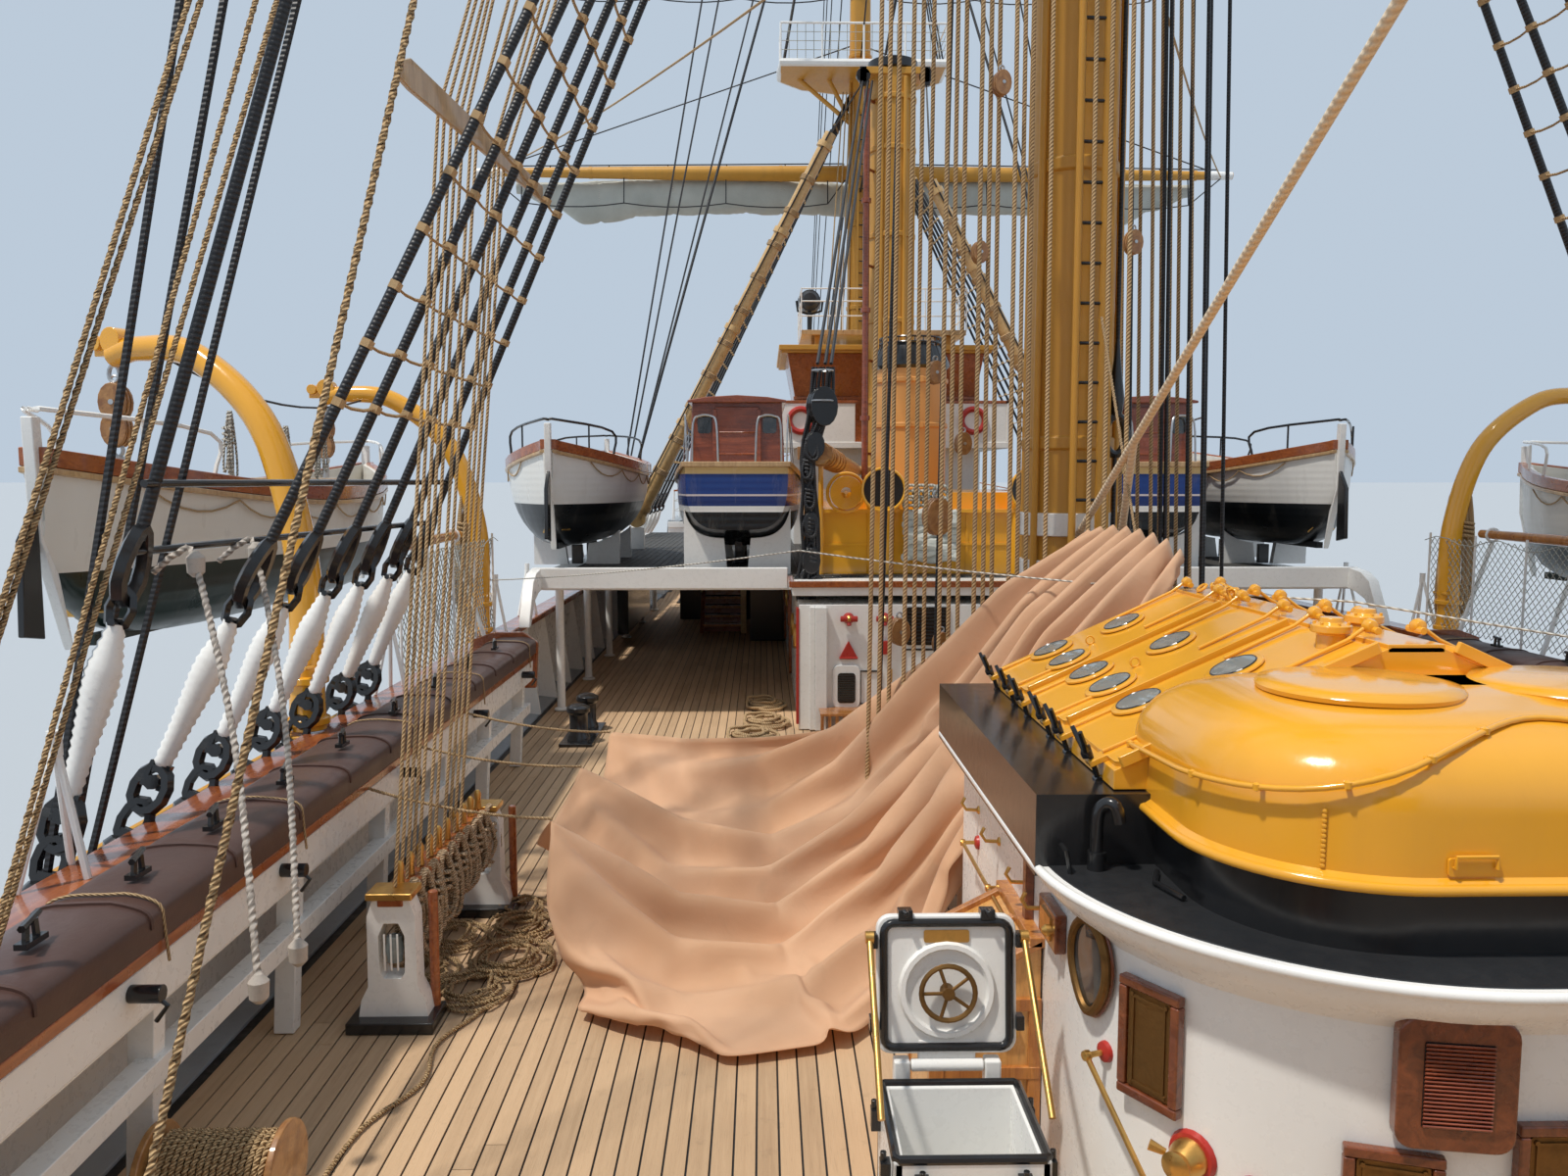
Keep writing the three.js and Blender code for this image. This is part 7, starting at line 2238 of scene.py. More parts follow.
def make_davits():
    """Gooseneck davits, each drawn swung out and then turned on its foot."""
    for side, sign in SIDES:
        for end, x, angle in DAVIT_FEET:
            body = f"davit_{side}_{end}"
            foot = frame_at(x)["deck"] + 1.42
            top = DAVIT_TIP - foot
            arc = curve([(0, 0, 0.17), (0, 0, 0.5), (0, 0, top - 1.9), (0, 0.35, top - 0.75),
                         (0, 1.1, top - 0.1), (0, 1.75, top), (0, DAVIT_REACH, top - 0.06)], 8)
            reach = np.linspace(0, 1, len(arc))
            neck = tube(arc, [DAVIT_RADIUS * (1.15 - 0.4 * r) for r in reach], 16)
            head = [box((-0.05, 0.05), (DAVIT_REACH - 0.2, DAVIT_REACH + 0.18), (top - 0.06, top + 0.1)),
                    bar((-0.09, DAVIT_REACH - 0.06, top + 0.08), (0.09, DAVIT_REACH - 0.06, top + 0.08),
                        0.12, sides=18),
                    bar((-0.09, DAVIT_REACH + 0.13, top + 0.06), (0.09, DAVIT_REACH + 0.13, top + 0.06),
                        0.07, sides=14)]
            bands = [turned([(0.15, z - 0.04), (0.19, z - 0.03), (0.19, z + 0.03), (0.15, z + 0.04)],
                            (0, 0, 0), sides=18) for z in (0.25, 0.62)]
            cleat = [bar((-0.16, -0.13, 0.75), (0.16, -0.13, 0.75), 0.022, sides=8),
                     box((-0.04, 0.04), (-0.16, -0.05), (0.71, 0.79))]
            def put(shells):
                return on_side([moved(swung(s, -angle, (0, 0, 1)), (x, DAVIT_Y, foot)) for s in shells],
                               sign)
            piece(body, put([neck, *head, *bands, *cleat]), YELLOW, body, (body,),
                  bevel=0.01)
            make_davit_fall(side, sign, end, x, angle, foot + top)
    steps = []
    for _, x, _ in DAVIT_FEET:
        z = frame_at(x)["deck"] + 1.42
        steps.append(turned([(0.24, z - 0.28), (0.24, z), (0.2, z + 0.06), (0.2, z + 0.14),
                             (0.1, z + 0.14)], (x, DAVIT_Y, 0), sides=20))
    piece("davit_steps", both_sides(steps), OCHRE, bevel=0.01)


def wooden_block(place, size=0.3, facing=(1, 0, 0)):
    """A block: two cheeks with a sheave between them and its pin, hanging with its top at a place."""
    cheek = [(size * 0.36 * math.sin(a), size * 0.5 * math.cos(a))
             for a in np.linspace(0, 2 * math.pi, 17)[:-1]]
    parts = [prism(cheek, s * size * 0.17 - size * 0.05, s * size * 0.17 + size * 0.05, 0)
             for s in (-1, 0, 1)]
    ends = [(a * 0.8, b) for a, b in cheek if b > size * 0.3]
    parts.append(prism(ends, -size * 0.2, size * 0.2, 0))
    turn = math.degrees(math.atan2(facing[1], facing[0]))
    return [moved(swung(p, turn, (0, 0, 1)), (place[0], place[1], place[2] - size * 0.5)) for p in parts]


def block_metal(place, size=0.3, facing=(1, 0, 0)):
    sheaves = [bar((s * size * 0.085 - size * 0.03, 0, 0), (s * size * 0.085 + size * 0.03, 0, 0),
                   size * 0.3, sides=16) for s in (-1, 1)]
    pin = [bar((-size * 0.25, 0, 0), (size * 0.25, 0, 0), size * 0.07, sides=10)]
    ring = [hoop((0, 0, size * 0.58), (1, 0, 0), size * 0.1, size * 0.035, 14, 6)]
    turn = math.degrees(math.atan2(facing[1], facing[0]))
    return [moved(swung(p, turn, (0, 0, 1)), (place[0], place[1], place[2] - size * 0.5))
            for p in sheaves + pin + ring]


def make_davit_fall(side, sign, end, x, angle, top):
    """Block and fall from the davit's head to the eye in the boat: it goes with the boat."""
    body = f"davit_boat_{side}"
    keel = DECK + BOATS["davit_boat"][0][2]
    a = math.radians(angle)
    place = np.array((x + DAVIT_REACH * math.sin(a), sign * (DAVIT_Y + DAVIT_REACH * math.cos(a)), 0))
    high, low = top - 0.3, keel + 1.72
    upper = place + (0, 0, high)
    lower = place + (0, 0, low + 0.42)
    wood = wooden_block(upper, 0.36) + wooden_block(lower, 0.34)
    iron = block_metal(upper, 0.36) + block_metal(lower, 0.34)
    iron.append(bar(place + (0, 0, keel + 0.2), place + (0, 0, low), 0.045, sides=10))
    for foot, half, rise, thick in ((low, 0.045, 0.06, 0.018), (high, 0.05, 0.08, 0.02)):
        eye = [place + (0, half * math.sin(t), foot + rise - rise * math.cos(t))
               for t in np.linspace(0, 2 * math.pi, 13)[:-1]]
        iron.append(tube(eye, thick, 6, closed=True))
    piece(f"fall_blocks_{side}_{end}", wood, BLOCK_WOOD, body, bevel=0.01)
    piece(f"fall_irons_{side}_{end}", iron, STEEL, body)
    ropes = [[upper + (dx, dy, -0.2), lower + (dx, dy, -0.15)]
             for dx, dy in ((-0.04, -0.09), (0.04, -0.09), (-0.04, 0.09), (0.04, 0.09))]
    laid_ropes(f"boat_falls_{side}_{end}", ropes, 0.045, HEMP, body, steps=6, sides=6)


# Boat deck and what stands on it

def boat_deck_edge(x):
    return frame_at(x)["edge"] - LEAN * 2 - 0.12


BOAT_DECK_LOW, BOAT_DECK_TOP = DECK + 2.06, DECK + 2.25


def make_boat_deck():
    """The boat deck with its pillars, beams, after brackets and planks."""
    low, top = BOAT_DECK_LOW, BOAT_DECK_TOP
    rings = []
    for x in spaced(1.15, 17.0, 1.5):
        y = boat_deck_edge(x)
        rings.append([(x, y, low), (x, y, top - 0.03), (x, y - 0.04, top - 0.005),
                      (x, 0.04 - y, top - 0.005), (x, -y, top - 0.03), (x, -y, low)])
    shells = [loft(rings), box((0.15, 1.35), (-2.5, 2.5), (low, top - 0.005))]
    for x in spaced(1.75, 16.5, 3.0):
        y = boat_deck_edge(x) - 0.45
        shells += both_sides([bar((x, y, frame_at(x)["deck"] + 0.01), (x, y, low + 0.05), 0.07, sides=12),
                              turned([(0.12, 0.0), (0.12, 0.03), (0.07, 0.05)],
                                     (x, y, frame_at(x)["deck"] + 0.01), sides=14)])
    outline = [(1.1, 2.4), (0.75, 2.36), (0.5, 2.24), (0.3, 1.93), (0.17, 1.75), (0.1, 1.59),
               (0.25, 1.59), (0.38, 1.75), (0.6, 1.95), (0.9, 2.04), (1.2, 2.08)]
    shells += both_sides([box((1.13, 1.3), (2.55, boat_deck_edge(1.15) - 0.12), (low + 0.02, DECK + 2.41))])
    shells += both_sides([box((11.3, 13.6), (3.3, 4.7), (top, top + 0.1))])
    outer = boat_deck_edge(1.15) - 0.12
    shells += both_sides([prism([(x, DECK + h) for x, h in outline], outer - 0.16, outer, 1)])
    for x in spaced(2.2, 16.5, 1.2):
        shells.append(box((x - 0.03, x + 0.03), (-boat_deck_edge(x) + 0.1, boat_deck_edge(x) - 0.1),
                          (low - 0.1, low + 0.02)))
    for y, height in ((5.75, 2.95), (-4.6, 2.95)):
        shells.append(box((8.63, 8.87), (y - 0.16, y + 0.16), (top - 0.01, DECK + height - 0.21)))
    piece("boat_deck", shells, WHITE, replaces=("boat_deck",), bevel=0.012)
    deck_planks("boat_deck_planks", 1.35, 16.9, 2.27, 0.2, half=6.35, finish=DARK_DECK)


def make_boat_deck_rails():
    top = BOAT_DECK_TOP
    trim = [box((0.1, 0.2), (-2.52, 2.52), (top - 0.06, top + 0.03)),
            *both_sides([box((0.15, 1.2), (2.47, 2.55), (top - 0.06, top + 0.03))])]
    piece("boat_deck_moulding", trim, RAIL_WOOD, bevel=0.01)
    posts, wires = [], []
    for flip in (1, -1):
        places = [(x, flip * (boat_deck_edge(x) - 0.06), top) for x in spaced(9.2, 16.8, 1.5)]
        posts += [bar(p, (p[0], p[1], top + 1.0), 0.022, sides=8) for p in places]
        wires += [[(px, py, top + h) for px, py, _ in places] for h in (0.35, 0.68, 1.0)]
    piece("boat_deck_stanchions", posts, WHITE)
    lines("boat_deck_rails", wires, 0.025, WHITE_CORD, sides=5)


def make_stairs():
    """Ladders up to the boat deck, with lockers beside them coloured black as painted shade of the passage
    under the boat deck.
    """
    steps, sides, dark = [], [], []
    inner, outer = 3.42, 4.45
    for k in range(9):
        x, z = 11.4 + 0.2 * k, DECK + 0.22 + 0.21 * k
        steps.append(box((x, x + 0.24), (inner, outer), (z - 0.05, z)))
        dark.append(box((x + 0.2, x + 0.22), (inner, outer), (z - 0.2, z - 0.05)))
    for y in (inner, outer):
        string = [(11.25, 0.03), (11.55, 0.03), (13.35, 1.93), (13.35, 2.05), (13.05, 2.05)]
        sides.append(prism([(x, DECK + h) for x, h in string], y - 0.05, y + 0.05, 1))
    posts = [box((11.2, 11.34), (inner - 0.07, inner + 0.07), (DECK + 0.02, DECK + 1.1))]
    posts += [bar((11.27, y, DECK + 1.05), (12.3, y, DECK + 2.05), 0.03, sides=8) for y in (inner, outer)]
    # The lockers and the long box by the bulwark are black as painted shade of the space under the boat
    # deck.
    lockers = [box((9.9, 11.1), (2.42, 3.25), (DECK + 0.02, DECK + 1.95)),
               box((14.2, 16.2), (2.42, 5.2), (DECK + 0.02, DECK + 2.0)),
               box((9.0, 14.0), (6.0, 6.25), (DECK + 0.3, DECK + 1.8))]
    piece("stair_treads", both_sides(steps), HATCH_WOOD, bevel=0.008)
    piece("stair_risers", both_sides(dark + sides), MAHOGANY, bevel=0.008)
    piece("stair_posts", both_sides(posts), SPAR_WOOD, bevel=0.01)
    piece("passage_lockers", both_sides(lockers), BLACK, bevel=0.02)


def on_aft_wall(shells, y, height, x=0.15):
    """Fittings drawn across, up and out, on a wall that faces aft. Across runs to starboard."""
    return [framed(s, (x, y, DECK + height), *FACING_AFT) for s in shells]


def make_centre_house():
    """The house under the boat deck, with the openings in its after wall."""
    wall = DECK + 1.93
    white = [box((0.15, 14.0), (-2.4, 2.4), (DECK + 0.013, wall - 0.003))]
    white += on_aft_wall([board(0.42, 0.66, 0.05, 0.1), board(0.3, 0.5, 0.03, 0.03)], 1.68, 0.68)
    white += [box((0.02, 0.15), (1.98, 2.16), (DECK + 0.02, DECK + 1.9)),
              box((0.06, 0.15), (2.16, 2.24), (DECK + 0.02, DECK + 1.9))]
    black = []
    for y, height, width, tall in ((1.31, 0.66, 0.32, 0.5), (0.5, 0.93, 0.6, 0.62), (-1.2, 0.95, 0.7, 0.9)):
        corners = ((-1, -1), (-1, 0), (-1, 1), (0, 1), (1, 1), (1, 0), (1, -1), (0, -1))
        seal = [(sx * width / 2, sy * tall / 2, 0.01) for sx, sy in corners]
        black += on_aft_wall([tube(seal, 0.018, 6, closed=True)], y, height)
    # The black boards stand for openings and vents in the wall: painted shade of their insides.
    black += on_aft_wall([board(0.68, 0.58, 0.03, 0.06)], 0.45, 1.60)
    black += on_aft_wall([board(0.27, 0.46, 0.06, 0.05)], 1.68, 0.66)
    black += on_aft_wall([board(0.7, 0.5, 0.03, 0.06)], -1.3, 1.60)
    bars = []
    for k in range(12):
        bars += on_aft_wall([box((-0.12, 0.12), (-0.2 + 0.035 * k, -0.185 + 0.035 * k), (0.055, 0.075))],
                            1.68, 0.66)
    for k in range(9):
        bars += on_aft_wall([box((-0.31, 0.31), (-0.24 + 0.055 * k, -0.225 + 0.055 * k), (0.02, 0.045))],
                            0.45, 1.60)
    piece("centre_house", white, WHITE, replaces=("centre_house",), bevel=0.012)
    piece("centre_house_openings", black, BLACK)
    piece("centre_house_slats", bars, ROOF_GREY)


def make_fire_fittings():
    """Red hydrants and boxes, brass handles and a grating bench at the after wall."""
    red = []
    for y in (1.65, 1.11):
        red += on_aft_wall([bar((-0.13, 0, 0.1), (0.13, 0, 0.1), 0.045, sides=12),
                            turned([(0.09, 0), (0.08, 0.03), (0.03, 0.1)], (0, 0, 0), sides=14),
                            bar((0, 0, 0.08), (0, -0.1, 0.12), 0.035, sides=10)], y, 1.72)
    red += on_aft_wall([prism([(-0.14, -0.12), (0.14, -0.12), (0.0, 0.14)], 0.0, 0.06),
                        bar((-0.14, -0.12, 0.05), (0.14, -0.12, 0.05), 0.02, sides=8)], 1.65, 1.24)
    red += on_aft_wall([board(0.14, 0.2, 0.1, 0.02)], 1.1, 1.28)
    red += [box((0.13, 0.3), (2.4, 2.44), (DECK + 0.1, DECK + 1.88))]
    piece("fire_fittings", red, RED, bevel=0.008)
    brass = []
    for y in (1.65, 1.11):
        tip = turned([(0.035, 0.1), (0.05, 0.12), (0.02, 0.15)], (0, 0, 0), sides=12)
        brass += on_aft_wall([tip], y, 1.72)
    for y in (1.0, 0.05, -0.6, -1.9):
        brass += on_aft_wall([bar((0, -0.1, 0.05), (0, 0.1, 0.05), 0.015, sides=8)], y, 0.85)
    piece("centre_house_brass", brass, BRASS)
    bench = [box((-0.42, 0.1), (0.95, 2.1), (DECK + 0.33, DECK + 0.37))]
    bench += [box((-0.40, -0.36), (y - 0.025, y + 0.025), (DECK + 0.02, DECK + 0.33))
              for y in spaced(0.98, 2.07, 0.12)]
    bench.append(box((-0.41, -0.35), (0.95, 2.1), (DECK + 0.02, DECK + 0.08)))
    piece("grating_bench", bench, HATCH_WOOD, bevel=0.006)


def make_house_sides():
    """Doors and ports along the sides of the centre house."""
    wood, brass, glass = [], [], []
    rim, pane = port_shapes(0.15)
    facing = ((1, 0, 0), (0, 0, 1), (0, 1, 0))
    for x in (1.6, 3.2, 6.4, 8.0, 11.2, 12.8):
        brass.append(framed(rim, (x, 2.4, DECK + 1.25), *facing))
        glass.append(framed(pane, (x, 2.4, DECK + 1.25), *facing))
    for x in (4.8, 9.6):
        wood.append(framed(board(0.75, 1.6, 0.05, 0.08), (x, 2.4, DECK + 0.95), *facing))
        wood.append(framed(board(0.5, 0.5, 0.07, 0.04), (x, 2.4, DECK + 1.3), *facing))
    piece("house_doors", both_sides(wood), RAIL_WOOD, bevel=0.01)
    piece("house_port_rims", both_sides(brass), BRASS)
    piece("house_port_glass", both_sides(glass), GLASS)


def make_engine_casing():
    low, top = DECK + 2.255, DECK + 3.3
    yellow = [box((1.7, 8.7), (-2.0, 2.0), (low, top))]
    yellow.append(box((1.62, 8.78), (-2.06, 2.06), (top - 0.03, top + 0.03)))
    yellow.append(box((1.9, 8.5), (-1.7, 1.7), (top, DECK + 3.6)))
    for y in spaced(-2.0, 2.0, 0.8):
        yellow.append(box((1.685, 1.7), (y - 0.02, y + 0.02), (low, top)))
    yellow.append(box((1.68, 1.7), (-2.0, 2.0), (low + 0.48, low + 0.52)))
    for x in spaced(1.7, 8.7, 1.4):
        yellow += both_sides([box((x - 0.02, x + 0.02), (2.0, 2.02), (low, top))])
    yellow += [tube([(1.62, y, low), (1.62, y, DECK + 4.05)], 0.042, 8) for y in (2.0, -2.12)]
    mouths = []
    for y in (1.02, -1.35):
        elbow = curve([(1.78, y, low), (1.78, y, DECK + 3.25), (1.74, y, DECK + 3.5),
                       (1.55, y, DECK + 3.62), (1.24, y, DECK + 3.65)], 5)
        radii = np.interp(np.linspace(0, 1, len(elbow)), [0, 0.5, 0.8, 1], [0.24, 0.26, 0.33, 0.35])
        yellow.append(tube(elbow, radii, 22))
        yellow.append(hoop((1.22, y, DECK + 3.65), (1, 0, 0), 0.34, 0.022, 28, 8))
        # A black disc just inside each cowl's mouth: painted shade of the cowl's inside.
        mouths.append(turned([(0.325, 0), (0.325, 0.014), (0.0, 0.015)], (1.235, y, DECK + 3.65),
                             (-1, 0, 0), 28))
    for k in range(9):
        r = 0.10 + 0.02 * k
        yellow.append(hoop((1.5 - 0.012 * k, 1.6, DECK + 3.60), (1, 0.2, 0.1), r, 0.014, 24, 6))
    yellow.append(bar((1.72, 1.6, DECK + 3.28), (1.52, 1.6, DECK + 3.6), 0.035))
    yellow.append(hoop((1.5, 1.6, DECK + 3.60), (1, 0.2, 0.1), 0.31, 0.03, 28, 6))
    piece("engine_casing", yellow, YELLOW, replaces=("engine_casing",), bevel=0.012)
    piece("cowl_mouths", mouths, BLACK)
    make_stowed_canvas()


def make_stowed_canvas():
    """A folded sail and coiled lines on the casing beside the cowl."""
    draw = np.random.default_rng(8)
    folds = []
    for k in range(9):
        z = DECK + 2.55 + 0.09 * k
        wave = [(1.42 + 0.06 * math.sin(5 * t + k) + 0.04 * draw.uniform(-1, 1), 0.66 - 0.85 * t,
                 z + 0.03 * math.sin(9 * t + 2 * k))
                for t in np.linspace(0, 1, 9)]
        folds.append(tube(curve(wave, 3), 0.075, 8))
    piece("stowed_canvas", folds, SAIL)
    coils = []
    for k in range(12):
        y, z = 0.55 - 0.16 * (k % 4), DECK + 3.42 + 0.09 * (k // 4)
        coils.append([(1.46 + 0.03 * draw.uniform(-1, 1) + 0.05 * math.cos(a), y + 0.12 * math.cos(a),
                       z + 0.12 * math.sin(a))
                      for a in np.linspace(0, 2 * math.pi, 15)])
    lines("stowed_lines", coils, 0.05, NET_CORD, sides=6)


FUNNEL_X = 6.0
POST_X = 9.75  # derrick post


def make_funnel():
    x = FUNNEL_X
    body = [turned([(0.74, DECK + 3.6), (0.74, DECK + 3.66), (0.70, DECK + 3.68), (0.70, DECK + 5.98),
                    (0.68, DECK + 6.0)], (x, 0, 0), sides=40)]
    for z in (DECK + 4.87, DECK + 5.74):
        body.append(turned([(0.70, z - 0.05), (0.735, z - 0.04), (0.735, z + 0.04), (0.70, z + 0.05)],
                           (x, 0, 0), sides=40))
        body += [box((x - 0.76, x - 0.72), (y - 0.04, y + 0.04), (z - 0.06, z + 0.06))
                 for y in (-0.12, 0.12)]
    piece("funnel", body, FUNNEL_PAINT, replaces=("funnel",), bevel=0.01)
    cap = [turned([(0.70, DECK + 5.96), (0.76, DECK + 6.02), (0.755, DECK + 6.1), (0.62, DECK + 6.4),
                   (0.55, DECK + 6.4), (0.66, DECK + 6.06), (0.0, DECK + 6.05)], (x, 0, 0), sides=40)]
    cap += [hoop((x, 0, DECK + z), (0, 0, 1), 0.62, 0.02, 32, 6) for z in (6.47, 6.57)]
    for a in np.linspace(0, 2 * math.pi, 25)[:-1]:
        cap.append(bar((x + 0.745 * math.cos(a), 0.745 * math.sin(a), DECK + 6.1),
                       (x + 0.62 * math.cos(a), 0.62 * math.sin(a), DECK + 6.4), 0.014, sides=5))
        cap.append(bar((x + 0.62 * math.cos(a), 0.62 * math.sin(a), DECK + 6.38),
                       (x + 0.62 * math.cos(a), 0.62 * math.sin(a), DECK + 6.58), 0.012, sides=5))
    cap.append(turned([(0.46, DECK + 6.06), (0.46, DECK + 6.5), (0.40, DECK + 6.5), (0.40, DECK + 6.1),
                       (0.0, DECK + 6.09)], (x, 0, 0), sides=28))
    piece("funnel_top", cap, BLACK)


def make_derricks():
    """The derrick post with its pipe, and two derricks that stand up against it."""
    x = POST_X
    post = [turned([(0.56, DECK + 2.255), (0.55, DECK + 2.5), (0.53, DECK + 2.52), (0.50, DECK + 12.9),
                    (0.50, DECK + 12.92)], (x, 0, 0), sides=36)]
    for z in (3.9, 5.6, 7.4, 9.3, 11.2, 12.3):
        post.append(turned([(0.50, DECK + z - 0.07), (0.545, DECK + z - 0.05), (0.545, DECK + z + 0.05),
                            (0.50, DECK + z + 0.07)], (x, 0, 0), sides=36))
    for a in (2.6, 3.6, 4.1):
        post.append(bar((x + 0.56 * math.cos(a), 0.56 * math.sin(a), DECK + 2.3),
                        (x + 0.54 * math.cos(a), 0.54 * math.sin(a), DECK + 12.7), 0.05, sides=8))
    for y in (-0.75, 0.75):
        post.append(box((x - 0.5, x + 0.2), sorted((0, y)), (DECK + 12.75, DECK + 12.9)))
    piece("derrick_post", post, OCHRE, replaces=("derrick_post",), bevel=0.012)
    cap = [turned([(0.50, DECK + 12.9), (0.56, DECK + 12.93), (0.56, DECK + 13.12), (0.50, DECK + 13.15),
                   (0.0, DECK + 13.15)], (x, 0, 0), sides=36)]
    for s in (1, -1):
        cap += [bar((x - 0.5, s * 0.7, DECK + 12.72), (x - 0.38, s * 0.7, DECK + 12.72), 0.16, sides=16),
                box((x - 0.5, x - 0.38), sorted((s * 0.62, s * 0.78)), (DECK + 12.5, DECK + 12.9))]
    piece("derrick_post_cap", cap, BLACK, bevel=0.01)
    pipe = [bar((x - 0.52, 0.62, DECK + 3.6), (x - 0.52, 0.62, DECK + 12.4), 0.075, sides=12)]
    pipe += [bar((x - 0.52, 0.62, DECK + z), (x - 0.2, 0.4, DECK + z), 0.035, sides=8)
             for z in (4.4, 6.5, 8.6, 10.7, 12.2)]
    pipe += [turned([(0.075, z - 0.06), (0.11, z - 0.05), (0.11, z + 0.05), (0.075, z + 0.06)],
                    (x - 0.52, 0.62, DECK), sides=14) for z in (5.2, 7.6, 10.0)]
    piece("exhaust_pipe", pipe, MAHOGANY)
    for side, foot_y, foot_h, head_y, head_h in (("port", 5.75, 2.95, 1.45, 11.3),
                                                 ("starboard", -4.6, 2.95, -0.75, 10.3)):
        body = f"derrick_{side}"
        foot, head = np.array((8.75, foot_y, DECK + foot_h)), np.array((8.75, head_y, DECK + head_h))
        spar = [bar(foot, head, 0.17, 0.13, 20),
                bar(foot - (0.14, 0, 0), foot + (0.14, 0, 0), 0.2, sides=20)]
        unit = (head - foot) / np.linalg.norm(head - foot)
        for t in (0.03, 0.25, 0.5, 0.75, 0.97):
            place = foot + (head - foot) * t
            spar.append(bar(place - unit * 0.06, place + unit * 0.06, 0.2 - 0.03 * t, sides=20))
        piece(body, spar, SPAR_WOOD, body, (body,))
        wraps = []
        for t in spaced(0.12, 0.88, 0.09):
            place = foot + (head - foot) * t
            wraps += [hoop(place + unit * 0.03 * k, unit, 0.178 - 0.02 * t, 0.016, 12, 4) for k in range(4)]
        piece(f"{body}_wraps", wraps, MANILA, body)
        gear = [[head + (0.0, 0, 0.05), foot + (0.19, 0, 0.4)],
                [head + (-0.15, 0, 0.05), foot + (-0.17, 0.0, 0.3)]]
        lines(f"{body}_wires", gear, 0.035, WIRE, body, 5)
        sheave = np.array((x - 0.44, math.copysign(0.7, head_y), DECK + 12.6))
        routes = [[head + (dx, 0, 0), sheave] for dx in (-0.06, 0, 0.06)]
        span = lines(f"{body}_span", routes, 0.035, WIRE, None, 5)
        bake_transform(span)
    make_stowed_boom()


TACKLE_SPOTS = (
    # y, height above deck and half width, from the block aloft to the deck's edge
    (2.00, 5.55, 0.16), (2.03, 5.00, 0.17), (2.10, 4.70, 0.15), (2.20, 4.42, 0.13), (2.24, 4.10, 0.10),
    (2.21, 3.65, 0.09),
    (2.20, 3.20, 0.12), (2.18, 2.72, 0.13), (2.25, 2.15, 0.15),
)


def make_stowed_boom():
    """A boom stowed along the casing, with the black tackle that hangs at its after end."""
    x = 0.98
    boom = [bar((1.1, 2.06, DECK + 4.22), (9.3, 0.9, DECK + 4.02), 0.17, 0.2, 20)]
    boom += [bar((9.2, 0.9, DECK + 4.02), (9.5, 0.45, DECK + 4.02), 0.1, sides=12)]
    piece("stowed_boom", boom, SPAR_WOOD)
    ties = [hoop((1.1 + t * 8.2, 2.06 - t * 1.16, DECK + 4.22 - t * 0.2), (8.2, -1.16, -0.2),
                 0.185 + 0.02 * t, 0.014, 20, 5)
            for t in (0.03, 0.05, 0.1, 0.16, 0.18, 0.26, 0.34, 0.42)]
    ties += [box((1.0, 1.16), (1.86, 2.4), (DECK + 4.12, DECK + 4.32))]
    piece("stowed_boom_ties", ties, BLOCK_WOOD)
    ropes, parts = [], []
    cap = np.array((9.3, 0.62, DECK + 12.6))
    for dy in (-0.12, -0.03, 0.09):
        ropes.append([cap + (0, dy, 0), (x, 2.0 + dy, DECK + 5.6)])
    draw = np.random.default_rng(21)
    for k in range(7):
        share = (k - 3) / 3
        ropes.append([(x + 0.05 * draw.uniform(-1, 1), y + half * share + 0.02 * draw.uniform(-1, 1),
                       DECK + h) for y, h, half in TACKLE_SPOTS])
    for y, h, half in TACKLE_SPOTS[3:]:
        ropes += hank((x, y, DECK + h + 0.1), 0.42, 4, draw, (0, 1, 0), half * 0.9)
    for y, h, size in ((2.02, 5.25, 0.62), (2.14, 4.55, 0.42), (2.2, 3.3, 0.36), (2.2, 2.75, 0.42)):
        parts += wooden_block((x, y, DECK + h), size, (1, 0.3, 0))
    for y, h in ((2.22, 3.85), (2.25, 2.3), (2.4, 2.18), (2.1, 2.2)):
        parts.append(hoop((x, y, DECK + h), (1, 0.4, 0), 0.09, 0.035, 18, 8))
    parts.append(box((x - 0.1, x + 0.1), (2.0, 2.5), (DECK + 2.0, DECK + 2.1)))
    lines("tackle_falls", ropes, 0.055, WIRE, sides=6)
    piece("tackle_blocks", parts, BLACK, bevel=0.015)
    shine = [hoop((x - 0.16, 2.02, DECK + h), (0, 0, 1), 0.16, 0.014, 20, 5) for h in (5.02, 5.48)]
    piece("tackle_irons", shine, STEEL)


def make_bridge():
    """The bridge house, and the bridge deck with its dodgers."""
    white = [box((10.7, 14.8), (-2.2, 2.2), (DECK + 2.254, DECK + 4.6)),
             box((10.3, 15.1), (-2.9, 2.9), (DECK + 4.55, DECK + 4.7))]
    for y in (-2.6, 2.6):
        white += [bar((x, y, DECK + 2.26), (x, y, DECK + 4.56), 0.06, sides=10) for x in (10.6, 12.7, 14.8)]
    for x0, x1, y0, y1 in ((10.32, 10.36, -2.88, -0.75), (10.32, 10.36, 0.75, 2.88),
                           (10.3, 15.1, 2.84, 2.88), (10.3, 15.1, -2.88, -2.84),
                           (15.04, 15.08, -2.88, 2.88)):
        white.append(box((x0, x1), (y0, y1), (DECK + 4.7, DECK + 5.62)))
    piece("bridge", white, WHITE, replaces=("bridge",), bevel=0.015)


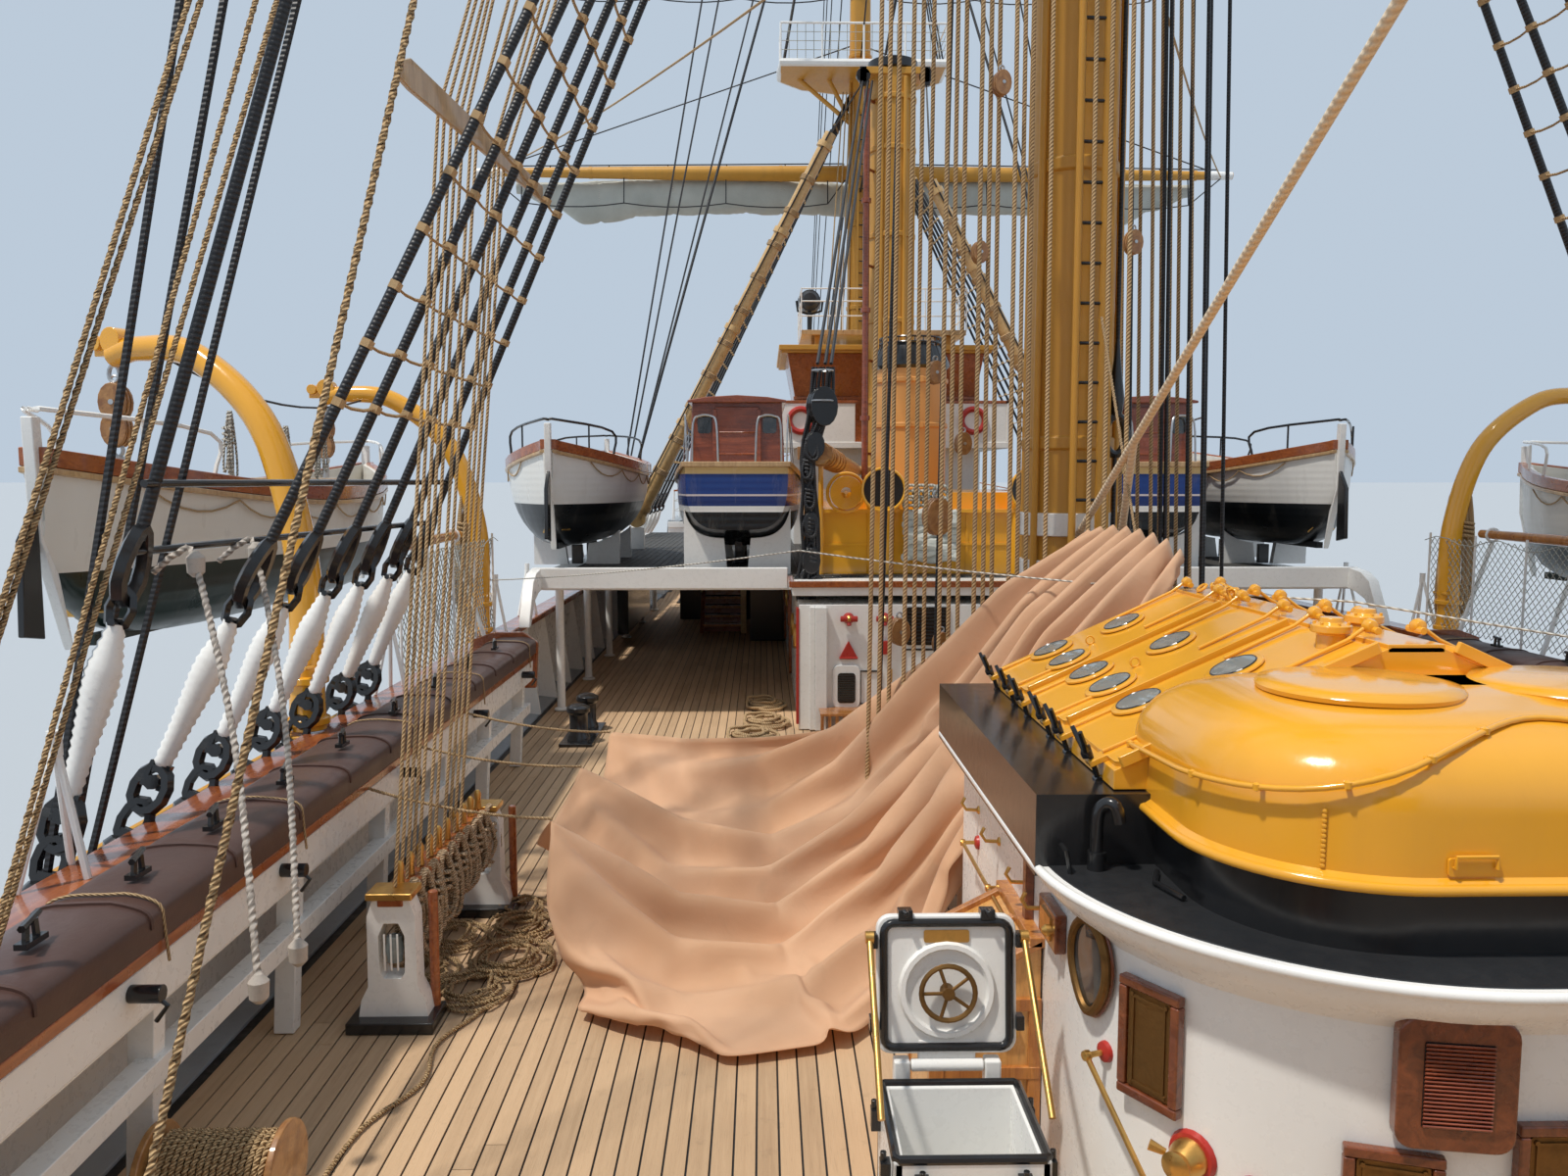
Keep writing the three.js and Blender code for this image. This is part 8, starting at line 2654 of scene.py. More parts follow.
def make_wheelhouse():
    wood = []
    for h0, h1, flare0, flare1 in ((4.7, 5.72, 0.0, 0.02), (5.72, 5.8, 0.05, 0.05), (5.8, 6.8, 0.02, 0.2)):
        rings = []
        for h, flare in ((h0, flare0), (h1, flare1)):
            x0, x1, y = 10.85 - flare, 14.5 + flare, 2.15 + flare
            rings.append([(x0, -y, DECK + h), (x0, y, DECK + h), (x1 - 0.8, y, DECK + h),
                          (x1, y - 0.8, DECK + h), (x1, 0.8 - y, DECK + h), (x1 - 0.8, -y, DECK + h)])
        wood.append(loft(rings))
    wood += [box((10.3, 10.4), (-2.9, -0.7), (DECK + 5.6, DECK + 5.67)),
             box((10.3, 10.4), (0.7, 2.9), (DECK + 5.6, DECK + 5.67)),
             box((10.3, 15.1), (2.8, 2.9), (DECK + 5.6, DECK + 5.67)),
             box((10.3, 15.1), (-2.9, -2.8), (DECK + 5.6, DECK + 5.67))]
    piece("wheelhouse", wood, RAIL_WOOD, bevel=0.015)
    glass, ochre = [], []
    lean = 0.18
    for y in (-1.75, -1.05, -0.35, 0.35, 1.05, 1.75):
        glass.append(framed(board(0.56, 0.72, 0.03, 0.04), (10.78, y, DECK + 6.3), (0, -1, 0),
                            (-lean, 0, 1), (-1, 0, -lean)))
    for s in (1, -1):
        for x in (11.3, 12.05, 12.8, 13.5):
            glass.append(framed(board(0.6, 0.72, 0.03, 0.04), (x, s * 2.22, DECK + 6.3), (-s, 0, 0),
                                (0, s * lean, 1), (0, s, -lean)))
    for y in (-0.9, 0, 0.9):
        glass.append(framed(board(0.7, 0.72, 0.03, 0.04), (14.58, y, DECK + 6.3), (0, 1, 0), (lean, 0, 1),
                            (1, 0, -lean)))
    piece("wheelhouse_windows", glass, GLASS)
    ochre += [box((10.5, 14.9), (-2.5, 2.5), (DECK + 6.8, DECK + 6.9)),
              box((10.44, 14.96), (-2.55, 2.55), (DECK + 6.86, DECK + 6.98))]
    ochre += [box((x - 0.07, x + 0.07), (y - 0.07, y + 0.07), (DECK + 6.9, DECK + 7.3))
              for x in (11.5, 13.3) for y in (-1.6, 1.6)]
    piece("wheelhouse_roof", ochre, OCHRE, bevel=0.015)


def make_compass_platform():
    """The platform over the wheelhouse with its rails and fittings, and the bridge's lifebuoys."""
    deck = [box((11.2, 13.6), (-2.0, 2.0), (DECK + 7.3, DECK + 7.42))]
    heights = (7.75, 8.1, 8.4)
    rails = [[(11.2, y, DECK + h) for y in (-2, 2)] for h in heights]
    rails += [[(x, y, DECK + h) for x in (11.2, 13.6)] for y in (-2, 2) for h in heights]
    rails += [[(x, y, DECK + 7.4), (x, y, DECK + 8.42)] for x in (11.2, 12.4, 13.6)
              for y in (-2, -1, 0, 1, 2) if x != 12.4 or abs(y) == 2]
    piece("compass_platform", deck, PALE_WOOD, bevel=0.01)
    lines("platform_rails", rails, 0.035, WHITE, sides=6)
    fork_side = ((1.42, 8.3), (1.45, 8.05), (1.75, 7.96), (2.05, 8.05), (2.08, 8.3))
    fork = [(12.5, y, DECK + h) for y, h in fork_side]
    lamp = [bar((12.35, 1.75, DECK + 8.3), (12.72, 1.75, DECK + 8.3), 0.26, 0.30, 24),
            turned([(0.0, -0.16), (0.16, -0.13), (0.25, 0.0)], (12.36, 1.75, DECK + 8.3), (1, 0, 0), 24),
            bar((12.5, 1.75, DECK + 7.4), (12.5, 1.75, DECK + 8.02), 0.06), tube(fork, 0.03)]
    piece("searchlight", lamp, ROOF_GREY)
    binnacle = [turned([(0.22, 7.42), (0.2, 8.3), (0.28, 8.35), (0.26, 8.5), (0.0, 8.7)], (12.3, 0, DECK),
                       sides=18)]
    piece("platform_binnacle", binnacle, WHITE)
    rings = [hoop((10.3, y, DECK + 5.2), (1, 0, 0), 0.27, 0.07, 26, 8) for y in (2.04, -2.04)]
    piece("lifebuoys", rings, RED)


# The awning that is being set beside the deckhouse

AWNING_LENGTH, AWNING_WIDTH = 7.2, 5.6  # as cut: down from the ridge, and along the ship
AWNING_STEP = 0.1
AWNING_FOLDS = 8
AWNING_FRAMES = 70
AWNING_ROWS = (
    # down the cloth, then (x, y, height) from the after edge to the forward edge
    (0.00, ((-8.35, -0.32, 3.16), (-8.0, -0.2, 3.26), (-7.6, -0.05, 3.3), (-7.2, 0.12, 3.22))),
    (0.14, ((-8.50, 0.90, 2.70), (-8.0, 0.85, 2.80), (-7.4, 0.82, 2.85), (-6.8, 0.85, 2.80))),
    (0.28, ((-8.70, 1.85, 2.15), (-8.0, 1.75, 2.0), (-7.2, 1.68, 2.0), (-6.35, 1.6, 2.1))),
    (0.45, ((-9.40, 2.10, 0.9), (-8.3, 2.25, 0.95), (-7.1, 2.3, 1.1), (-5.95, 2.2, 1.6))),
    (0.62, ((-10.0, 2.45, 0.06), (-8.7, 2.75, 0.2), (-7.1, 2.9, 0.6), (-5.75, 3.0, 1.35))),
    (0.80, ((-10.15, 3.35, 0.06), (-8.9, 3.65, 0.3), (-7.1, 3.75, 0.7), (-5.65, 3.75, 1.2))),
    (1.00, ((-9.60, 4.40, 0.06), (-8.6, 4.5, 1.25), (-7.1, 4.6, 1.2), (-5.6, 4.5, 1.25))),
)
AWNING_HOLDS = (0.35, 0.66, 1.0)  # shares along the port edge where lanyards hold it up


def deck_height(x):
    return frame_at(x)["deck"]


def resampled(points, count):
    points = np.asarray(points, float)
    gone = np.concatenate([[0], np.cumsum(np.linalg.norm(np.diff(points, axis=0), axis=1))])
    places = np.linspace(0, gone[-1], count)
    return np.stack([np.interp(places, gone, points[:, k]) for k in range(3)], 1), gone[-1]


def gathered(points, normals, length, folds):
    """A row of points pushed to and fro along normals until it is as long as it was cut."""
    count = len(points)
    wave = np.sin(np.linspace(0, 2 * math.pi * folds, count)) * np.minimum(1, np.arange(count) / 4 + 0.3)
    low, high = 0.0, 1.0
    for _ in range(30):
        depth = (low + high) / 2
        row = points + normals * (wave * depth)[:, None]
        if np.linalg.norm(np.diff(row, axis=0), axis=1).sum() < length:
            low = depth
        else:
            high = depth
    return row


def awning_start(down, along):
    """The cloth as it is let go: gathered at the ridge and spread over the deck."""
    shares = [row[0] for row in AWNING_ROWS]
    rows = np.array([resampled(curve([(x, y, deck_height(x) + h) for x, y, h in row[1]], 8), along)[0]
                     for row in AWNING_ROWS])
    grid = np.empty((down, along, 3))
    places = np.linspace(0, 1, down)
    for j in range(along):
        for k in range(3):
            grid[:, j, k] = np.interp(places, shares, rows[:, j, k])
    ahead = np.gradient(grid, axis=1)
    below = np.gradient(grid, axis=0)
    normals = np.cross(below, ahead)
    normals /= np.linalg.norm(normals, axis=2)[:, :, None]
    normals *= np.sign(normals[:, :, 2:3] + 1e-9)
    for i in range(down):
        grid[i] = gathered(grid[i], normals[i], AWNING_WIDTH, AWNING_FOLDS)
    grid[:, :, 2] = np.maximum(grid[:, :, 2], DECK + 0.1)
    return grid


def hard_shapes():
    """What the awning lies on and against: deck, deckhouse, skylight and mast."""
    deck = box((-14, -2), (0.5, 6.5), (DECK - 0.6, DECK + 0.035))
    house = stacked([(-0.2, 0.1), (ROOF_LOW, 0.1), (ROOF_LOW, 0.0), (ROOF_TOP, 0.0)], house_outline)
    half = EAVES_Y - MIDDLE + 0.06
    lids = prism([(MIDDLE - half, DECK + 1.5), (MIDDLE + half, DECK + 1.5),
                  (MIDDLE + half, DECK + EAVES_H + 0.08),
                  (RIDGE_Y, DECK + RIDGE_H + 0.12), (MIDDLE - half, DECK + EAVES_H + 0.08)], -12.9,
                 HOUSE_FORE + 0.05, 0)
    mast = bar((-6.0, 0, DECK - 0.5), (-6.0, 0, DECK + 5), 0.5, sides=16)
    hatch = box((-13.2, -11.3), (1.7, 2.75), (DECK - 0.2, DECK + 1.0))
    return deck, house, lids, mast, hatch


def settled(start, flat, held, faces, frames):
    """Where the cloth comes to rest, from where it is let go. Held points stay where they are."""
    scene = bpy.context.scene
    made = []
    for shape in hard_shapes():
        mesh = bpy.data.meshes.new("hard")
        mesh.from_pydata(shape[0].tolist(), [], shape[1])
        item = bpy.data.objects.new("hard", mesh)
        scene.collection.objects.link(item)
        item.modifiers.new("hard", "COLLISION")
        item.collision.thickness_outer = 0.02
        item.collision.cloth_friction = 12
        made.append(item)
    mesh = bpy.data.meshes.new("cloth")
    mesh.from_pydata(start.tolist(), [], faces)
    item = bpy.data.objects.new("cloth", mesh)
    scene.collection.objects.link(item)
    item.shape_key_add(name="let go")
    lying = item.shape_key_add(name="flat")
    lying.data.foreach_set("co", flat.ravel())
    lying.value = 0.0
    item.vertex_groups.new(name="held").add([int(i) for i in held], 1.0, "REPLACE")
    modifier = item.modifiers.new("cloth", "CLOTH")
    settings = modifier.settings
    settings.quality = 7
    settings.mass = 0.35
    settings.tension_stiffness = 20
    settings.compression_stiffness = 12
    settings.shear_stiffness = 6
    settings.bending_stiffness = 0.9
    settings.air_damping = 2.5
    settings.vertex_group_mass = "held"
    settings.rest_shape_key = lying
    crashes = modifier.collision_settings
    crashes.distance_min = 0.02
    crashes.use_self_collision = True
    crashes.self_distance_min = 0.022
    crashes.collision_quality = 3
    modifier.point_cache.frame_start = 1
    modifier.point_cache.frame_end = frames
    for frame_number in range(1, frames + 1):
        scene.frame_set(frame_number)
    shape = item.evaluated_get(bpy.context.evaluated_depsgraph_get()).data
    rest = np.empty(len(start) * 3)
    shape.vertices.foreach_get("co", rest)
    for thing in (item, *made):
        bpy.data.objects.remove(thing)
    scene.frame_set(1)
    return rest.reshape(-1, 3)


def make_awning():
    down, along = round(AWNING_LENGTH / AWNING_STEP) + 1, round(AWNING_WIDTH / AWNING_STEP) + 1
    start = awning_start(down, along).reshape(-1, 3)
    u, v = np.meshgrid(np.linspace(0, AWNING_LENGTH, down), np.linspace(0, AWNING_WIDTH, along),
                       indexing="ij")
    flat = np.stack([u, v, np.zeros_like(u)], 2).reshape(-1, 3)
    faces = [(i * along + j, i * along + j + 1, (i + 1) * along + j + 1, (i + 1) * along + j)
             for i in range(down - 1) for j in range(along - 1)]
    holds = [(down - 1) * along + round(share * (along - 1)) for share in AWNING_HOLDS]
    held = [*range(along), *(h + k for h in holds for k in (-1, 0))]
    rest = settled(start, flat, held, faces, AWNING_FRAMES)
    mesh = bpy.data.meshes.new("awning_cloth")
    mesh.from_pydata((rest * MODEL).tolist(), [], faces)
    item = placed("awning_cloth", mesh, AWNING, "ship", ("awning",), angle=180, soft=1)
    thick = item.modifiers.new("thickness", "SOLIDIFY")
    thick.thickness = 0.006 * MODEL
    thick.offset = 0
    ties = []
    for hold in holds:
        tie = rest[hold]
        rail = np.array((tie[0] + 0.25, frame_at(tie[0])["edge"] - LEAN * 1.5 - 0.5,
                         deck_height(tie[0]) + 1.52))
        ties.append(sagging(tie, rail, 0.08, 8))
    ties.append(sagging(rest[round(along * 0.5)] + (0, 0, 0.02), (-7.1, 0.02, DECK + 5.2), 0.0, 2))
    laid_ropes("awning_lanyards", ties, 0.028, MANILA, steps=5, sides=6)


# Running rigging, pin rails, coils and the gear about the bulwarks


def annulus(outer, inner, low, high, axis=2):
    """A flat ring of material between two outlines of equally many points."""
    order = {0: (2, 0, 1), 1: (0, 2, 1), 2: (0, 1, 2)}[axis]
    rings = []
    for outline, level in ((outer, low), (outer, high), (inner, high), (inner, low), (outer, low)):
        rings.append([tuple((a, b, level)[k] for k in order) for a, b in outline])
    return outward(loft(rings, caps=False))


def hank(place, drop, turns, draw, along_axis=(1, 0, 0), width=0.09):
    """Loops of rope hung on a pin, with a few turns round their neck."""
    routes = []
    place = np.array(place, float)
    u = np.array(along_axis, float)
    v = np.cross((0, 0, 1), u)
    for _ in range(turns):
        wide = width * draw.uniform(0.6, 1.2)
        fall = drop * draw.uniform(0.86, 1.05)
        out = 0.03 + 0.05 * draw.uniform(-1, 1)
        skew = 0.05 * draw.uniform(-1, 1)
        loop = []
        for i in range(17):
            a = 2 * math.pi * i / 16
            down = fall * (0.5 - 0.5 * math.cos(a))
            spread = wide * math.sin(a) * (0.35 + 0.75 * down / fall)
            loop.append(place + u * (spread + skew * down / fall) + v * (out * (0.4 + down / fall))
                        - (0, 0, down))
        routes.append(loop)
    neck = place - np.array((0, 0, drop * 0.22))
    routes.append([neck + u * 0.07 * math.cos(a) + v * (0.03 + 0.05 * math.sin(a)) - (0, 0, 0.006 * i)
                   for i, a in enumerate(np.linspace(0, 2 * math.pi * 3.5, 36))])
    return routes


def coil_on_deck(centre, radius, turns, draw, thick=0.03):
    """A loose heap of rope, laid in overlapping turns."""
    route = []
    count = turns * 20
    for i in range(count):
        a = 2 * math.pi * i / 20
        turn = i / 20
        r = radius * (0.72 + 0.22 * math.sin(turn * 2.1) + 0.1 * math.sin(a * 3 + turn))
        x = centre[0] + r * math.cos(a) + 0.1 * radius * math.sin(turn * 1.7)
        y = centre[1] + r * math.sin(a) * 0.85 + 0.1 * radius * math.cos(turn * 2.3)
        z = deck_height(x) + thick * (0.6 + 0.75 * (turn % 3.3)) + 0.02 * draw.uniform(0, 1)
        route.append((x, y, z))
    return curve(route[::2], 2)


NEAR_ROPES = (
    # foot and head, from the rail to the tops
    ((-12.91, 6.35, 1.72), (-5.6, 2.66, 24.0)), ((-12.88, 6.35, 1.72), (-5.6, 2.45, 24.0)),
    ((-12.41, 6.25, 1.72), (-5.6, 2.61, 24.0)), ((-12.37, 6.25, 1.72), (-5.6, 2.17, 24.0)),
    ((-14.69, 4.9, 0.1), (-5.6, 2.17, 24.0)),
)
PIN_RAIL_FROM, PIN_RAIL_TO = (-9.33, 5.52), (-7.2, 5.42)
PIN_RAIL_HEIGHT = 0.92
RAIL_PINS = 10
RAIL_FALLS = (
    # share of the pin rail, share of the batten, y at the mast
    (0.01, 0.26, 1.0), (0.065, 0.295, 1.15), (0.12, 0.335, 1.3), (0.175, 0.37, 1.5), (0.235, 0.405, 1.7),
    (0.33, 0.455, 0.9),
    (0.40, 0.49, 0.7), (0.50, 0.585, 0.35), (0.565, 0.615, 0.2), (0.63, 0.645, 0.05), (0.70, 0.68, -0.1),
)


def pin_rail_spot(share):
    a, b = np.array(PIN_RAIL_FROM), np.array(PIN_RAIL_TO)
    x, y = a + (b - a) * share
    return np.array((x, y, deck_height(x) + PIN_RAIL_HEIGHT))


# Corners of the rail round the mainmast
MAST_RAIL = [(-6.0, 1.6), (-5.0, 1.6), (-4.6, 1.2), (-4.6, -1.2), (-5.0, -1.6), (-7.0, -1.6), (-7.4, -1.2),
             (-7.4, 1.2), (-7.0, 1.6)]


def pin_spots():
    """Where belaying pins stand: on the pin rail, on the rail round the mast, and on the bulwarks."""
    spots = [pin_rail_spot(0.06 + 0.098 * k) for k in range(RAIL_PINS)]
    for a, b in zip(MAST_RAIL, MAST_RAIL[1:] + MAST_RAIL[:1]):
        spots += [np.array((a[0] + (b[0] - a[0]) * t, a[1] + (b[1] - a[1]) * t, DECK + 1.0))
                  for t in (0.2, 0.5, 0.8)]
    for _, sign in SIDES:
        spots += [np.array(side_point(x, 0.12, 1.58, sign)) for x in spaced(-16.4, -12.0, 0.3)]
    return spots


def make_pin_rails():
    """The pin rail between its two posts by the deckhouse, and the rail round the mainmast."""
    start, end = pin_rail_spot(0), pin_rail_spot(1)
    white, black, brass, wood, glass = [], [], [], [], []
    for x, y, z in (start, end):
        low = z - PIN_RAIL_HEIGHT
        outer = [(y - 0.24, low + 0.08), (y - 0.22, low + 0.2), (y - 0.17, low + 0.3),
                 (y - 0.165, low + 0.8), (y - 0.12, low + 0.93),
                 (y + 0.12, low + 0.93), (y + 0.165, low + 0.8), (y + 0.17, low + 0.3),
                 (y + 0.22, low + 0.2), (y + 0.24, low + 0.08)]
        inner = [(y - 0.06, low + 0.36), (y - 0.085, low + 0.40), (y - 0.09, low + 0.5),
                 (y - 0.09, low + 0.66), (y - 0.05, low + 0.75),
                 (y + 0.05, low + 0.75), (y + 0.09, low + 0.66), (y + 0.09, low + 0.5),
                 (y + 0.085, low + 0.40), (y + 0.06, low + 0.36)]
        white.append(annulus(outer, inner, x - 0.09, x + 0.09, 0))
        black.append(box((x - 0.2, x + 0.16), (y - 0.3, y + 0.3), (low + 0.003, low + 0.085)))
        brass.append(box((x - 0.13, x + 0.12), (y - 0.16, y + 0.16), (low + 0.925, low + 0.975)))
        wood.append(bar((x + 0.1, y - 0.24, low), (x + 0.1, y - 0.24, low + 0.92), 0.035))
        glass.append(turned([(0.0, -0.11), (0.055, -0.09), (0.065, 0.0), (0.055, 0.09), (0.0, 0.11)],
                            (x - 0.02, y, low + 0.55), sides=14))
        white += [bar((x - 0.1, y + dy, low + 0.42), (x - 0.1, y + dy, low + 0.68), 0.008, sides=6)
                  for dy in (-0.045, 0, 0.045)]
    rails = [prism([(start[0] - 0.1, start[1] - 0.09), (end[0] + 0.1, end[1] - 0.09),
                    (end[0] + 0.1, end[1] + 0.09), (start[0] - 0.1, start[1] + 0.09)],
                   start[2] - 0.05, start[2] + 0.03)]
    for a, b in zip(MAST_RAIL, MAST_RAIL[1:] + MAST_RAIL[:1]):
        rails.append(bar((*a, DECK + 0.98), (*b, DECK + 0.98), 0.07, sides=8))
    white += [bar((x, y, DECK), (x, y, DECK + 0.95), 0.055) for x, y in MAST_RAIL]
    profile = [(0.0, -0.24), (0.016, -0.23), (0.019, 0.02), (0.032, 0.04),
               (0.024, 0.1), (0.03, 0.17), (0.018, 0.2), (0.0, 0.21)]
    pin = turned(profile, (0, 0, 0), sides=10)
    copies("belaying_pins", [pin], [(tuple(s),) for s in pin_spots()], BRASS)
    piece("pin_rail_posts", white, WHITE, bevel=0.014)
    piece("pin_rail_feet", black, BLACK, bevel=0.01)
    piece("pin_rail_caps", brass, BRASS, bevel=0.01)
    piece("pin_rails", rails + wood, RAIL_WOOD, bevel=0.012)
    piece("deck_lamps", glass, PORT_GLASS)


def make_coils():
    """Ropes hung in coils on the pins and laid in heaps on the deck."""
    draw = np.random.default_rng(3)
    spots = pin_spots()
    coils = []
    for spot in spots[:RAIL_PINS]:
        coils += hank(spot + (0, -0.11, 0.07), draw.uniform(0.42, 0.62), 5, draw, (0.8, -0.6, 0), 0.12)
    hidden = []
    for spot in spots[RAIL_PINS:RAIL_PINS + len(MAST_RAIL) * 3]:
        along_axis = (0, 1, 0) if abs(spot[0] + 6) > 1.2 else (1, 0, 0)
        hidden += hank(spot + (0, 0, 0.03), draw.uniform(0.45, 0.65), 3, draw, along_axis)
    laid_ropes("hung_coils", coils, 0.042, COIL_ROPE, steps=4, sides=5)
    lines("mast_rail_coils", hidden, 0.034, HEMP, sides=4)
    heaps = [coil_on_deck((x, y), r, n, draw) for x, y, r, n in (
        (-8.9, 5.1, 0.34, 6), (-8.35, 4.95, 0.38, 7), (-7.7, 5.0, 0.33, 6), (-8.6, 5.55, 0.3, 6),
        (-7.9, 5.5, 0.3, 5),
        (-7.3, 5.05, 0.28, 5))]
    pale = [coil_on_deck((x, y), r, n, draw, 0.05) for x, y, r, n in (
        (-1.3, 2.75, 0.5, 7), (-0.5, 3.1, 0.45, 6), (0.5, 2.9, 0.42, 6), (1.9, 2.9, 0.4, 5))]
    lines("pale_coils", pale, 0.05, MANILA, sides=6)
    loose = curve([(-8.9, 4.85, 0), (-9.3, 5.0, 0), (-9.7, 5.15, 0), (-10.2, 5.1, 0), (-10.7, 5.3, 0),
                   (-11.3, 5.35, 0)], 6)
    heaps.append([(p[0], p[1], deck_height(p[0]) + 0.022) for p in loose])
    laid_ropes("deck_coils", heaps, 0.032, steps=4, sides=6)


def make_drum():
    """A line reeled on a low wooden drum beside the bulwark."""
    x, y = -11.5, 5.75
    z = deck_height(x)
    ends = [bar((x, y - 0.36, z + 0.26), (x, y - 0.32, z + 0.26), 0.25, sides=28),
            bar((x, y + 0.30, z + 0.26), (x, y + 0.34, z + 0.26), 0.25, sides=28)]
    feet = [box((x - 0.28, x - 0.2), (y - 0.36, y + 0.34), (z + 0.003, z + 0.06)),
            box((x + 0.2, x + 0.28), (y - 0.36, y + 0.34), (z + 0.003, z + 0.06))]
    piece("line_drum", ends + feet, BLOCK_WOOD, bevel=0.01)
    turns = [(x + 0.19 * math.cos(a), y - 0.3 + 0.58 * (i / 400), z + 0.26 + 0.19 * math.sin(a))
             for i, a in enumerate(np.linspace(0, 2 * math.pi * 17, 401))]
    laid_ropes("drum_line", [turns], 0.036, steps=4, sides=6)


WIRE_FALLS = (
    # x, y at the deck, y aloft
    (-5.2, 1.15, 0.8), (-5.4, 1.75, 1.2), (-5.2, -0.91, -0.6), (-5.2, -1.24, -0.95), (-5.2, -1.29, -1.0),
    (-5.2, -1.52, -1.2), (-5.2, -1.68, -1.35), (-5.15, -1.72, -1.4), (-5.2, -1.9, -1.55),
)


def make_near_ropes():
    """Falls that lead up from the rails and the deck round each mast."""
    routes = [[np.array(a) + (0, 0, DECK), np.array(b) + (0, 0, DECK)] for a, b in NEAR_ROPES]
    straight = [[a, a + (b - a) * 0.5, b] for a, b in routes]
    laid_ropes("near_falls", straight, 0.034, steps=3, sides=5)
    lines("near_falls_starboard", [[p * (1, -1, 1) for p in r] for r in straight[:4]], 0.034, HEMP, sides=8)
    falls = []
    rail_falls = []
    for share, reach, head_y in RAIL_FALLS:
        fairlead = np.array((-8.98 + 2.98 * reach, 5.5 - 0.5 * reach, DECK + 6.6 - 0.2 * reach))
        rail_falls.append([pin_rail_spot(share) + (0, 0, 0.03), fairlead,
                           np.array((-5.7, head_y, DECK + 23))])
    lines("rail_falls", rail_falls, 0.026, HEMP, sides=7)
    for x, y, head_y, height in MAST_ROPES:
        falls.append([(x, y, DECK + 1.0), (x + 0.25, head_y, DECK + height)])
    # Falls at the fore and mizzen masts; the forward ones end below the lowest yard
    for mast, front, top in (("fore", 17.2, 19.9), ("fore", 20.2, 16.0), ("mizzen", -24.2, 13.2)):
        deck = frame_at(front)["deck"] + (RAISED if mast == "mizzen" else 0)
        for y in (-1.5, -1.2, -0.9, -0.6, 0.6, 0.9, 1.2, 1.5):
            falls.append([(front, y, deck + 0.9),
                          (front * 0.2 + mast_named(mast)["x"] * 0.8, y * 0.35, top)])
    lines("running_falls", falls, 0.04, HEMP, sides=8)
    dark = [[(x, y, DECK + 1.0), (x + 0.3, head_y, DECK + 24)] for x, y, head_y in WIRE_FALLS]
    lines("wire_falls", dark, 0.04, WIRE, sides=6)


HANGING_BLOCKS = (
    # x, y, height above the deck, size
    (-6.8, 0.86, 7.35, 0.22), (-6.8, 1.03, 5.9, 0.2), (-6.8, -0.33, 6.0, 0.22), (-5.1, 1.12, 3.62, 0.4),
    (-5.05, 1.5, 2.35, 0.3), (-6.6, -0.72, 2.4, 0.26), (-6.4, 1.35, 4.9, 0.22), (-5.05, 0.85, 4.3, 0.24),
    (-5.05, 1.05, 2.2, 0.26),
)


def make_hanging_blocks():
    wood, iron = [], []
    for x, y, height, size in HANGING_BLOCKS:
        wood += wooden_block((x, y, DECK + height), size, (1, 0.25, 0))
        iron += block_metal((x, y, DECK + height), size, (1, 0.25, 0))
    piece("hanging_blocks", wood, BLOCK_WOOD, bevel=0.014)
    piece("block_irons", iron, STEEL)


def make_mast_dressing():
    """A served splice on its pendant, the mainmast's white bands and the wooden fairlead by the shrouds."""
    x, y = -6.3, -0.37
    loop = [(x, y + 0.1 * math.sin(a), DECK + 4.22 + 0.18 * math.cos(a))
            for a in np.linspace(0, 2 * math.pi, 25)[:-1]]
    neck = turned([(0.02, 5.1), (0.03, 4.95), (0.075, 4.55), (0.06, 4.45), (0.05, 4.4)], (x, y, DECK),
                  sides=14)
    piece("served_splice", [neck, tube(loop, 0.04, 8, closed=True)], BLACK)
    pendant = [[(x, y, DECK + 5.05), (-6.1, -0.4, DECK + 22)], [(x, y, DECK + 4.05), (x, y, DECK + 1.0)]]
    lines("splice_pendant", pendant, 0.04, WIRE, sides=6)
    bands = [turned([(0.44, h), (0.455, h + 0.01), (0.455, h + 0.21), (0.44, h + 0.22)], (-6.0, 0, DECK),
                    sides=40) for h in (2.82, 3.27)]
    piece("mast_bands", bands, WHITE)
    batten = [prism([(-8.98, -0.09), (-8.8, -0.11), (-6.0, -0.07), (-6.0, 0.07), (-8.8, 0.11),
                     (-8.98, 0.02)], -0.02, 0.02, 1)]
    batten = [moved(swung(swung(b, 3.0, (0, 1, 0), (-8.9, 0, 0)), -8, (0, 0, 1), (-8.9, 0, 0)),
                    (0, 5.42, DECK + 6.62)) for b in batten]
    piece("fairlead_batten", batten, PALE_WOOD, bevel=0.01)


MAST_ROPES = [
    # x, y at the rail, y aloft, height aloft
    *[(-6.9 + 0.12 * (k % 3), 2.0 - 0.105 * k, 1.75 - 0.085 * k, 20 + 1.5 * (k % 5)) for k in range(15)],
    *[(-6.95, 0.42, 0.46, 20), (-6.9, 0.02, 0.1, 22), (-6.9, -0.12, -0.05, 22), (-6.95, -0.3, -0.2, 20)],
    *[(-5.2 + 0.05 * (k % 4), -0.73 - 0.105 * k, -0.45 - 0.09 * k, 20 + 1.5 * (k % 4)) for k in range(9)],
]


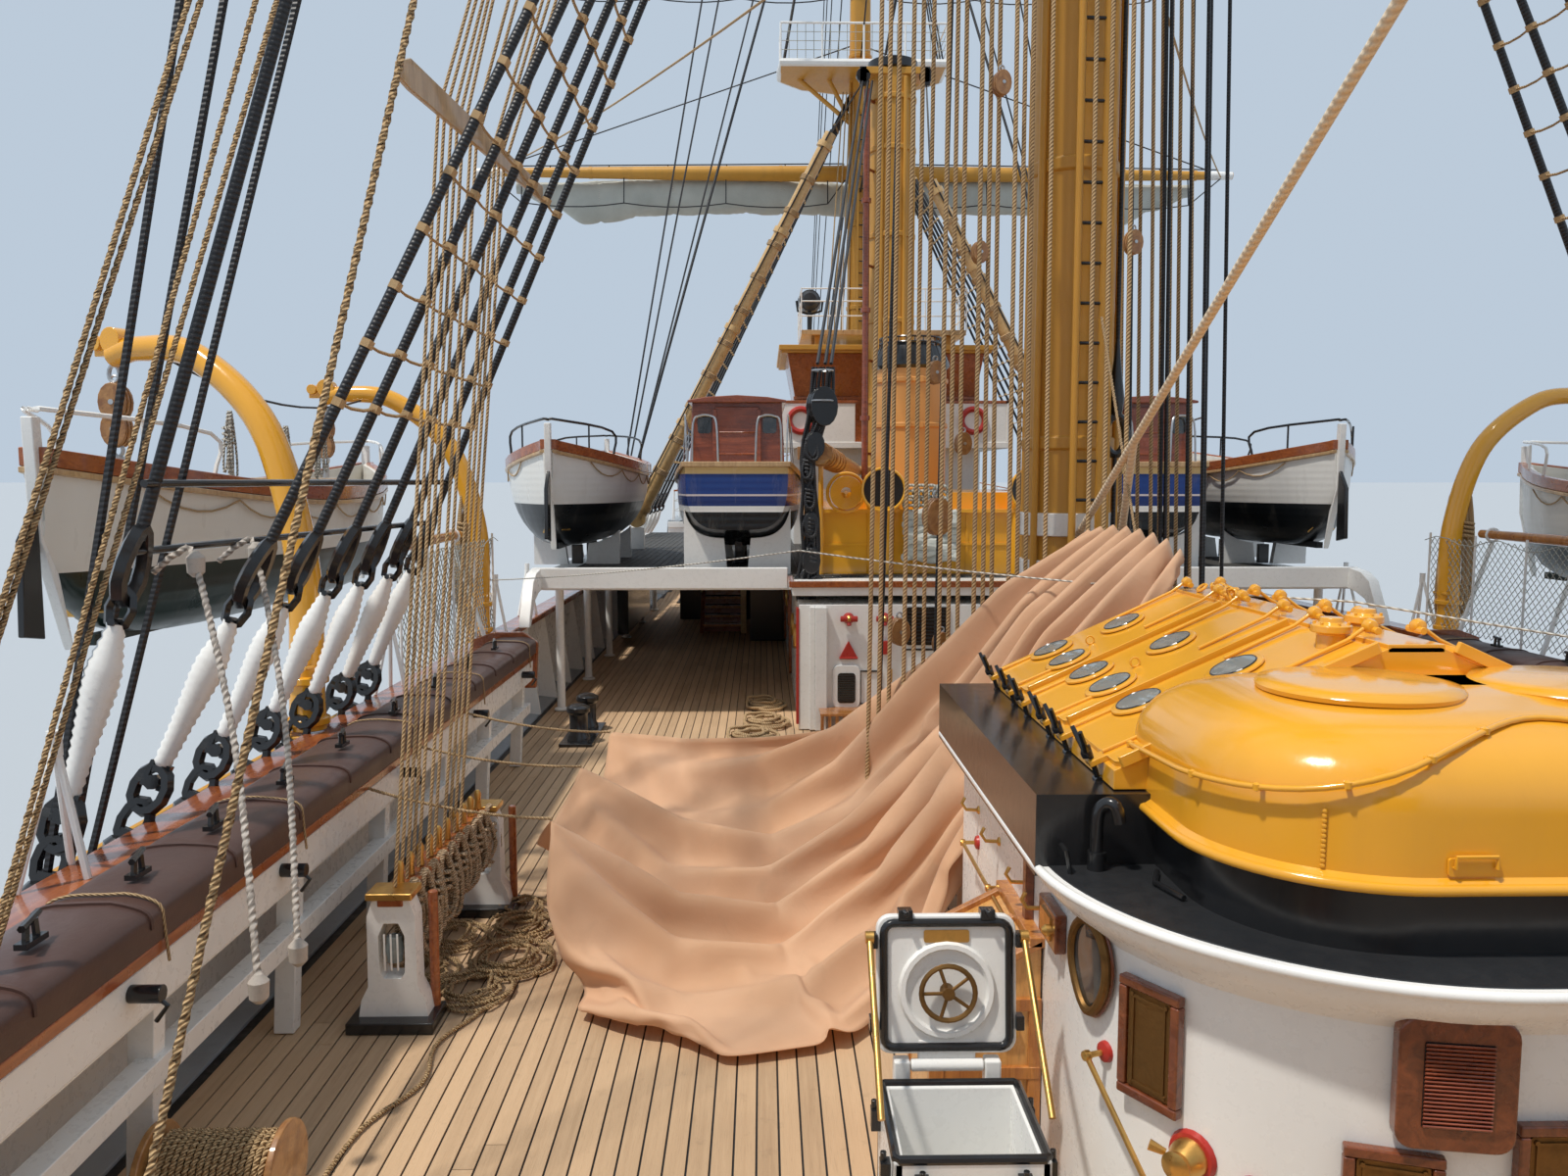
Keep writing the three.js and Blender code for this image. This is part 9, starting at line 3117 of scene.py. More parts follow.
def make_rail_gear():
    """Cleats, hooks and cords on the rail covers."""
    cleats, hooks, cords = [], [], []
    for x in (-14.4, -13.0, -12.1, -11.2, -10.35, -9.3, -8.2, -6.9, -5.6, -4.3, -3.0):
        x0, y0, z0 = side_point(x, 0.62, 1.74)
        cleats += [bar((x0 - 0.11, y0 - 0.03, z0 + 0.09), (x0 + 0.11, y0 + 0.03, z0 + 0.09), 0.018, sides=6),
                   bar((x0 - 0.04, y0, z0), (x0 - 0.03, y0, z0 + 0.09), 0.018, sides=6),
                   bar((x0 + 0.04, y0, z0), (x0 + 0.03, y0, z0 + 0.09), 0.018, sides=6),
                   box((x0 - 0.08, x0 + 0.08), (y0 - 0.03, y0 + 0.03), (z0 - 0.02, z0 + 0.008))]
    for x in (-11.7, -9.9, -7.4, -4.9, -2.4):
        x0, y0, z0 = side_point(x, 0.93, 1.3)
        hooks += [bar((x0, y0 + 0.08, z0), (x0, y0 - 0.08, z0), 0.045, sides=12),
                  tube([(x0, y0 - 0.03, z0), (x0, y0 - 0.1, z0 - 0.06), (x0, y0 - 0.04, z0 - 0.14)], 0.014,
                       6)]
        line = [side_point(x + 0.25, inset, h + 0.012) for inset, h in cover_section(x + 0.25)[3:-1]]
        cords.append([*line, side_point(x + 0.28, 0.9, 1.35)])
    piece("rail_cleats", both_sides(cleats), BLACK)
    piece("rail_hooks", both_sides(hooks), BLACK, bevel=0.004)
    lines("cover_cords", cords + [[(x, -y, z) for x, y, z in c] for c in cords], 0.016, MANILA, sides=6)


def make_shroud_tails():
    tails, knots = [], []
    for top, low in (((-10.11, 6.4, 3.29), (-11.25, 5.62, 1.12)), ((-9.26, 6.4, 3.3), (-10.73, 5.62, 1.1))):
        a, b = np.array(top) + (0, 0, DECK), np.array(low) + (0, 0, DECK)
        middle = a + (b - a) * 0.45 + (0.05, -0.05, -0.05)
        tails.append(curve([a + (-0.02, 0.25, -0.05), a + (0, 0.1, 0.07), a, middle, b], 8))
        knots += [moved(turned([(0.02, -0.08), (0.05, -0.05), (0.055, 0.04), (0.02, 0.08)], (0, 0, 0),
                               sides=12), p) for p in (a, b)]
    laid_ropes("shroud_tails", tails, 0.046, TAIL_CORD, steps=5, sides=6)
    piece("tail_knots", knots, TAIL_CORD)


def make_side_nets():
    """Tripod rests on the rail, and a net of knotted cord between posts."""
    rests = []
    for x in (-10.85, -5.05, -0.25, 2.0):
        x0, y0, z0 = side_point(x, 0.02, 1.585)
        for dx, dy in ((-0.25, 0.1), (0.25, 0.1), (0.0, -0.14)):
            rests.append(bar((x0 + dx, y0 + dy, z0), (x0, y0, z0 + 0.78), 0.022, sides=8))
        rests.append(bar((x0, y0, z0 + 0.7), (x0, y0, z0 + 0.84), 0.04, sides=10))
    piece("tripod_rests", both_sides(rests), WHITE)
    net = []
    low, high, first, last, step = 1.65, 3.0, -4.7, -0.4, 0.12
    count = round((last - first) / step)
    for k in range(-round((high - low) / step), count):
        for slant in (1, -1):
            points = []
            for j in range(round((high - low) / step) + 1):
                s = k + j if slant > 0 else k + round((high - low) / step) - j
                if 0 <= s <= count:
                    h = low + j * step
                    points.append(side_point(first + s * step, 0.02 - 0.1 * math.sin((h - low) * 1.6), h))
            if len(points) > 1:
                net.append(points)
    edge = [side_point(x, 0.02, high - 0.12 * math.sin((x - first) * 2.4) ** 2)
            for x in spaced(first, last, 0.3)]
    net.append(edge)
    lines("side_nets", net + [[(x, -y, z) for x, y, z in r] for r in net], 0.012, NET_CORD, sides=4)
    posts = []
    for x in spaced(first, last, 1.4):
        x0, y0, z0 = side_point(x, 0.02, 1.585)
        posts.append(bar((x0, y0, z0), (x0, y0, z0 + 1.45), 0.016, sides=8))
    piece("net_posts", both_sides(posts), WHITE)


def make_bollards():
    bollards = []
    for x in (-0.6, 0.25, 18.6, 19.5, -15.8, -15.0):
        y = frame_at(x)["edge"] - 1.35
        z = deck_height(x)
        bollards.append(turned([(0.17, 0.02), (0.16, 0.1), (0.13, 0.14), (0.13, 0.42), (0.17, 0.46),
                                (0.17, 0.52), (0.10, 0.56)], (x, y, z), sides=20))
    for x in (-0.18, 19.05, -15.4):
        y = frame_at(x)["edge"] - 1.35
        bollards.append(box((x - 0.75, x + 0.75), (y - 0.24, y + 0.24),
                            (deck_height(x) + 0.003, deck_height(x) + 0.05)))
    piece("bollards", both_sides(bollards), BLACK, bevel=0.01)


def make_davit_gear():
    """Guide wires over the deck, guys and hanks at the davits, and the booms stowed below them."""
    stops = [(-0.5, 6.96, DECK + 2.36), (-6.0, 2.59, DECK + 3.12), (-9.2, -1.2, DECK + 2.95),
             (-12.5, -6.6, DECK + 2.3)]
    wires = [sagging(a, b, 0.05, 8) for a, b in zip(stops, stops[1:])]
    lines("guide_wires", wires, 0.016, WHITE_CORD, sides=5)
    marks = []
    draw = np.random.default_rng(12)
    for _, sign in SIDES:
        for share in (0.26, 0.55, 0.78):
            x = -6.1 + 5.0 * share
            marks += hank((x, sign * 8.55, DECK + 4.78 - 0.35 * math.sin(math.pi * share)), 0.72, 5, draw,
                          (1, 0, 0), 0.07)
    laid_ropes("hung_lines", marks, 0.03, WHITE_CORD, steps=3, sides=5)
    guys = [sagging((-6.1, sign * 8.55, DECK + 4.95), (-0.8, sign * 8.55, DECK + 4.9), 0.25, 10)
            for _, sign in SIDES]
    lines("davit_guys", guys, 0.028, WIRE, sides=6)
    spare = []
    for sign in (1, -1):
        for k in range(4):
            spare += hank((-0.62 - 0.05 * k, sign * (7.02 + 0.05 * k), DECK + 3.62), 1.9, 4, draw,
                          (0, 1, 0), 0.16)
    lines("davit_hanks", spare, 0.04, HEMP, sides=6)
    boom = [bar((-3.4, sign * 7.2, DECK + 3.03), (-1.15, sign * 7.15, DECK + 3.05), 0.075, 0.06, 14)
            for sign in (1, -1)]
    piece("boat_booms", boom, HATCH_WOOD)
    crutches = []
    for sign in (1, -1):
        for x in (-3.1, -1.35):
            foot = side_point(x, 0.16, 1.5, sign)
            crutches += [bar(foot, (x, sign * 7.18, DECK + 2.95), 0.03, sides=8),
                         hoop((x, sign * 7.18, DECK + 3.04), (1, 0, 0), 0.09, 0.02, 12, 5)]
    piece("boom_crutches", crutches, WHITE)


# Poop and forecastle gear, bowsprit, spanker and the stern


def raised_point(x, inset, height, sign=1):
    """A point above a raised deck, in from its edge."""
    f = frame_at(x)
    return (x, sign * (f["edge"] - LEAN * (RAISED + height) - inset), f["deck"] + RAISED + height)


def make_raised_rails():
    """Stanchions, wires and a wooden rail round the poop, and wires round the forecastle."""
    posts, wires, wood = [], [], []
    for name, start, end in (("poop", POOP_AFT + 0.5, POOP_FRONT - 0.15),
                             ("forecastle", FORECASTLE_BREAK + 0.15, 41.4)):
        stations = spaced(start, end, 1.3)
        for flip in (1, -1):
            for x in stations:
                if name == "poop" and -32.6 < x < -25.0 or abs(frame_at(x)["edge"]) < 0.6:
                    continue
                posts.append(bar(raised_point(x, 0.14, 0.0, flip), raised_point(x, 0.14, 1.04, flip), 0.024,
                                 sides=8))
            for h in (0.36, 0.70):
                wires.append([raised_point(x, 0.14, h, flip) for x in stations])
            near, far, high = (0.06, 0.22, 1.09) if name == "poop" else (0.12, 0.16, 1.07)
            section = [(near, 1.03), (near, high), (far, high), (far, 1.03)]
            rail = loft([[raised_point(x, inset, h) for inset, h in section] for x in stations])
            wood += on_side([rail], flip)
        x = end if name == "poop" else start
        half = frame_at(x)["edge"] - LEAN * (RAISED + 1) - 0.14
        floor = frame_at(x)["deck"] + RAISED
        gap = 2.1 if name == "poop" else 1.6
        for flip in (1, -1):
            for y in spaced(gap, half, 1.1):
                posts.append(bar((x, flip * y, floor), (x, flip * y, floor + 1.04), 0.024, sides=8))
            wires += [[(x, flip * y, floor + h) for y in (gap, half)] for h in (0.36, 0.70)]
            wood.append(box((x - 0.06, x + 0.06), sorted((flip * gap, flip * half)),
                            (floor + 1.03, floor + 1.09)))
    piece("raised_rail_posts", posts, WHITE)
    lines("raised_rail_wires", wires, 0.022, WHITE_CORD, sides=5)
    piece("raised_rail_tops", wood, RAIL_WOOD, bevel=0.01)


def break_ladders():
    """Ladders from the main deck up to the poop and the forecastle."""
    treads, sides = [], []
    for x, out in ((POOP_FRONT, 1), (FORECASTLE_BREAK, -1)):
        floor = frame_at(x)["deck"]
        for y in (-3.4, 3.4):
            for k in range(8):
                step_x = x + out * (1.75 - 0.21 * k)
                treads.append(box(sorted((step_x, step_x - out * 0.25)), (y - 0.38, y + 0.38),
                                  (floor + 0.25 * (k + 1) - 0.035, floor + 0.25 * (k + 1))))
            for dy in (-0.41, 0.41):
                sides.append(prism([(x + out * 1.95, floor + 0.02), (x + out * 1.65, floor + 0.02),
                                    (x + out * 0.08, floor + 1.95), (x + out * 0.08, floor + RAISED)],
                                   y + dy - 0.03, y + dy + 0.03, 1))
                sides.append(tube([(x + out * 1.7, y + dy, floor + 0.3),
                                   (x + out * 1.7, y + dy, floor + 1.1),
                                   (x + out * 0.05, y + dy, floor + 3.1),
                                   (x + out * 0.05, y + dy, floor + 2.25)], 0.02, 6))
    piece("break_ladder_treads", treads, HATCH_WOOD, bevel=0.008)
    piece("break_ladder_sides", [outward(s) for s in sides], RAIL_WOOD, bevel=0.008)


def house_on_poop(x0, x1, half, tall, name, doors):
    """A small deckhouse on the poop: panelled sides, ports, doors and a roof with a moulding."""
    floor = frame_at((x0 + x1) / 2)["deck"] + RAISED
    walls = [box((x0 + 0.08, x1 - 0.08), (0.08 - half, half - 0.08), (floor - 0.25, floor + tall - 0.12))]
    roof = [prism([(x0, -half), (x0, half), (x1, half), (x1, -half)], floor + tall - 0.14,
                  floor + tall - 0.02)]
    panels, rims, panes = [], [], []
    rim, pane = port_shapes(0.14)
    for flip in (1, -1):
        abeam = ((1, 0, 0), (0, 0, 1), (0, flip, 0))
        for x in spaced(x0 + 0.55, x1 - 0.55, 0.95):
            port = (x, flip * (half - 0.045), floor + tall * 0.58)
            panels.append(framed(board(0.72, tall * 0.62, 0.04, 0.05),
                                 (x, flip * (half - 0.08), floor + tall * 0.46), *abeam))
            rims.append(framed(rim, port, *abeam))
            panes.append(framed(pane, port, *abeam))
        x = x1 - 0.08 if flip > 0 else x0 + 0.08
        end_on = ((0, 1, 0), (0, 0, 1), (flip, 0, 0))
        for y in doors:
            panels.append(framed(board(0.66, tall * 0.84, 0.06, 0.06), (x, y, floor + tall * 0.45), *end_on))
            panels.append(framed(board(0.42, tall * 0.3, 0.08, 0.03), (x, y, floor + tall * 0.64), *end_on))
    piece(f"{name}_walls", walls, RAIL_WOOD, bevel=0.015)
    piece(f"{name}_panels", [outward(s) for s in panels], HATCH_WOOD, bevel=0.008)
    piece(f"{name}_roof", roof, WHITE, bevel=0.03)
    piece(f"{name}_port_rims", rims, BRASS)
    piece(f"{name}_port_glass", panes, GLASS)
    return floor + tall


def steering_wheel(x, z, radius, spokes=10):
    wood = [hoop((x, 0, z), (1, 0, 0), radius, 0.045, 40, 8),
            bar((x - 0.09, 0, z), (x + 0.09, 0, z), 0.12, sides=20)]
    for k in range(spokes):
        a = 2 * math.pi * k / spokes
        reach = np.array((0, math.cos(a), math.sin(a)))
        middle = np.array((x, 0, z))
        wood.append(turned([(0.022, 0.1), (0.03, radius * 0.5), (0.02, radius), (0.032, radius + 0.1),
                            (0.02, radius + 0.22)], middle, reach, 8))
    return wood


BINNACLE_X = -32.6
WHEELS = (-34.95, -34.45, -33.95)  # three steering wheels on one shaft


def make_poop_houses():
    top = house_on_poop(-23.6, -19.6, 1.8, 2.15, "chart_house", (-0.9, 0.9))
    rails = [[(x, flip * 1.65, top + 0.55) for x in (-23.4, -19.8)] for flip in (1, -1)]
    rails += [[(x, y, top - 0.05), (x, y, top + 0.55)] for x in (-23.4, -21.6, -19.8) for y in (-1.65, 1.65)]
    lines("chart_house_rails", rails, 0.035, BRASS, sides=6)
    house_on_poop(-31.4, -28.6, 1.1, 1.1, "companion", ())


def make_steering_gear():
    """The wheels with their box and stands, and the binnacle before them."""
    floor = frame_at(-35)["deck"] + RAISED
    piece("wheel_box", [box((-36.4, -35.2), (-0.55, 0.55), (floor - 0.25, floor + 1.28))], RAIL_WOOD,
          bevel=0.03)
    wheels = []
    for x in WHEELS:
        wheels += steering_wheel(x, floor + 1.12, 0.82)
    wheels.append(bar((-35.2, 0, floor + 1.12), (-33.6, 0, floor + 1.12), 0.07, sides=14))
    piece("steering_wheels", wheels, MAHOGANY)
    stands = [prism([(-0.3, floor), (0.3, floor), (0.12, floor + 1.22), (-0.12, floor + 1.22)], x - 0.05,
                    x + 0.05, 0) for x in (-33.7, -34.7)]
    stands += [turned([(0.24, 0), (0.20, 0.1), (0.18, 0.95), (0.26, 1.0), (0.26, 1.1)],
                      (BINNACLE_X, 0, floor), sides=20)]
    piece("wheel_stands", stands, RAIL_WOOD, bevel=0.01)
    brass = [turned([(0.25, 1.1), (0.25, 1.16), (0.2, 1.32), (0.08, 1.42), (0.05, 1.5), (0, 1.52)],
                    (BINNACLE_X, 0, floor), sides=24)]
    brass += [bar((x - 0.1, 0, floor + 1.12), (x + 0.1, 0, floor + 1.12), 0.08, sides=16) for x in WHEELS]
    globe = turned([(0.0, 0.9), (0.1, 0.95), (0.12, 1.05), (0.1, 1.15), (0, 1.2)], (BINNACLE_X, 0.3, floor),
                   sides=16)
    brass += both_sides([globe])
    piece("binnacle_brass", brass, BRASS)


VENTS = (
    # x, y, height of the mushroom ventilators on the raised decks
    (-26.5, 1.3, 0.9), (-27.3, -1.3, 0.9), (-38.0, 1.0, 0.7), (26.0, 2.0, 1.0), (26.0, -2.0, 1.0),
    (28.6, 2.6, 0.8), (28.6, -2.6, 0.8),
)


def make_poop_fittings():
    """Raft canisters and bitts of the poop, the ensign staff, and ventilators of both raised decks."""
    floor = frame_at(-35)["deck"] + RAISED
    white, black = [], []
    for x in (-40.0, -38.6, -19.0):
        place = raised_point(x, 0.55, 0.42)
        if x > -38:
            _, y, z = place
            white += both_sides([bar((x - 0.55, y, z), (x + 0.55, y, z), 0.34, sides=24)])
            black += both_sides([bar((x + dx - 0.02, y, z), (x + dx + 0.02, y, z), 0.35, sides=24)
                                 for dx in (-0.35, 0, 0.35)])
        black += both_sides([turned([(0.12, 0), (0.11, 0.3), (0.15, 0.34), (0.1, 0.4)],
                                    raised_point(x, 0.9, 0.0), sides=16)])
    for x, y, height in VENTS:
        base = frame_at(x)["deck"] + RAISED
        white.append(turned([(0.14, 0), (0.13, height - 0.2), (0.28, height - 0.18), (0.27, height - 0.06),
                             (0.12, height)], (x, y, base), sides=20))
    white.append(bar((-41.2, 0, floor + 0.35), (-41.45, 0, floor + 4.2), 0.06, 0.035))
    piece("poop_fittings", white, WHITE, bevel=0.012)
    piece("poop_bitts", black, BLACK)


def stocked_anchor(x, y, z):
    """A stocked anchor lying on the side of the forecastle, port."""
    parts = [bar((x - 0.6, y, z), (x + 0.65, y, z), 0.07, 0.055),
             bar((x + 0.5, y - 0.4, z), (x + 0.5, y + 0.4, z), 0.045),
             hoop((x + 0.73, y, z), (0, 1, 0), 0.09, 0.02, 16, 6)]
    arc = [(x - 0.6 + 0.28 * (1 - math.cos(a)), y + 0.42 * math.sin(a), z)
           for a in np.linspace(-1.35, 1.35, 15)]
    parts.append(tube(arc, [0.05 + 0.03 * math.cos(a) for a in np.linspace(-1.35, 1.35, 15)], 10))
    for s in (-1, 1):
        parts.append(prism([(x - 0.42, y + s * 0.30), (x - 0.18, y + s * 0.44), (x - 0.42, y + s * 0.46)],
                           z - 0.04, z + 0.1))
    return parts


CAPSTAN_X, WINDLASS_X, BELL_X = 31.0, 34.5, 29.2


def make_capstan_and_windlass():
    x = CAPSTAN_X
    floor = frame_at(x)["deck"] + RAISED
    profile = [(0.5, -0.2), (0.5, 0.08), (0.36, 0.12), (0.3, 0.4), (0.33, 0.68), (0.44, 0.74), (0.46, 0.95),
               (0.36, 1.0)]
    drum = [turned(profile, (x, 0, floor), sides=32)]
    for a in np.linspace(0, 2 * math.pi, 9)[:-1]:
        foot = (x + 0.34 * math.cos(a), 0.34 * math.sin(a), floor + 0.12)
        head = (x + 0.30 * math.cos(a), 0.30 * math.sin(a), floor + 0.70)
        drum.append(bar(foot, head, 0.04, sides=8))
    piece("capstan", drum, GREY, bevel=0.01)
    cap = [turned([(0.36, 0.99), (0.3, 1.01), (0.05, 1.01)], (x, 0, floor), sides=32)]
    piece("capstan_cap", cap, BRASS)
    deck = frame_at(34)["deck"] + RAISED
    machine = [box((34.05, 34.95), (s - 0.12, s + 0.12), (deck - 0.2, deck + 0.62))
               for s in (-1.15, -0.35, 0.35, 1.15)]
    machine += [bar((WINDLASS_X, -1.28, deck + 0.42), (WINDLASS_X, 1.28, deck + 0.42), 0.1, sides=16)]
    spool = [(0.27, -0.22), (0.27, -0.17), (0.19, -0.08), (0.19, 0.08), (0.27, 0.17), (0.27, 0.22)]
    for y in (-0.75, 0.75):
        machine.append(turned(spool, (WINDLASS_X, y, deck + 0.42), (0, 1, 0), 28))
    piece("windlass", machine, GREY, bevel=0.02)


def make_anchors():
    """Anchors on the forecastle's sides, and the chains from the windlass to the hawse pipes."""
    z = frame_at(36)["deck"] + RAISED
    anchors = both_sides(stocked_anchor(35.9, 3.0, z + 0.12))
    for flip in (1, -1):
        for t in np.linspace(0, 1, 26):
            x = 34.75 + 3.6 * t
            turn = (0, 0, 1) if round(t * 25) % 2 else (0, 1, 0)
            anchors.append(hoop((x, flip * (0.75 + 0.3 * t),
                                 frame_at(x)["deck"] + RAISED + 0.05 + 0.38 * max(0, 1 - t * 9)), turn,
                                0.075, 0.02, 10, 5))
        anchors.append(turned([(0.2, 0.0), (0.2, 0.05), (0.12, 0.07), (0.1, 0.03)],
                              (38.5, flip * 1.06, frame_at(38.5)["deck"] + RAISED), sides=20))
    piece("anchors", anchors, BLACK)


def make_forecastle_fittings():
    """The bell, bitts and hatch of the forecastle."""
    floor = frame_at(CAPSTAN_X)["deck"] + RAISED
    belfry = [bar((BELL_X, y, floor), (BELL_X, y, floor + 1.5), 0.035) for y in (-0.3, 0.3)]
    arch = [(BELL_X, y, floor + h) for y, h in ((-0.3, 1.48), (-0.15, 1.7), (0.15, 1.7), (0.3, 1.48))]
    belfry.append(tube(curve(arch, 6), 0.035))
    bell = [turned([(0.24, 0.98), (0.2, 1.06), (0.13, 1.2), (0.11, 1.38), (0.04, 1.44), (0.02, 1.66)],
                   (BELL_X, 0, floor), sides=28)]
    piece("ship_bell", bell + belfry, BRASS)
    bitts = []
    for x in (24.8, 25.7, 38.6, 39.3):
        bitts += both_sides([turned([(0.14, 0), (0.12, 0.06), (0.11, 0.36), (0.15, 0.4), (0.1, 0.46)],
                                    raised_point(x, 0.75, 0.0), sides=16)])
    piece("forecastle_bitts", bitts, BLACK)
    low = frame_at(27.3)["deck"] + RAISED
    lid = [(-0.98, low + 0.42), (0.98, low + 0.42), (0, low + 0.8)]
    hatch = [box((26.4, 28.2), (-0.9, 0.9), (low - 0.1, low + 0.42)), prism(lid, 26.35, 28.25, 0)]
    piece("forecastle_hatch", hatch, RAIL_WOOD, bevel=0.02)


def bowsprit_point(share, drop=0.0):
    heel = frame_at(37.1)["deck"] + RAISED + 0.45
    return np.array((36.4 + 23.1 * share, 0, heel + (13.9 - heel) * share - drop))


def make_bowsprit():
    """Bands and tip of the bowsprit, and the ropes and net below it."""
    black, white, ropes, net = [], [], [], []
    unit = (bowsprit_point(1) - bowsprit_point(0)) / np.linalg.norm(bowsprit_point(1) - bowsprit_point(0))
    for t in (0.26, 0.4, 0.52, 0.66, 0.8, 0.9):
        p = bowsprit_point(t)
        black.append(bar(p - unit * 0.08, p + unit * 0.08, 0.395 - 0.18 * t, sides=20))
    white.append(bar(bowsprit_point(0.955), bowsprit_point(0.999), 0.215, 0.195, 20))
    for flip in (1, -1):
        for out, drop in ((0.35, 0.75), (0.8, 0.65), (1.2, 0.5)):
            points = []
            for k in range(11):
                side = flip * out * (1 - (k / 10) ** 2 * 0.75)
                points.append(bowsprit_point(0.3 + 0.066 * k) + (0, side, -drop * (1 - (k / 10) ** 3)))
            ropes.append(points)
    for k in range(11):
        wide = 1.2 * (1 - (k / 10) ** 2 * 0.75)
        p = bowsprit_point(0.3 + 0.066 * k)
        fall = (1 - (k / 10) ** 3)
        net.append([p + (0, y * wide, -fall * (0.78 - 0.28 * abs(y) ** 1.5)) for y in np.linspace(-1, 1, 9)])
    for k in range(60):
        for slant in (1, -1):
            route = []
            for j in range(7):
                t = min(1, k / 60 + j * 0.012)
                y = slant * (-1 + j / 3)
                wide = 1.2 * (1 - t ** 2 * 0.75)
                low = -(1 - t ** 3) * (0.78 - 0.28 * abs(y) ** 1.5)
                route.append(bowsprit_point(0.3 + 0.66 * t) + (0, y * wide, low))
            net.append(route)
    piece("bowsprit_bands", black, BLACK)
    piece("bowsprit_tip", white, WHITE)
    lines("bowsprit_ropes", ropes, 0.03, WIRE, sides=5)
    lines("bowsprit_net", net, 0.012, NET_CORD, sides=4)
    make_headsails()


HEADSAILS = (
    # (x, z) of the foot and of the head, from the mast outwards
    ((46.0, 11.45), (40.5, 13.2)), ((51.6, 12.75), (46.5, 15.4)),
    ((55.3, 13.4), (50.0, 16.6)), ((57.6, 13.9), (52.5, 17.5)),
)


def make_headsails():
    """Headsails rolled along the lower ends of their stays."""
    rolls = []
    for number, (foot, head) in enumerate(HEADSAILS):
        a, b = np.array((foot[0], 0, foot[1])), np.array((head[0], 0, head[1]))
        rings = []
        for t in np.linspace(0, 1, 40):
            size = 0.19 * math.sin(math.pi * min(1, t * 1.1 + 0.1)) ** 0.5 * (1 - 0.3 * t) + 0.02
            middle = a + (b - a) * t + (0, 0, 0.05)
            ring = []
            for i in range(12):
                angle = 2 * math.pi * i / 12
                across, up = math.cos(angle), math.sin(angle)
                bumps = noise.noise(Vector((t * 9 + number * 5, across * 1.5, up * 1.5)))
                fold = 1 + 0.3 * bumps - 0.12 * (math.sin(t * 44) > 0.92)
                ring.append(middle + size * fold * np.array((0.3 * up, across, up)))
            rings.append(ring)
        rolls.append(loft(rings))
    sails = piece("stowed_headsails", rolls, SAIL, angle=60)


# Height of the jaw, reach aft and rise of the tip
SPANKER = {"spanker_boom": (9.6, 12.6, 0.7), "spanker_gaff": (16.0, 7.0, 4.6)}


def spanker_spar(body):
    """The jaw and the tip of the boom or the gaff."""
    height, reach, rise = SPANKER[body]
    mast = mast_named("mizzen")
    x = mast["x"] - mast_radius(mast, height) - 0.16
    return np.array((x, 0, height)), np.array((x - reach, 0, height + rise))


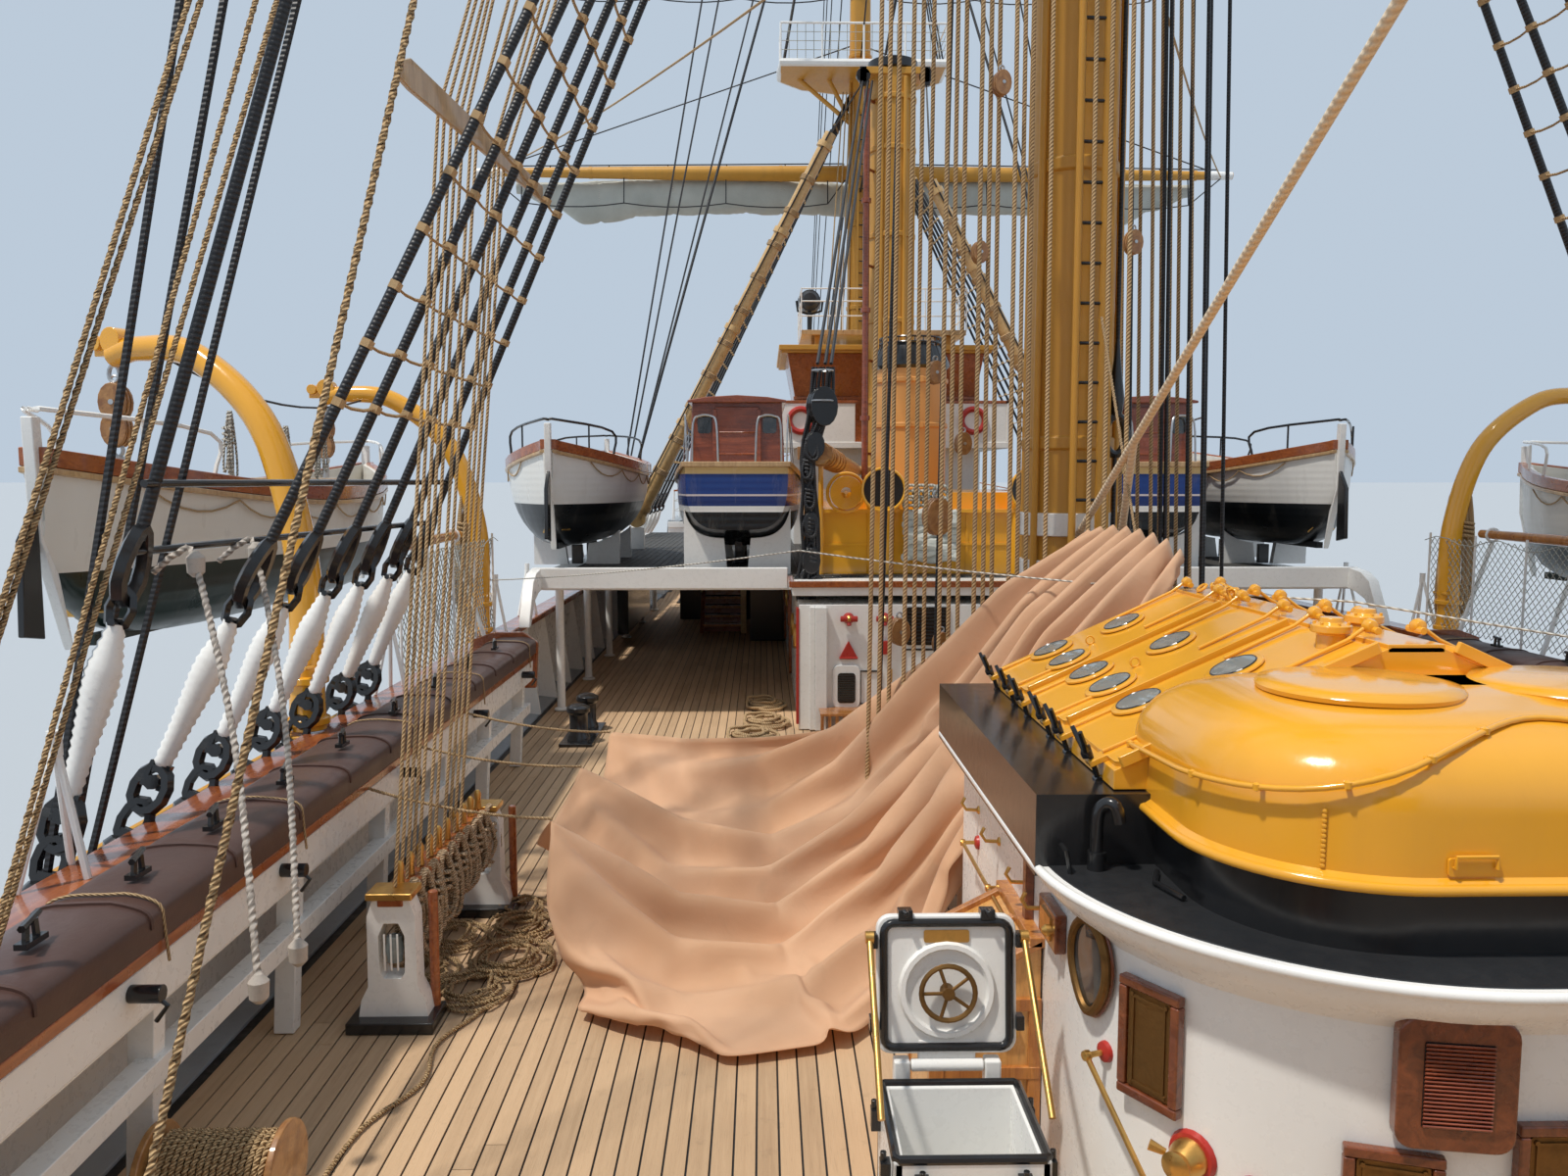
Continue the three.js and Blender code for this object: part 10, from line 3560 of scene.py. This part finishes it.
def make_spanker():
    """The sail brailed in to the mast, and the gear of the boom and gaff."""
    mast = mast_named("mizzen")
    boom, gaff = spanker_spar("spanker_boom"), spanker_spar("spanker_gaff")
    low, high = boom[0][2] + 1.2, gaff[0][2] - 0.9
    rings = []
    for z in spaced(low, high, 0.12):
        t = (z - low) / (high - low)
        size = 0.1 + 0.14 * math.sin(math.pi * min(1, 0.1 + t * 0.9)) ** 0.6
        size *= 1 - 0.16 * math.exp(-(((t * 7) % 1 - 0.5) / 0.12) ** 2)
        x = mast["x"] - mast_radius(mast, z) - size * 0.9 - 0.03
        ring = []
        for i in range(16):
            a = 2 * math.pi * i / 16
            fold = 1 + 0.22 * noise.noise(Vector((z * 1.3, math.cos(a) * 2,
                                                  math.sin(a) * 2))) - 0.06 + 0.05 * math.sin(6 * a)
            ring.append((x + size * min(1, fold) * 0.85 * math.cos(a), size * min(1.0, fold) * math.sin(a),
                         z))
        rings.append(ring)
    sail = piece("spanker_sail", [loft(rings)], SAIL, replaces=("spanker_sail",), angle=60)
    for body, (jaw, tip), high_z in (("spanker_boom", boom, mast["top"] - 0.5),
                                     ("spanker_gaff", gaff, mast["trees"] - 1.0)):
        bands = []
        unit = (tip - jaw) / np.linalg.norm(tip - jaw)
        for t in (0.12, 0.35, 0.6, 0.85, 0.97):
            p = jaw + (tip - jaw) * t
            radius = 0.165 - 0.055 * t
            bands.append(bar(p - unit * 0.05, p + unit * 0.05, radius + 0.012, sides=16))
        piece(f"{body}_bands", bands, BLACK, body)
        mast_end = np.array((mast["x"] - mast_radius(mast, high_z), 0, high_z))
        lifts = [[jaw + (tip - jaw) * t, mast_end]
                 for t in ((0.97,) if body == "spanker_boom" else (0.95, 0.55))]
        gear = lines(f"{body}_lifts", lifts, 0.04, WIRE, None, 6)
        list(tip * MODEL)
        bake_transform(gear)


NODE_FINISHES = {
    "rudder": BOTTOM_RED, "propeller": BRONZE, "bowsprit": OCHRE,
    "spanker_boom": OCHRE, "spanker_gaff": OCHRE,
}


def finish_frame_nodes():
    for name, finish in NODE_FINISHES.items():
        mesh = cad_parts[name].data
        mesh.materials.clear()
        mesh.materials.append(finish)


set_view()
set_light()
set_floor()
make_hull()
make_raised_decks()
make_deck_planks()
make_side_ports()
make_scrollwork()
make_bulwarks()
make_rail_covers()
for each_mast in MASTS:
    make_mast(each_mast)
for each_number, each_yard in enumerate(YARDS):
    make_yard(each_yard, each_number)
make_braces()
make_shrouds()
make_upper_rigging()
make_deckhouse()
make_skylight()
make_hatch()
make_boats()
make_davits()
make_boat_deck()
make_boat_deck_rails()
make_stairs()
make_centre_house()
make_fire_fittings()
make_house_sides()
make_engine_casing()
make_funnel()
make_derricks()
make_bridge()
make_wheelhouse()
make_compass_platform()
make_awning()
make_pin_rails()
make_coils()
make_drum()
make_near_ropes()
make_hanging_blocks()
make_mast_dressing()
make_rail_gear()
make_shroud_tails()
make_side_nets()
make_bollards()
make_davit_gear()
make_raised_rails()
break_ladders()
make_poop_houses()
make_steering_gear()
make_poop_fittings()
make_capstan_and_windlass()
make_anchors()
make_forecastle_fittings()
make_bowsprit()
make_spanker()
finish_frame_nodes()
